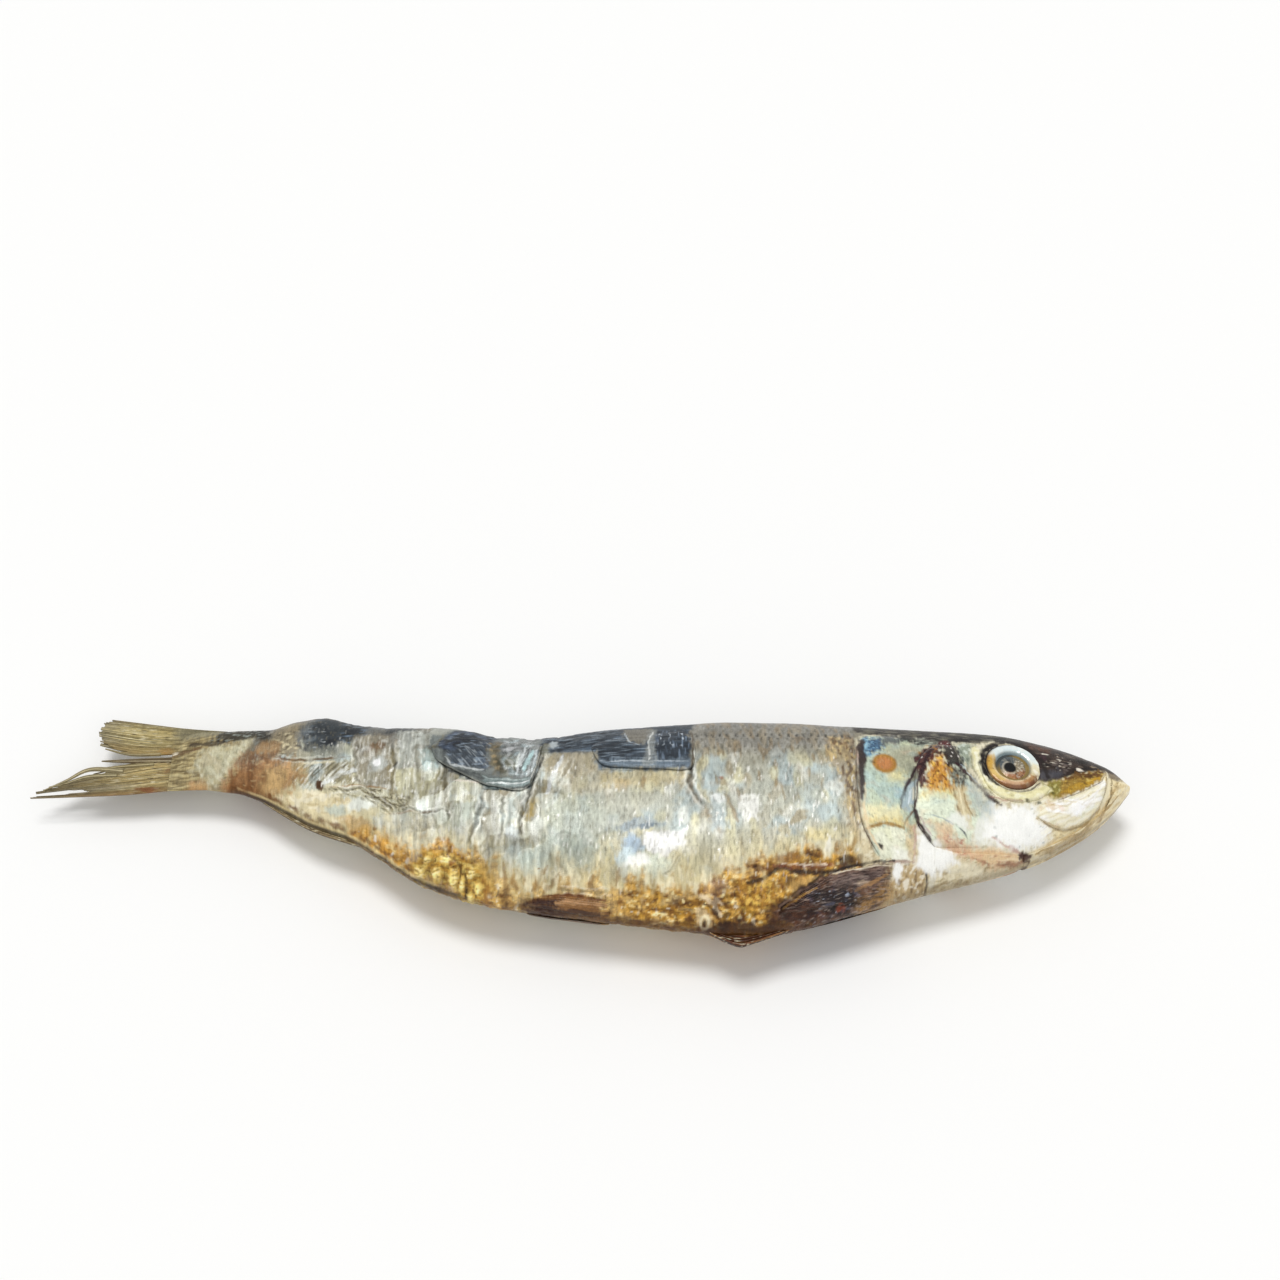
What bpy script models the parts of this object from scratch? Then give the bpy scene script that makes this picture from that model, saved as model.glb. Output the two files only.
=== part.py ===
"""A whole dried sardine, head on, lying on its left flank with its right flank up.

The fish is one solid: the trunk and head are lofted from a few stations, and the gill cover, jaws, eyes,
fins, tail and torn skin are slabs that are joined to it. Lengths are millimetres here, and metres in the
scene. +X points to the jaw, +Y to the back, +Z up. The origin is under the middle of the fish, on the
surface it lies on.
"""

import bisect
import math

import bmesh
import bpy
import numpy as np
from mathutils import Vector, noise

MM = 0.001

# The driving sizes: a fish 183 mm long, 40 mm deep and 18 mm thick, with an eye of 9 mm.
BODY_END = -69.0
JAW_TIP = 91.0
RING_STEP = 2.9
HEAD_RING_STEP = 2.2
HEAD_START = 44.0
RING_POINTS = 36
BACK_POWER = (2.3, 0.50)
BELLY_POWER = (1.9, 0.60)
UP, DOWN = 1, -1

# Each station: place along the fish, back's edge, belly's edge, half the thickness, height of the middle.
STATIONS = (
    (-69, 21.9, 9.9, 0.25, 5.9),
    (-64, 21.6, 10.0, 1.4, 6.1),
    (-58, 21.3, 9.3, 2.7, 6.4),
    (-53, 21.1, 7.4, 3.3, 6.8),
    (-48, 22.6, 4.5, 4.0, 7.1),
    (-44, 23.0, 2.0, 4.6, 7.4),
    (-38, 21.3, -0.6, 5.3, 7.8),
    (-32, 20.3, -4.7, 6.0, 8.1),
    (-26, 20.2, -9.0, 6.8, 8.3),
    (-20, 19.7, -11.7, 7.4, 8.5),
    (-14, 17.9, -13.4, 8.0, 8.6),
    (-8, 17.6, -14.4, 8.4, 8.6),
    (3, 19.0, -16.0, 8.8, 8.6),
    (15, 20.2, -17.5, 9.2, 8.6),
    (26, 20.8, -18.8, 9.4, 8.6),
    (34, 20.6, -17.7, 9.3, 8.6),
    (47, 19.8, -13.8, 8.8, 8.5),
    (55, 19.4, -11.3, 8.2, 8.4),
    (64, 19.0, -8.7, 7.6, 8.2),
    (70, 18.5, -6.7, 7.0, 8.1),
    (75, 17.4, -4.5, 6.3, 8.0),
    (80, 16.0, -1.6, 5.4, 7.8),
    (84, 14.4, 1.1, 4.5, 7.7),
    (88, 12.4, 4.6, 3.1, 7.6),
    (91, 9.4, 8.4, 1.2, 7.6),
)

EYE_CENTRE = (70.9, 9.4)
EYE_RADIUS = 4.5
EYE_HOLE = 2.6
EYE_RING_TUBE = 0.95
IRIS_RADIUS = 3.2
IRIS_HEIGHT = 1.4
IRIS_DEPTH = -0.85


def profile(column):
    """A function of x that runs smoothly through a column of the stations and doesn't overshoot."""
    xs = [float(row[0]) for row in STATIONS]
    ys = [float(row[column]) for row in STATIONS]
    slopes = [(b - a) / (d - c) for a, b, c, d in zip(ys, ys[1:], xs, xs[1:])]
    tangents = [slopes[0]]
    tangents += [2 * a * b / (a + b) if a * b > 0 else 0.0 for a, b in zip(slopes, slopes[1:])]
    tangents += [slopes[-1]]

    def value(x):
        x = min(max(x, xs[0]), xs[-1])
        k = min(bisect.bisect_right(xs, x) - 1, len(xs) - 2)
        step = xs[k + 1] - xs[k]
        t = (x - xs[k]) / step
        rise = (ys[k + 1] - ys[k]) * t * t * (3 - 2 * t)
        return ys[k] + rise + step * t * (1 - t) * (tangents[k] * (1 - t) - tangents[k + 1] * t)

    return value


back_edge = profile(1)
belly_edge = profile(2)
half_thickness = profile(3)
middle_height = profile(4)


def across(x, y):
    """Place of y between the belly's edge, -1, and the back's edge, 1."""
    back, belly = back_edge(x), belly_edge(x)
    return max(-1.0, min(1.0, (2 * y - back - belly) / (back - belly)))


def bump(distance, reach):
    """1 at no distance, falling smoothly to 0 at reach."""
    share = min(1.0, abs(distance) / reach)
    return (1 - share * share) ** 2


def grain(x, y, size, seed):
    """Smooth noise from -1 to 1 whose lumps are about size across."""
    return noise.noise(Vector((x / size, y / size, seed)))


# Vertical pleats of the drawn skin: place along the fish, middle and reach across it, height.
PLEATS = (
    (-27.5, 5.0, 11.0, 0.5),
    (-21.5, 2.0, 10.0, 0.6),
    (-17.0, -1.0, 8.0, 0.5),
    (-12.5, -1.0, 8.0, 0.6),
    (-7.0, 2.0, 10.0, 0.6),
    (20.5, 8.0, 10.0, 0.7),
)
PLEAT_HALF_WIDTH = 2.0
PLEAT_LEAN = 0.08
HOLLOW_DEPTH = 0.8
HOLLOW_MIDDLE_X = -30.0
HOLLOW_REACH_X = 42.0
LUMP_HEIGHT = 1.1
LUMP_SIZE = 4.5
UNEVEN_HEIGHT = 0.35
UNEVEN_SIZE = 7.0
CLUMP_MIDDLE = (-21.5, -8.3)
CLUMP_REACH = (8.0, 5.0)
CLUMP_HEIGHT = 1.0
SOCKET_DEPTH = 0.9
SOCKET_RIM = 1.6


def skin_relief(x, y, side):
    """Height of pleats, hollows and lumps over the plain loft, away from the fish's middle plane."""
    t = across(x, y)
    height = -HOLLOW_DEPTH * bump(x - HOLLOW_MIDDLE_X, HOLLOW_REACH_X) * bump(t - 0.1, 0.45)
    for place, middle, reach, rise in PLEATS:
        lean = PLEAT_LEAN * (middle - y)
        height += rise * bump(x - place - lean, PLEAT_HALF_WIDTH) * bump(y - middle, reach)
    belly = bump(t + 0.75, 0.6) * bump(x - 4.0, 48.0)
    height += LUMP_HEIGHT * belly * grain(x, y, LUMP_SIZE, side * 3.7)
    height += UNEVEN_HEIGHT * grain(x, y, UNEVEN_SIZE, 9.1 * side) * bump(x + 5, 60.0)
    clump = math.hypot((x - CLUMP_MIDDLE[0]) / CLUMP_REACH[0], (y - CLUMP_MIDDLE[1]) / CLUMP_REACH[1])
    height += CLUMP_HEIGHT * bump(clump, 1.0) * (0.4 + grain(x, y, 3.0, side * 5.3))
    from_eye = math.hypot(x - EYE_CENTRE[0], y - EYE_CENTRE[1])
    height -= SOCKET_DEPTH * bump(from_eye, EYE_RADIUS + SOCKET_RIM)
    return height * (1 - t**6)


def flank(x, y, side):
    """Height of the skin over the surface that the fish lies on, on the upper or the lower flank."""
    t = across(x, y)
    inner, outer = BACK_POWER if t > 0 else BELLY_POWER
    swell = half_thickness(x) * max(0.0, 1 - abs(t) ** inner) ** outer
    height = middle_height(x) + side * (swell + skin_relief(x, y, side))
    return max(0.0, height)


def curve(points, u):
    """Point at share u of a smooth curve through the given points."""
    spans = len(points) - 1
    k = min(int(u * spans), spans - 1)
    t = u * spans - k
    ends = [points[max(k - 1, 0)], points[k], points[k + 1], points[min(k + 2, spans)]]
    p0, p1, p2, p3 = (np.array(p, float) for p in ends)
    square = 2 * p0 - 5 * p1 + 4 * p2 - p3
    cube = 3 * p1 - p0 - 3 * p2 + p3
    return 0.5 * (2 * p1 + (p2 - p0) * t + square * t**2 + cube * t**3)


def between(edge_a, edge_b):
    """Plan of a sheet that runs from edge_a at v 0 to edge_b at v 1, both read along u."""

    def plan(u, v):
        a, b = curve(edge_a, u), curve(edge_b, u)
        return a + (b - a) * v

    return plan


def new_object(name, verts, faces):
    """An object from points in millimetres, with its faces turned outward."""
    mesh = bpy.data.meshes.new(name)
    mesh.from_pydata([tuple(float(c) * MM for c in p) for p in verts], [], faces)
    bm = bmesh.new()
    bm.from_mesh(mesh)
    bmesh.ops.recalc_face_normals(bm, faces=bm.faces)
    bm.to_mesh(mesh)
    bm.free()
    obj = bpy.data.objects.new(name, mesh)
    bpy.context.scene.collection.objects.link(obj)
    return obj


def slab(name, plan, top, bottom, across_u, across_v):
    """A closed sheet: plan gives its outline, and top and bottom the heights of its two faces."""
    verts = []
    for face in (top, bottom):
        for i in range(across_u + 1):
            for j in range(across_v + 1):
                u, v = i / across_u, j / across_v
                x, y = plan(u, v)
                verts.append((x, y, face(u, v, x, y)))
    row = across_v + 1
    layer = (across_u + 1) * row
    faces = []
    for i in range(across_u):
        for j in range(across_v):
            a = i * row + j
            faces.append((a, a + row, a + row + 1))
            faces.append((a, a + row + 1, a + 1))
            faces.append((layer + a, layer + a + row + 1, layer + a + row))
            faces.append((layer + a, layer + a + 1, layer + a + row + 1))
    rim = [j for j in range(row)]
    rim += [i * row + across_v for i in range(1, across_u + 1)]
    rim += [across_u * row + j for j in range(across_v - 1, -1, -1)]
    rim += [i * row for i in range(across_u - 1, 0, -1)]
    for a, b in zip(rim, rim[1:] + rim[:1]):
        faces.append((a, b, layer + b, layer + a))
    return new_object(name, verts, faces)


def softened(u, v, edge=0.22):
    """1 inside a sheet, falling to 0 at its rim."""
    near = min(u, 1 - u, v, 1 - v)
    share = min(1.0, near / edge)
    return share * (2 - share)


PLATE_SINK = 1.2
FLUSH_DEPTH = 0.25


def plate(name, edge_a, edge_b, side, rise, rim_rise, cells):
    """A sheet of bone that lies on a flank and stands rise proud of it, and rim_rise at its rim."""

    def top(u, v, x, y):
        lift = rim_rise + (rise - rim_rise) * softened(u, v)
        return max(0.0, flank(x, y, side) + side * lift)

    def bottom(u, v, x, y):
        return flank(x, y, side) - side * PLATE_SINK

    return slab(name, between(edge_a, edge_b), top, bottom, *cells)


def flap(name, free_edge, fixed_edge, side, rise, cells, ripple=0.0):
    """A sheet that stands rise proud at its free edge and runs into the flank at the other."""
    ridges = cells[1] / 2

    def top(u, v, x, y):
        ends = math.sqrt(1 - abs(2 * u - 1) ** 5)
        rim = 0.7 + 0.3 * min(1.0, v / 0.25)
        lift = rise * ends * rim * (1 - v**3) + ripple * math.cos(2 * math.pi * ridges * v)
        sunk = FLUSH_DEPTH * max(v**3, 1 - ends)
        return max(0.0, flank(x, y, side) + side * (lift - sunk))

    def bottom(u, v, x, y):
        return flank(x, y, side) - side * PLATE_SINK

    return slab(name, between(free_edge, fixed_edge), top, bottom, *cells)


def ring_stations():
    """Places of the loft's rings: closer together in the head."""
    trunk = round((HEAD_START - BODY_END) / RING_STEP)
    head = round((JAW_TIP - HEAD_START) / HEAD_RING_STEP)
    places = [BODY_END + (HEAD_START - BODY_END) * k / trunk for k in range(trunk)]
    return places + [HEAD_START + (JAW_TIP - HEAD_START) * k / head for k in range(head + 1)]


def half_ring(x, side):
    """Points of one flank from the back's edge to the belly's edge, evenly spaced along the skin."""
    fine = 90
    back, belly = back_edge(x), belly_edge(x)
    ys = [(back + belly) / 2 + (back - belly) / 2 * math.cos(math.pi * k / fine) for k in range(fine + 1)]
    zs = [flank(x, y, side) for y in ys]
    runs = [math.hypot(ys[k + 1] - ys[k], zs[k + 1] - zs[k]) for k in range(fine)]
    along = np.concatenate(([0.0], np.cumsum(runs)))
    wanted = np.linspace(0, along[-1], RING_POINTS // 2 + 1)
    return [(x, y, flank(x, y, side)) for y in np.interp(wanted, along, ys)]


def body():
    """Trunk and head, lofted through the rings, with a flat cap at each end."""
    verts, faces = [], []
    places = ring_stations()
    for x in places:
        upper, lower = half_ring(x, UP), half_ring(x, DOWN)
        verts += upper[:-1] + lower[:0:-1]
    for r in range(len(places) - 1):
        for k in range(RING_POINTS):
            a, b = r * RING_POINTS + k, r * RING_POINTS + (k + 1) % RING_POINTS
            faces.append((a, b, b + RING_POINTS, a + RING_POINTS))
    faces.append(tuple(range(RING_POINTS)))
    last = (len(places) - 1) * RING_POINTS
    faces.append(tuple(range(last, last + RING_POINTS)))
    return new_object("sardine", verts, faces)


def socket_slope(x, y, side):
    """Tilt of the eye, so that it lies along the side of the head."""
    ex, ey = EYE_CENTRE
    reach = EYE_RADIUS
    ahead = flank(ex + reach, ey, side) - flank(ex - reach, ey, side)
    above = flank(ex, ey + reach, side) - flank(ex, ey - reach, side)
    return (ahead * (x - ex) + above * (y - ey)) / (2 * reach)


def round_form(name, radius, height, base, side, hole=0.0):
    """A flattened ball, or with a hole a flattened ring, that is centred on the eye base above the skin."""
    ex, ey = EYE_CENTRE
    segments, turns = 20, 8
    tube = (radius - hole) / 2
    z = flank(ex, ey, side) + side * base
    verts, faces = [], []
    for i in range(segments):
        angle = 2 * math.pi * i / segments
        for j in range(turns):
            turn = 2 * math.pi * (j + 0.5) / turns
            out = hole + tube * (1 + math.cos(turn))
            x, y = ex + out * math.cos(angle), ey + out * math.sin(angle)
            verts.append((x, y, z + socket_slope(x, y, side) + height * math.sin(turn)))
    for i in range(segments):
        for j in range(turns):
            a, b = i * turns + j, i * turns + (j + 1) % turns
            c, d = (i + 1) % segments * turns + j, (i + 1) % segments * turns + (j + 1) % turns
            faces.append((a, b, d, c))
    return new_object(name, verts, faces)


def eye(side):
    """The swollen ring of the eye and the dried ball that has sunk within it."""
    ring = round_form("eye_ring", EYE_RADIUS, EYE_RING_TUBE, -0.05, side, hole=EYE_HOLE)
    bm = bmesh.new()
    bmesh.ops.create_uvsphere(bm, u_segments=16, v_segments=6, radius=1.0)
    ex, ey = EYE_CENTRE
    z = flank(ex, ey, side) + side * IRIS_DEPTH
    verts = []
    for v in bm.verts:
        x, y = ex + IRIS_RADIUS * v.co.x, ey + IRIS_RADIUS * v.co.y
        verts.append((x, y, z + socket_slope(x, y, side) + IRIS_HEIGHT * v.co.z))
    faces = [tuple(v.index for v in f.verts) for f in bm.faces]
    bm.free()
    return [ring, new_object("eye_ball", verts, faces)]


def head_plates(side):
    """Gill cover, its strut, shoulder plate, cheek, throat and the two jaws of one side."""
    gill_rear = [(59.2, 13.4), (56.2, 10.8), (54.6, 7.3), (53.9, 1.2), (54.3, -2.4), (57.0, -5.8)]
    gill_front = [(63.0, 13.0), (64.0, 9.5), (64.8, 6.4), (65.2, 3.0), (65.8, -1.8), (65.6, -5.2)]
    strut_rear = [(60.0, 13.0), (61.4, 9.5), (61.2, 6.4), (60.6, 3.0), (61.3, -1.4), (62.6, -4.8)]
    strut_front = [(61.4, 13.0), (63.2, 9.5), (62.9, 6.4), (61.9, 3.0), (62.6, -1.6), (63.4, -4.6)]
    shoulder_rear = [(47.4, 15.4), (45.4, 12.0), (44.8, 4.7), (45.3, -3.0), (48.2, -8.2)]
    shoulder_front = [(54.0, 14.8), (54.8, 10.0), (54.2, 4.0), (54.4, -3.2), (53.5, -8.4)]
    throat_upper = [(57.0, -5.6), (61.0, -6.0), (66.9, -5.6), (71.4, -5.2)]
    throat_lower = [(56.8, -9.0), (61.5, -8.4), (66.5, -7.0), (71.2, -5.9)]
    socket_rear = [(65.0, 9.6), (66.2, 4.8), (69.8, 2.4), (74.6, 3.2), (76.8, 5.4)]
    socket_front = [(66.0, 9.6), (67.2, 6.0), (70.2, 4.2), (73.6, 4.8), (75.4, 6.6)]
    jaw_inner = [
        (71.8, -5.2), (75.0, -3.8), (78.1, -2.2), (81.8, 0.2),
        (84.9, 2.6), (87.0, 5.4), (88.9, 9.0),
    ]
    jaw_outer = [
        (71.8, -5.7), (75.5, -4.0), (79.2, -1.9), (82.9, 0.5),
        (86.2, 3.3), (88.9, 6.2), (90.7, 8.9),
    ]
    upper_jaw_foot = [(73.7, 0.6), (77.0, -0.8), (81.0, 0.3), (84.6, 3.4), (86.4, 7.0), (87.3, 10.2)]
    upper_jaw_top = [(74.6, 2.6), (77.8, 3.9), (81.6, 5.7), (84.6, 7.8), (85.9, 9.6), (86.6, 11.2)]
    return [
        flap("gill_cover", gill_rear, gill_front, side, 0.95, (12, 4)),
        plate("gill_strut", strut_rear, strut_front, side, 0.85, 0.4, (9, 3)),
        flap("shoulder", shoulder_rear, shoulder_front, side, 0.5, (9, 4)),
        plate("throat", throat_upper, throat_lower, side, 0.55, 0.25, (7, 3)),
        plate("socket_rim", socket_rear, socket_front, side, 0.35, 0.15, (9, 3)),
        plate("lower_jaw", jaw_inner, jaw_outer, side, 0.9, 0.45, (12, 3)),
        flap("upper_jaw", upper_jaw_foot, upper_jaw_top, side, 0.85, (9, 4)),
    ]


def folded_fins(side):
    """The breast and belly fins, folded back along the flank, with their rays as ripples."""
    breast_lower = [
        (49.8, -12.4), (46.4, -13.2), (43.2, -14.2), (39.5, -15.1),
        (35.8, -15.9), (31.8, -16.6),
    ]
    breast_upper = [(50.4, -8.2), (46.0, -8.7), (41.6, -9.8), (38.2, -11.6), (35.0, -13.6), (32.0, -15.8)]
    belly_lower = [(5.0, -15.9), (1.5, -15.7), (-2.8, -15.0), (-8.4, -14.0)]
    belly_upper = [(5.4, -14.1), (1.5, -13.5), (-2.8, -13.1), (-8.6, -13.3)]
    return [
        flap("breast_fin", breast_lower, breast_upper, side, 0.8, (10, 8), ripple=0.15),
        flap("belly_fin", belly_lower, belly_upper, side, 0.7, (6, 4), ripple=0.1),
    ]


def torn_skin():
    """Patches of the dark back skin that have lifted and dried on the upper flank."""
    tail_patch_foot = [(-24.6, 13.4), (-23.6, 10.2), (-19.6, 7.2), (-13.8, 4.9), (-7.8, 4.7), (-5.6, 12.6)]
    tail_patch_top = [
        (-24.2, 14.2), (-21.8, 16.0), (-17.8, 16.8), (-13.0, 15.9),
        (-8.6, 15.2), (-5.8, 13.6),
    ]
    middle_patch_foot = [(1.8, 12.0), (3.6, 8.2), (8.0, 7.1), (13.0, 6.8), (18.2, 7.0), (18.9, 12.2)]
    middle_patch_top = [(2.0, 13.2), (4.4, 15.0), (8.2, 15.8), (12.8, 16.4), (17.0, 16.8), (18.8, 14.0)]
    return [
        flap("tail_patch", tail_patch_foot, tail_patch_top, UP, 0.75, (12, 4)),
        flap("middle_patch", middle_patch_foot, middle_patch_top, UP, 0.65, (11, 4)),
    ]


FIN_THICKNESS = 0.7
TAIL_ROOT = -64.0
TAIL_DROOP = 0.04
LOBE_PART = 0.3


def tail_height(x, y):
    """Height of the tail fin's middle, which droops a little towards its tips."""
    return middle_height(TAIL_ROOT) - TAIL_DROOP * (TAIL_ROOT - x)


def raised(height, step):
    """The same surface, step higher."""
    return lambda x, y: height(x, y) + step


def fan(name, edge_a, edge_b, height, rays, lengths, thickness=FIN_THICKNESS, rows=8):
    """A fin of rays that run along u, broken off at the shares of their full length that lengths gives."""
    per_ray = 2
    notch = 0.02
    outline = between(edge_a, edge_b)

    def plan(u, v):
        place = v * rays
        k = min(int(place), rays - 1)
        after = lengths[min(k + 1, rays - 1)]
        reach = lengths[k] + (after - lengths[k]) * (place - k)
        return outline(u * (reach - notch * abs(math.sin(math.pi * place))), v)

    def half(u, v):
        ridge = 0.75 + 0.25 * math.cos(2 * math.pi * rays * v)
        return thickness / 2 * ridge * (1 - 0.35 * u)

    def top(u, v, x, y):
        return height(x, y) + half(u, v)

    def bottom(u, v, x, y):
        return height(x, y) - half(u, v)

    return slab(name, plan, top, bottom, rows, rays * per_ray)


def strand(name, points, root_width, tip_width, height):
    """A ray or a few rays of the tail that have come loose, along a curve."""
    step = 0.02
    rows = 6

    def plan(u, v):
        along = curve(points, min(1.0, u + step)) - curve(points, max(0.0, u - step))
        aside = np.array((-along[1], along[0])) / math.hypot(*along)
        width = root_width + (tip_width - root_width) * u
        return curve(points, u) + aside * width * (v - 0.5)

    def top(u, v, x, y):
        return height(x, y) + FIN_THICKNESS * (0.45 - 0.2 * u)

    def bottom(u, v, x, y):
        return height(x, y) - FIN_THICKNESS * (0.45 - 0.2 * u)

    return slab(name, plan, top, bottom, rows, 2)


def tail_fin():
    """The forked tail: an upper lobe with its tip gone, and a lower lobe frayed into strands."""
    upper = raised(tail_height, LOBE_PART)
    lower = raised(tail_height, -LOBE_PART)
    upper_edge = [(-60.0, 21.3), (-67.0, 22.1), (-74.0, 23.3), (-81.0, 24.5)]
    upper_inner = [(-60.0, 15.6), (-67.0, 17.0), (-74.5, 17.0), (-82.5, 18.8)]
    lower_inner = [(-60.0, 16.6), (-68.0, 16.9), (-76.0, 15.7), (-90.0, 11.6)]
    lower_edge = [(-60.0, 10.2), (-68.0, 10.2), (-77.0, 9.5), (-92.0, 9.2)]
    upper_lengths = (0.97, 1.0, 1.04, 1.04, 1.03, 0.98, 0.93, 0.80)
    lower_lengths = (0.75, 0.78, 0.86, 0.95, 0.97, 0.90, 0.78, 0.84, 1.0)
    return [
        fan("upper_lobe", upper_edge, upper_inner, upper, 8, upper_lengths),
        fan("lower_lobe", lower_inner, lower_edge, lower, 9, lower_lengths),
        strand("inner_strand", [(-70.0, 17.8), (-76.0, 18.1), (-81.6, 19.5)], 1.4, 0.9, raised(upper, -0.2)),
        strand("dark_strand", [(-66.0, 16.1), (-75.0, 16.2), (-81.0, 16.3)], 1.9, 0.3, raised(lower, 0.1)),
        strand(
            "thin_strand",
            [(-77.0, 14.2), (-82.7, 14.6), (-86.4, 12.5), (-90.0, 10.6)],
            1.2,
            0.3,
            raised(lower, 0.2),
        ),
    ]


def edge_fins():
    """What stands out past the fish's outline: anal fin, folded back fin and the far breast fin's tip."""

    def under_back(x, y):
        return middle_height(x) - 1.6

    def along_belly(x, y):
        return middle_height(x) - 0.3

    anal_reach = ((-31.0, -2.0), (-38.0, 0.5), (-44.0, 0.6), (-50.0, 0.5), (-58.0, -2.0))
    anal_base = [(x, belly_edge(x) + 3.5) for x, reach in anal_reach]
    anal_rim = [(x, belly_edge(x) - reach) for x, reach in anal_reach]
    back_base = [(20.0, 19.4), (12.0, 18.6), (4.0, 17.6), (-3.0, 16.6)]
    back_rim = [(18.0, 20.9), (12.0, 20.5), (4.0, 19.7), (-6.0, 18.6)]
    tip_base = [(20.0, -17.0), (24.0, -17.0), (28.0, -17.0), (34.0, -16.2)]
    tip_rim = [(20.8, -18.2), (25.2, -20.4), (27.6, -20.0), (34.6, -17.4)]
    whole = (1,) * 6
    return [
        fan("back_fin", back_base, back_rim, under_back, 6, whole, thickness=1.6),
        fan("anal_fin", anal_base, anal_rim, along_belly, 6, whole, thickness=0.9),
        fan("far_breast_fin_tip", tip_base, tip_rim, along_belly, 6, whole, thickness=1.6),
    ]


def join(base, pieces):
    """Joins the pieces to the base as one solid."""
    parts = bpy.data.collections.new("parts")
    bpy.context.scene.collection.children.link(parts)
    for piece in pieces:
        bpy.context.scene.collection.objects.unlink(piece)
        parts.objects.link(piece)
    union = base.modifiers.new("union", "BOOLEAN")
    union.operation = "UNION"
    union.operand_type = "COLLECTION"
    union.collection = parts
    union.solver = "EXACT"
    graph = bpy.context.evaluated_depsgraph_get()
    joined = bpy.data.meshes.new_from_object(base.evaluated_get(graph))
    base.modifiers.clear()
    base.data = joined
    for piece in list(parts.objects):
        bpy.data.objects.remove(piece)
    bpy.data.collections.remove(parts)


SLIVER = 0.01


def tidy(obj):
    """Closes up the slivers that the union leaves, and sets the fish's middle over the origin."""
    bm = bmesh.new()
    bm.from_mesh(obj.data)
    bmesh.ops.remove_doubles(bm, verts=bm.verts, dist=SLIVER * MM)
    bmesh.ops.dissolve_degenerate(bm, edges=bm.edges, dist=SLIVER * MM)
    bmesh.ops.triangulate(bm, faces=bm.faces)
    low = [min(v.co[k] for v in bm.verts) for k in range(3)]
    high = [max(v.co[k] for v in bm.verts) for k in range(3)]
    shift = Vector(((low[0] + high[0]) / -2, (low[1] + high[1]) / -2, -low[2]))
    bmesh.ops.translate(bm, verts=bm.verts, vec=shift)
    bm.to_mesh(obj.data)
    bm.free()
    obj.data.shade_smooth()
    obj.data.set_sharp_from_angle(angle=math.radians(35))


def dried_skin():
    """Silver skin with a golden tinge, slightly oily."""
    material = bpy.data.materials.new("dried_skin")
    material.use_nodes = True
    shader = material.node_tree.nodes["Principled BSDF"]
    shader.inputs["Base Color"].default_value = (0.52, 0.44, 0.30, 1)
    shader.inputs["Roughness"].default_value = 0.38
    shader.inputs["Metallic"].default_value = 0.15
    return material


def main():
    for obj in list(bpy.data.objects):
        bpy.data.objects.remove(obj)
    fish = body()
    pieces = tail_fin() + edge_fins() + torn_skin()
    for side in (UP, DOWN):
        pieces += head_plates(side) + folded_fins(side) + eye(side)
    join(fish, pieces)
    tidy(fish)
    fish.data.materials.clear()
    fish.data.materials.append(dried_skin())


main()
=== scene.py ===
"""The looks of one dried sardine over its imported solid: skin, head, eyes, fins and tail, on a pale floor.

Shapes are worked out in millimetres in the fish's own plan: x runs from tail to jaw, y to the back, z up.
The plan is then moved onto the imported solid's box. Colours are written as they show on a screen.
"""
import math

import bpy
import numpy as np
from mathutils import Matrix, Vector, noise


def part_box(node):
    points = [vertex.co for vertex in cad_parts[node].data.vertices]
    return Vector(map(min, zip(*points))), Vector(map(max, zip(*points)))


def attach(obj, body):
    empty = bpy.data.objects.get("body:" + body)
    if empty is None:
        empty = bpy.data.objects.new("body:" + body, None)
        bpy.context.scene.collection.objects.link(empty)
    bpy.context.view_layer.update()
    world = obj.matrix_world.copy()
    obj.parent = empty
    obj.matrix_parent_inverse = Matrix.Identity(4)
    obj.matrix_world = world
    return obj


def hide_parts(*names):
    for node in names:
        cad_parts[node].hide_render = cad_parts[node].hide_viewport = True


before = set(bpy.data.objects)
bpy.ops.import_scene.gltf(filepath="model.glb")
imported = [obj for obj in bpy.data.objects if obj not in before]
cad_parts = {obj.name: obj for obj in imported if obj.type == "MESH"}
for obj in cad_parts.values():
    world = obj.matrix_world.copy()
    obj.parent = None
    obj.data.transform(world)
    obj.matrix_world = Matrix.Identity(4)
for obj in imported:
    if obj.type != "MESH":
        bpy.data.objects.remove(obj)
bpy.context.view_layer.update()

MM = 0.001
UP, DOWN = 1, -1
FLANK_NAMES = {UP: "right", DOWN: "left"}

# The fish's own sizes, as in the solid.
BODY_END, JAW_TIP = -69.0, 91.0
TAIL_CORNER_Y = 24.46
HEAD_SEAM = 50.0
BACK_POWER = (2.3, 0.50)
BELLY_POWER = (1.9, 0.60)
EYE_CENTRE = (70.9, 9.4)
EYE_RADIUS = 4.5

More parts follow.
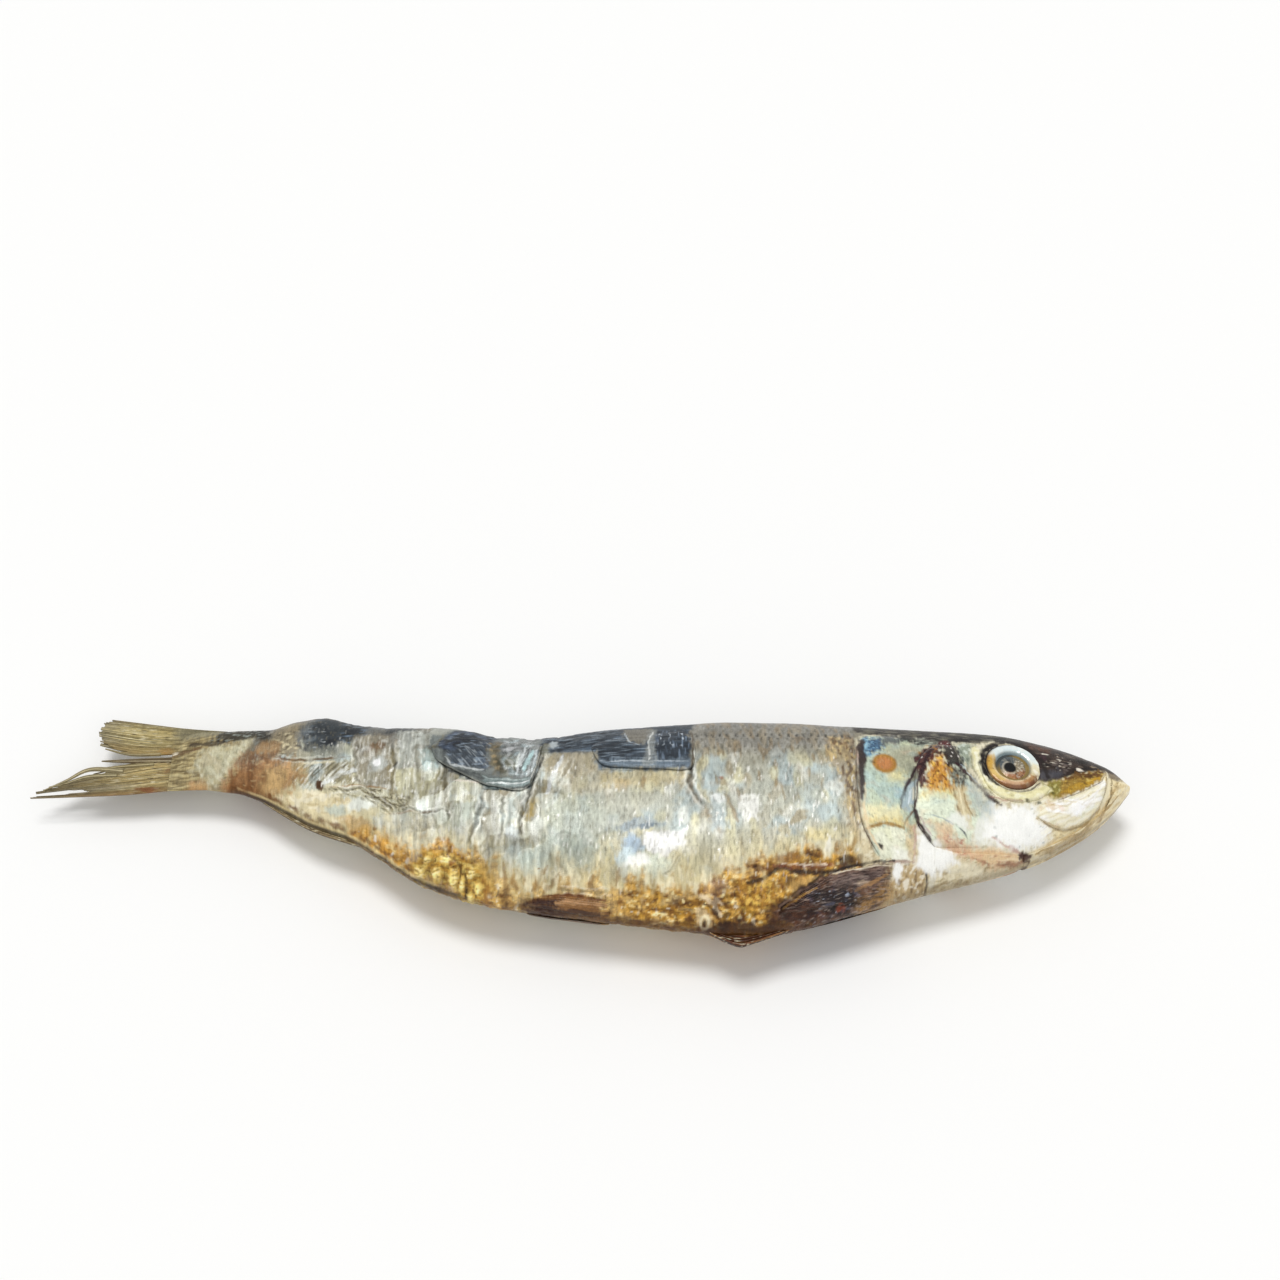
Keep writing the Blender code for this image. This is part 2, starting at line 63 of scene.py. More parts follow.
# Each station: place along the fish, edges of back and belly, half the thickness, height of the middle.
STATIONS = (
    (-69, 21.9, 9.9, 0.25, 5.9),
    (-64, 21.6, 10.0, 1.4, 6.1),
    (-58, 21.3, 9.3, 2.7, 6.4),
    (-53, 21.1, 7.4, 3.3, 6.8),
    (-48, 22.6, 4.5, 4.0, 7.1),
    (-44, 23.0, 2.0, 4.6, 7.4),
    (-38, 21.3, -0.6, 5.3, 7.8),
    (-32, 20.3, -4.7, 6.0, 8.1),
    (-26, 20.2, -9.0, 6.8, 8.3),
    (-20, 19.7, -11.7, 7.4, 8.5),
    (-14, 17.9, -13.4, 8.0, 8.6),
    (-8, 17.6, -14.4, 8.4, 8.6),
    (3, 19.0, -16.0, 8.8, 8.6),
    (15, 20.2, -17.5, 9.2, 8.6),
    (26, 20.8, -18.8, 9.4, 8.6),
    (34, 20.6, -17.7, 9.3, 8.6),
    (47, 19.8, -13.8, 8.8, 8.5),
    (55, 19.4, -11.3, 8.2, 8.4),
    (64, 19.0, -8.7, 7.6, 8.2),
    (70, 18.5, -6.7, 7.0, 8.1),
    (75, 17.4, -4.5, 6.3, 8.0),
    (80, 16.0, -1.6, 5.4, 7.8),
    (84, 14.4, 1.1, 4.5, 7.7),
    (88, 12.4, 4.6, 3.1, 7.6),
    (91, 9.4, 8.4, 1.2, 7.6),
)

solid_low, solid_high = (np.array(corner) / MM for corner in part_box("sardine"))
SHIFT = np.array((solid_high[0] - JAW_TIP, solid_high[1] - TAIL_CORNER_Y, 0.0))


def profile(column):
    """A function that gives a station column at x, by a cubic through the stations that doesn't overshoot."""
    xs = np.array([row[0] for row in STATIONS], float)
    ys = np.array([row[column] for row in STATIONS], float)
    slopes = np.diff(ys) / np.diff(xs)
    product = slopes[:-1] * slopes[1:]
    turning = product <= 0
    means = np.where(turning, 0, 2 * product / np.where(turning, 1, slopes[:-1] + slopes[1:]))
    tangents = np.concatenate(([slopes[0]], means, [slopes[-1]]))

    def value(x):
        x = np.clip(x, xs[0], xs[-1])
        k = np.clip(np.searchsorted(xs, x, side="right") - 1, 0, len(xs) - 2)
        step = xs[k + 1] - xs[k]
        t = (x - xs[k]) / step
        rise = (ys[k + 1] - ys[k]) * t * t * (3 - 2 * t)
        return ys[k] + rise + step * t * (1 - t) * (tangents[k] * (1 - t) - tangents[k + 1] * t)

    return value


back_edge, belly_edge, half_thickness, middle_height = (profile(column) for column in (1, 2, 3, 4))


def across(x, y):
    """Place of y between the belly's edge, -1, and the back's edge, 1."""
    back, belly = back_edge(x), belly_edge(x)
    return np.clip((2 * y - back - belly) / (back - belly), -1, 1)


def bump(distance, reach):
    """1 at no distance, falling smoothly to 0 at reach."""
    share = np.minimum(1.0, np.abs(distance) / reach)
    return (1 - share * share) ** 2


def step_up(value, low, high):
    """0 below low and 1 above high, smoothly; high may be the smaller one."""
    share = np.clip((value - low) / (high - low), 0, 1)
    return share * share * (3 - 2 * share)


ORDER = np.tile(np.random.default_rng(11).permutation(256), 3)
LEANS = np.random.default_rng(12).normal(size=(256, 3))
LEANS /= np.linalg.norm(LEANS, axis=1)[:, None]


def waves(p, size, seed=0.0):
    """Smooth noise of about -1 to 1 at points p, in lumps of one size or of a size for each axis."""
    q = p / np.asarray(size, float) + np.array((seed * 17.31, seed * 5.77, seed * 9.13))
    cell = np.floor(q).astype(np.int64)
    f = q - cell
    w = f * f * f * (f * (f * 6 - 15) + 10)
    cell &= 255
    total = np.zeros(len(q))
    for dx in (0, 1):
        wx = w[:, 0] if dx else 1 - w[:, 0]
        first = ORDER[cell[:, 0] + dx]
        for dy in (0, 1):
            wy = w[:, 1] if dy else 1 - w[:, 1]
            second = ORDER[first + cell[:, 1] + dy]
            for dz in (0, 1):
                wz = w[:, 2] if dz else 1 - w[:, 2]
                lean = LEANS[ORDER[second + cell[:, 2] + dz]]
                dot = (lean * (f - np.array((dx, dy, dz)))).sum(1)
                total += dot * wx * wy * wz
    return np.clip(total * 1.5, -1, 1)


def rough_waves(p, size, seed=0.0, octaves=3):
    """Noise with finer noise on it, each octave half the size and half the height."""
    size = np.asarray(size, float)
    total = sum(waves(p, size / 2**k, seed + k) / 2**k for k in range(octaves))
    return total / (2 - 2.0 ** (1 - octaves))


def ridges(p, size, seed=0.0):
    """Noise whose zero lines are sharp crests: 1 on a crest and 0 between."""
    return 1 - np.minimum(1.0, np.abs(waves(p, size, seed)) * 2.2)


# The solid's own lumps and pleats, on a grid of one-millimetre cells that is read between its points.
GRID_LOW = (-71, -22)
GRID_SIZE = (164, 48)


def solid_grain(size, seed):
    """The solid's noise as a function of x and y."""
    (low_x, low_y), (wide, tall) = GRID_LOW, GRID_SIZE
    rows = []
    for i in range(wide):
        places = [Vector(((low_x + i) / size, (low_y + j) / size, seed)) for j in range(tall)]
        rows.append([noise.noise(place) for place in places])
    table = np.array(rows)

    def value(x, y):
        a = np.clip(x - low_x, 0, wide - 1.001)
        b = np.clip(y - low_y, 0, tall - 1.001)
        i, j = a.astype(int), b.astype(int)
        a, b = a - i, b - j
        near = table[i, j] * (1 - b) + table[i, j + 1] * b
        far = table[i + 1, j] * (1 - b) + table[i + 1, j + 1] * b
        return near * (1 - a) + far * a

    return value


LUMPS = {side: solid_grain(4.5, side * 3.7) for side in (UP, DOWN)}
UNEVEN = {side: solid_grain(7.0, side * 9.1) for side in (UP, DOWN)}
CLUMPS = {side: solid_grain(3.0, side * 5.3) for side in (UP, DOWN)}

# Vertical pleats of the drawn skin: place along the fish, middle and reach across it, height.
PLEATS = (
    (-27.5, 5.0, 11.0, 0.5),
    (-21.5, 2.0, 10.0, 0.6),
    (-17.0, -1.0, 8.0, 0.5),
    (-12.5, -1.0, 8.0, 0.6),
    (-7.0, 2.0, 10.0, 0.6),
    (20.5, 8.0, 10.0, 0.7),
)


def skin_relief(x, y, side):
    """Height of pleats, hollows and lumps over the plain loft, as on the solid."""
    t = across(x, y)
    height = -0.8 * bump(x + 30.0, 42.0) * bump(t - 0.1, 0.45)
    for place, middle, reach, rise in PLEATS:
        height = height + rise * bump(x - place - 0.08 * (middle - y), 2.0) * bump(y - middle, reach)
    belly = bump(t + 0.75, 0.6) * bump(x - 4.0, 48.0)
    height = height + 1.1 * belly * LUMPS[side](x, y) + 0.35 * UNEVEN[side](x, y) * bump(x + 5, 60.0)
    clump = np.hypot((x + 21.5) / 8.0, (y + 8.3) / 5.0)
    height = height + 1.0 * bump(clump, 1.0) * (0.4 + CLUMPS[side](x, y))
    height = height - 0.9 * bump(np.hypot(x - EYE_CENTRE[0], y - EYE_CENTRE[1]), EYE_RADIUS + 1.6)
    return height * (1 - t**6)


def flank(x, y, side):
    """Height of the skin over the floor on the upper or the lower flank."""
    t = across(x, y)
    swell = np.where(
        t > 0,
        np.maximum(0, 1 - np.abs(t) ** BACK_POWER[0]) ** BACK_POWER[1],
        np.maximum(0, 1 - np.abs(t) ** BELLY_POWER[0]) ** BELLY_POWER[1],
    )
    height = middle_height(x) + side * (half_thickness(x) * swell + skin_relief(x, y, side))
    return np.maximum(0.0, height)


def route(points):
    """Smooth curve through points: a function that gives an (n, 2) array at shares u of the way along."""
    line = np.array(points, float)
    spans = len(line) - 1

    def at(u):
        u = np.asarray(u, float)
        k = np.clip((u * spans).astype(int), 0, spans - 1)
        t = (u * spans - k)[..., None]
        p0, p1 = line[np.maximum(k - 1, 0)], line[k]
        p2, p3 = line[k + 1], line[np.minimum(k + 2, spans)]
        bend = (2 * p0 - 5 * p1 + 4 * p2 - p3) * t**2 + (3 * p1 - p0 - 3 * p2 + p3) * t**3
        return 0.5 * (2 * p1 + (p2 - p0) * t + bend)

    return at


def away(x, y, points):
    """Distance of each place from a line through points, and the share along the line where it is nearest."""
    line = np.array(points, float)
    best = np.full(len(x), 1e9)
    where = np.zeros(len(x))
    for k in range(len(line) - 1):
        a, run = line[k], line[k + 1] - line[k]
        s = np.clip(((x - a[0]) * run[0] + (y - a[1]) * run[1]) / (run @ run), 0, 1)
        d = np.hypot(x - a[0] - s * run[0], y - a[1] - s * run[1])
        closer = d < best
        best = np.where(closer, d, best)
        where = np.where(closer, (k + s) / (len(line) - 1), where)
    return best, where


def srgb(code):
    """Linear red, green and blue of a screen colour such as #c0a080."""
    c = np.array([int(code[k : k + 2], 16) for k in (1, 3, 5)]) / 255
    return np.where(c <= 0.04045, c / 12.92, ((c + 0.055) / 1.055) ** 2.4)


def within(x, y, corners):
    """Signed distance from the outline through corners, more than 0 inside it."""
    line = np.array(corners + corners[:1], float)
    inside = np.zeros(len(x), bool)
    for (ax, ay), (bx, by) in zip(line[:-1], line[1:]):
        crossing = (ay > y) != (by > y)
        rise = by - ay if by != ay else 1.0
        inside ^= crossing & (x < ax + (y - ay) * (bx - ax) / rise)
    d = away(x, y, line)[0]
    return np.where(inside, d, -d)


def spread(mask, near, values):
    """Puts values back at the places that are near, over an empty mask."""
    mask[near] = values
    return mask


class Coat:
    """Colour, roughness and silver of many places on the fish, laid on in layers."""

    def __init__(self, points, side):
        self.points = points
        self.x, self.y, self.z = points.T
        self.side = np.broadcast_to(side, len(points)).astype(float)
        self.t = across(self.x, self.y)
        self.rgb = np.ones((len(points), 3))
        self.rough, self.silver = np.ones((2, len(points)))
        self.prime("#c4c0aa")
        # Places are moved about a little, so that no patch has a drawn outline. The flanks differ.
        q = points + np.outer(self.side, (0.0, 0.0, 31.0))
        self.q = q
        self.wx = self.x + 0.5 * waves(q, 2.6, 1) + 0.25 * waves(q, 0.8, 2)
        self.wy = self.y + 0.5 * waves(q, 2.6, 3) + 0.25 * waves(q, 0.8, 4)
        self.fray = 0.5 * waves(q, (0.5, 1.8, 1.8), 5) + 0.5 * waves(q, (0.3, 0.8, 0.8), 6)
        self.torn = self.fray + 0.6 * waves(q, 0.9, 8)
        self.worn = step_up(waves(q, 1.7, 9), -0.5, 0.1)

    def lay(self, mask, colour=None, rough=None, silver=None):
        """Moves colour, roughness and silver towards those given, by the share that the mask says."""
        mask = np.clip(mask, 0, 1)
        if colour is not None:
            self.rgb += mask[:, None] * (srgb(colour) - self.rgb)
        if rough is not None:
            self.rough += mask * (rough - self.rough)
        if silver is not None:
            self.silver += mask * (silver - self.silver)

    def prime(self, colour, rough=0.34, silver=0.1):
        """Covers every place with one finish."""
        self.rgb[:] = srgb(colour)
        self.rough[:] = rough
        self.silver[:] = silver

    def take(self, other, share):
        """Moves towards the finish of another coat on the same places."""
        self.rgb += share[:, None] * (other.rgb - self.rgb)
        self.rough += share * (other.rough - self.rough)
        self.silver += share * (other.silver - self.silver)

    def tint(self, factor):
        """Makes places lighter or darker by the given factor."""
        self.rgb *= factor[:, None]

    def noise(self, size, seed, where=None):
        """Noise at the places where the mask is over 0, and 0 elsewhere."""
        if where is None or np.isscalar(where):
            return waves(self.q, size, seed)
        near = where > 0.003
        return spread(np.zeros(len(self.x)), near, waves(self.q[near], size, seed))

    def close_to(self, points, margin):
        """The places in the box round the points."""
        low, high = np.min(points, axis=0) - margin, np.max(points, axis=0) + margin
        return (self.x > low[0]) & (self.x < high[0]) & (self.y > low[1]) & (self.y < high[1])

    def oval(self, middle, reach, turn=0.0, soft=0.5, ragged=0.45):
        """Mask of an oval with a frayed edge: its middle, half sizes, turn in degrees and soft share."""
        near = self.close_to((middle, middle), 2.0 * max(reach) + 2.0)
        dx, dy = self.wx[near] - middle[0], self.wy[near] - middle[1]
        c, s = math.cos(math.radians(turn)), math.sin(math.radians(turn))
        d = np.hypot((dx * c + dy * s) / reach[0], (dy * c - dx * s) / reach[1]) + ragged * self.torn[near]
        return spread(np.zeros(len(self.x)), near, step_up(d, 1 + soft / 2, 1 - soft / 2))

    def area(self, corners, soft=0.5, ragged=0.8):
        """Mask of the patch between corners, with a soft and frayed edge."""
        near = self.close_to(corners, 2.5 + soft)
        x = 0.4 * self.x[near] + 0.6 * self.wx[near]
        y = 0.4 * self.y[near] + 0.6 * self.wy[near]
        d = within(x, y, tuple(corners)) + ragged * self.torn[near]
        return spread(np.zeros(len(self.x)), near, step_up(d, -soft, soft))

    def line(self, points, width, ragged=0.7, taper=0.4, broken=0.4):
        """Mask of a line through points, thinner at its ends by taper and faded here and there."""
        near = self.close_to(points, 2.0 + width)
        x = 0.6 * self.x[near] + 0.4 * self.wx[near]
        y = 0.6 * self.y[near] + 0.4 * self.wy[near]
        d, s = away(x, y, points)
        half = width / 2 * (1 - taper * np.abs(2 * s - 1) ** 2) * (1 + ragged * self.torn[near])
        faded = 1 - broken * (1 - self.worn[near])
        return spread(np.zeros(len(self.x)), near, step_up(d, half * 1.4, half * 0.4) * faded)

    def specks(self, colour, size, seed, share, strength, where=1.0, rough=None, silver=None):
        """Uneven dots, one at most in each cell of the given size, in this share of the cells."""
        gx, gy = self.wx / size, self.wy / size
        i, j = np.floor(gx).astype(np.int64), np.floor(gy).astype(np.int64)
        lot = ORDER[(ORDER[(i + seed) & 255] + j) & 255]
        dx = gx - i - 0.5 - 0.28 * LEANS[lot, 0]
        dy = (gy - j - 0.5 - 0.28 * LEANS[lot, 1]) * (1.4 + 0.8 * LEANS[lot, 2])
        radius = 0.10 + 0.16 * (lot * 7 % 64) / 64 + 0.10 * self.torn
        there = (lot * 31 % 128) / 128 < share
        self.lay(strength * where * there * step_up(np.hypot(dx, dy), 1.3 * radius, 0.6 * radius), colour,
                 rough, silver)

    def dab(self, colour, middle, reach, strength=1.0, turn=0.0, soft=0.75, ragged=0.5, rough=None,
            silver=None):
        """Lays an oval."""
        self.lay(strength * self.oval(middle, reach, turn, soft, ragged), colour, rough, silver)

    def dabs(self, *rows):
        """Ovals: colour, middle x and y, half sizes, strength and turn."""
        for colour, x, y, wide, tall, strength, turn in rows:
            self.dab(colour, (x, y), (wide, tall), strength, turn)

    def cover(self, colour, corners, strength=1.0, soft=0.5, ragged=0.8, rough=None, silver=None):
        """Lays a patch between corners and gives its mask."""
        mask = self.area(corners, soft, ragged)
        self.lay(strength * mask, colour, rough, silver)
        return mask

    def streak(self, colour, points, width, strength=1.0, ragged=0.7, taper=0.4, broken=0.4, rough=None,
               silver=None):
        """Lays a line through points."""
        self.lay(strength * self.line(points, width, ragged, taper, broken), colour, rough, silver)

    def gradient(self, stops):
        """Colours from the belly, -1, to the back, 1, through stops of place and colour."""
        places = [place for place, colour in stops]
        colours = np.array([srgb(colour) for place, colour in stops])
        t = self.t + 0.08 * self.noise((9, 4, 4), 7) + 0.04 * self.fray
        self.rgb = np.stack([np.interp(t, places, colours[:, k]) for k in range(3)], axis=1)

    def flecks(self, colour, size, seed, cut, strength, where=1.0, rough=None, silver=None, soft=0.25):
        """Flecks where noise of the given size is over cut, only where the mask allows."""
        self.lay(strength * where * step_up(self.noise(size, seed, where), cut, cut + soft), colour, rough,
                 silver)


# These turn places so that the first axis runs down and forward along the crinkles, or up along the jaw.
TURNED = np.array(Matrix.Rotation(math.radians(-38), 3, "Z"))
JAW_TURN = np.array(Matrix.Rotation(math.radians(36), 3, "Z"))

WHITE = "#fdfdf8"

# Creases of the drawn skin: points, width and depth.
CREASES = (
    (((-51.4, 13.9), (-45.3, 12.7), (-40, 12.4)), 0.36, 0.07),
    (((-41.6, 6.6), (-35.8, 5.8), (-32.4, 3.2), (-29.8, 1.4)), 0.36, 0.12),
    (((-29.8, 1.4), (-23.9, 0.6), (-20.4, 0.2)), 0.3, 0.1),
    (((-37, 17), (-37.3, 12), (-36.4, 6.5)), 0.36, 0.1),
    (((-31.2, 15), (-30.4, 10.2), (-30.6, 4.5)), 0.4, 0.12),
    (((-22.4, 13), (-22, 7), (-21.6, 2.5)), 0.5, 0.18),
    (((-20.9, 6), (-21.4, 2), (-21, -2)), 0.36, 0.12),
    (((-20.1, 6.5), (-17.6, 6.2), (-15.6, 5.7)), 0.26, 0.1),
    (((-15.2, 4.6), (-15.8, 0.6), (-16.4, -2.2), (-18, -6)), 0.44, 0.18),
    (((-12, 3.4), (-12.2, -2.4), (-12.6, -6.4)), 0.4, 0.16),
    (((-6.5, 12.3), (-7.4, 5.4), (-9.1, -2), (-9.5, -5.1)), 0.46, 0.2),
    (((-8.8, 3), (-9.2, 0.6), (-10.2, -1.6)), 0.3, 0.1),
    (((-1, 10.2), (-2.6, 6), (-4.4, 2.2)), 0.4, 0.08),
    (((18.4, 12), (18.1, 7.5), (17.8, 4.5), (18.9, 2.1), (20.8, -1.2)), 0.5, 0.2),
    (((17.6, 5.8), (17.4, 3.2), (18.4, 0)), 0.3, 0.08),
    (((16.2, -8.5), (15.2, -10.1), (13.4, -11.6)), 0.22, 0.06),
    (((-3, -12.6), (1, -12.9), (5.4, -13.2)), 0.34, 0.1),
)
# Upper edge of the amber belly: places along the fish and heights.
AMBER_EDGE = (
    (-37, -33, -29, -25, -20, -15, -8, 0, 6, 10, 16, 20, 23, 28, 32, 36, 42, 48),
    (-1, -2.6, -4.6, -5.6, -6, -9.6, -12.8, -13.4, -12.4, -13.2, -13.2, -13.2, -11.6, -10.2, -9.2, -8.4, -8,
     -7.8),
)
# Dried folds of the clump: middle, half sizes and turn in degrees.
LOBES = (
    (-25.5, -8.3, 1.25, 0.75, -12),
    (-24.2, -7, 1.1, 0.5, -8),
    (-22.7, -9.2, 0.95, 1, 0),
    (-20.1, -9.9, 1.05, 1.25, -12),
    (-18.6, -10.8, 0.5, 1.3, 0),
    (-17, -9.7, 0.85, 0.8, 0),
    (-15.8, -11.5, 0.8, 0.8, 0),
    (-17.3, -12.4, 0.75, 0.65, 0),
    (-20.9, -7.4, 1.6, 0.85, -10),
)


def lobed(x, y, wobble):
    """Distance from the nearest fold's middle, 1 at its rim, gap to the next fold, and run along the fold."""
    first = np.full(len(x), 9.0)
    second = np.full(len(x), 9.0)
    run = np.zeros(len(x))
    for middle_x, middle_y, wide, tall, turn in LOBES:
        c, s = math.cos(math.radians(turn)), math.sin(math.radians(turn))
        u = ((x - middle_x) * c + (y - middle_y) * s) / wide
        v = (y - middle_y) * c - (x - middle_x) * s
        d = np.hypot(u, v / tall) + wobble
        second = np.minimum(second, np.maximum(first, d))
        run = np.where(d < first, v - 0.35 * u * u, run)
        first = np.minimum(first, d)
    return first, second - first, run


def scale_ticks(x, y):
    """1 on the short upright marks that the scales' free edges leave, in staggered rows, and 0 between."""
    row = y / 1.4
    k = np.floor(row)
    place = x / 1.25 + 0.5 * (k % 2)
    near = np.abs(place - np.floor(place) - 0.5) * 1.25
    return step_up(near, 0.26, 0.08) * step_up(np.abs(row - k - 0.5) * 1.4, 0.66, 0.3)


class Relief:
    """Fine height over the solid's own form, and masks that the colours share with it."""

    def __init__(self, c):
        x, y, q, wx, wy = c.x, c.y, c.q, c.wx, c.wy
        trunk = step_up(x, 47.5, 45)
        over_belly = y - np.interp(x, *AMBER_EDGE)
        self.scaled = trunk * step_up(x, -8, 2) * step_up(over_belly, 0, 4)
        self.pleated = step_up(x, -48, -38) * step_up(x, 4, -5) * step_up(over_belly, -1, 3)
        crinkled = ((-42, 6.8), (-33.5, 5.6), (-27, 3.2), (-27.4, 1.3), (-31.2, 1), (-33.2, 3), (-36.5, 4.8))
        self.crinkled = c.area(crinkled, 0.5, 0.4)
        clump = ((-27.6, -7.4), (-25, -6), (-21.5, -6.2), (-18.6, -7.6), (-16, -8.6), (-14.6, -11),
                 (-15, -13), (-17.4, -13.6), (-22, -11.8), (-25.2, -10))
        self.clump = c.area(clump, 0.5, 0.4)
        # The edge of the amber belly, with the brown tongues that run up from it.
        tongues = 2.4 * waves(q, (3, 5, 5), 43) + 2 * waves(q, (1, 3.4, 3.4), 44) + 0.9 * waves(q, 0.6, 46)
        self.over_belly = over_belly + tongues
        self.amber = trunk * step_up(x, -37, -33) * step_up(self.over_belly, 1.2, -1.6)
        self.ticks = scale_ticks(wx, wy)
        self.hairs = waves(q, (0.34, 4, 4), 31) + 0.4 * waves(q, (0.22, 1.8, 1.8), 32)
        self.folds = waves(q, (1.1, 6, 6), 34)
        height = (0.012 + 0.01 * self.pleated) * self.hairs
        height = height + (0.02 + 0.09 * self.pleated) * self.folds * trunk
        height = height + 0.1 * trunk * waves(q, (4, 3, 3), 33) - 0.02 * self.scaled * self.ticks
        # Panels of drawn skin, each at a level of its own.
        panels = waves(q, (3.6, 5, 5), 35) * 2.2 + 0.12 * waves(q, 0.9, 49)
        level = np.floor(panels)
        self.panels = level + step_up(panels - level, 0.8, 1)
        height = height + 0.12 * self.pleated * step_up(x, -32, -24) * self.panels
        self.crinkles = ridges(q @ TURNED, (2.2, 0.55, 1), 36)
        height = height + 0.25 * self.crinkled * (self.crinkles - 0.4)
        # The clump of dried folds, with fine ripples across them.
        self.lump, self.lump_gap, run = lobed(0.5 * (x + wx), 0.5 * (y + wy), 0.22 * waves(q, 0.9, 40))
        self.veins = ridges(q, (1.5, 1.2, 1.2), 41)
        self.fine_veins = ridges(q, (0.8, 0.7, 0.7), 42)
        self.creped = np.sin(9.5 * run + 3.4 * waves(q, 0.8, 38)) * step_up(waves(q, 1, 39), -0.5, 0.2)
        height = height + self.clump * (0.26 * step_up(self.lump, 1.25, 0.2) + 0.022 * self.creped - 0.1)
        self.grit = rough_waves(q, (1.5, 1.1, 1.1), 39, 4)
        height = height + self.amber * (0.28 * self.grit - 0.07 * self.veins - 0.03 * self.fine_veins)
        self.crease(c, height, trunk * (0.75 + 0.5 * waves(q, 3, 50)))
        height = height + 0.05 * (1 - trunk) * rough_waves(q, 1.6, 45, 3)
        self.height = height * step_up(x, -69, -62)

    def crease(self, c, height, vary):
        """Cuts the creases into height: each is a groove with a raised lip, as deep as vary allows."""
        self.creased = np.zeros(len(height))
        self.lipped = np.zeros(len(height))
        for points, width, depth in CREASES:
            near = c.close_to(points, 4 * width)
            d, s = away(c.wx[near], c.wy[near], points)
            fade = step_up(s, 0, 0.15) * step_up(s, 1, 0.85) * vary[near]
            height[near] += depth * fade * (0.4 * bump(d - 1.4 * width, width) - bump(d, width))
            share = min(1, depth / 0.16) * fade
            self.creased[near] = np.maximum(self.creased[near], share * bump(d, 0.8 * width))
            self.lipped[near] = np.maximum(self.lipped[near], share * bump(d - 1.3 * width, 0.6 * width))


def zones(c):
    """Masks of the flank over the belly, of the flank near the back and of its front."""
    return step_up(c.t, -0.9, -0.3), step_up(c.t, 0.35, 0.6), step_up(c.wx, 16, 22)


def paint_flank(c):
    """Grey back, silver flank and cream belly, with soft upright streaks and the marks of the scales."""
    c.gradient(
        (
            (-1, "#bba777"),
            (-0.62, "#cac09a"),
            (-0.25, "#bfbfae"),
            (0.1, "#b4b6a8"),
            (0.38, "#a9a796"),
            (0.56, "#97948a"),
            (0.74, "#8b887e"),
            (0.92, "#6c6a64"),
            (1, "#454340"),
        )
    )
    low, high, front = zones(c)
    c.flecks("#a38c60", (1.7, 5, 5), 51, 0.05, 0.4, step_up(c.t, -0.5, 0.3))
    c.flecks("#b3c6ca", (3.6, 4.6, 4.6), 54, -0.05, 0.6, low * (1 - high), soft=0.35)
    c.flecks("#d8d1a8", (2.2, 4.4, 4.4), 58, 0.08, 0.6, 1 - high, soft=0.35)
    c.flecks("#eeeee2", (2.8, 3.6, 3.6), 50, 0.15, 0.6, low * (1 - high), soft=0.4)
    c.flecks("#8d7448", (0.9, 3, 3), 52, 0.22, 0.6, front * step_up(c.t, -0.3, 0.1))
    c.lay(0.3 * high * front, "#7f7d76")


def paint_grain(c, r):
    """The upright fibres, glints and scale marks that run through all the colours of the trunk."""
    low, high, front = zones(c)
    fine = 0.2 * c.noise((0.34, 1.8, 1.8), 56) + 0.16 * c.noise((0.55, 0.9, 0.9), 66)
    c.tint(1 + 0.2 * c.noise((0.8, 4, 4), 55) + fine * (0.6 + 0.4 * high))
    # Painted highlights: near-white glints in the colour, on a glossier finish, over the lower flank.
    glints = low * (1 - 0.85 * high) * step_up(c.x, -48, -42) * step_up(c.noise(2.4, 61), -0.2, 0.3)
    c.flecks("#fbfaf2", (0.3, 1.2, 1.2), 53, 0.32, 0.7, glints, 0.24, 0.2)
    c.flecks("#6f6853", (0.3, 1.3, 1.3), 60, 0.34, 0.45, low)
    c.flecks("#5f5d54", (0.6, 0.6, 0.6), 57, 0.34, 0.35, high)
    there = step_up(c.noise((2.5, 2.5, 2.5), 48), -0.5, 0.1)
    c.lay((0.3 + 0.25 * high) * r.scaled * r.ticks * there, "#56523f")
    c.lay(0.85 * bump(c.t - 0.68, 0.07) * front * r.ticks, "#3a3934")
    c.lay(0.45 * bump(c.t - 0.52, 0.05) * front * r.ticks, "#55534a")


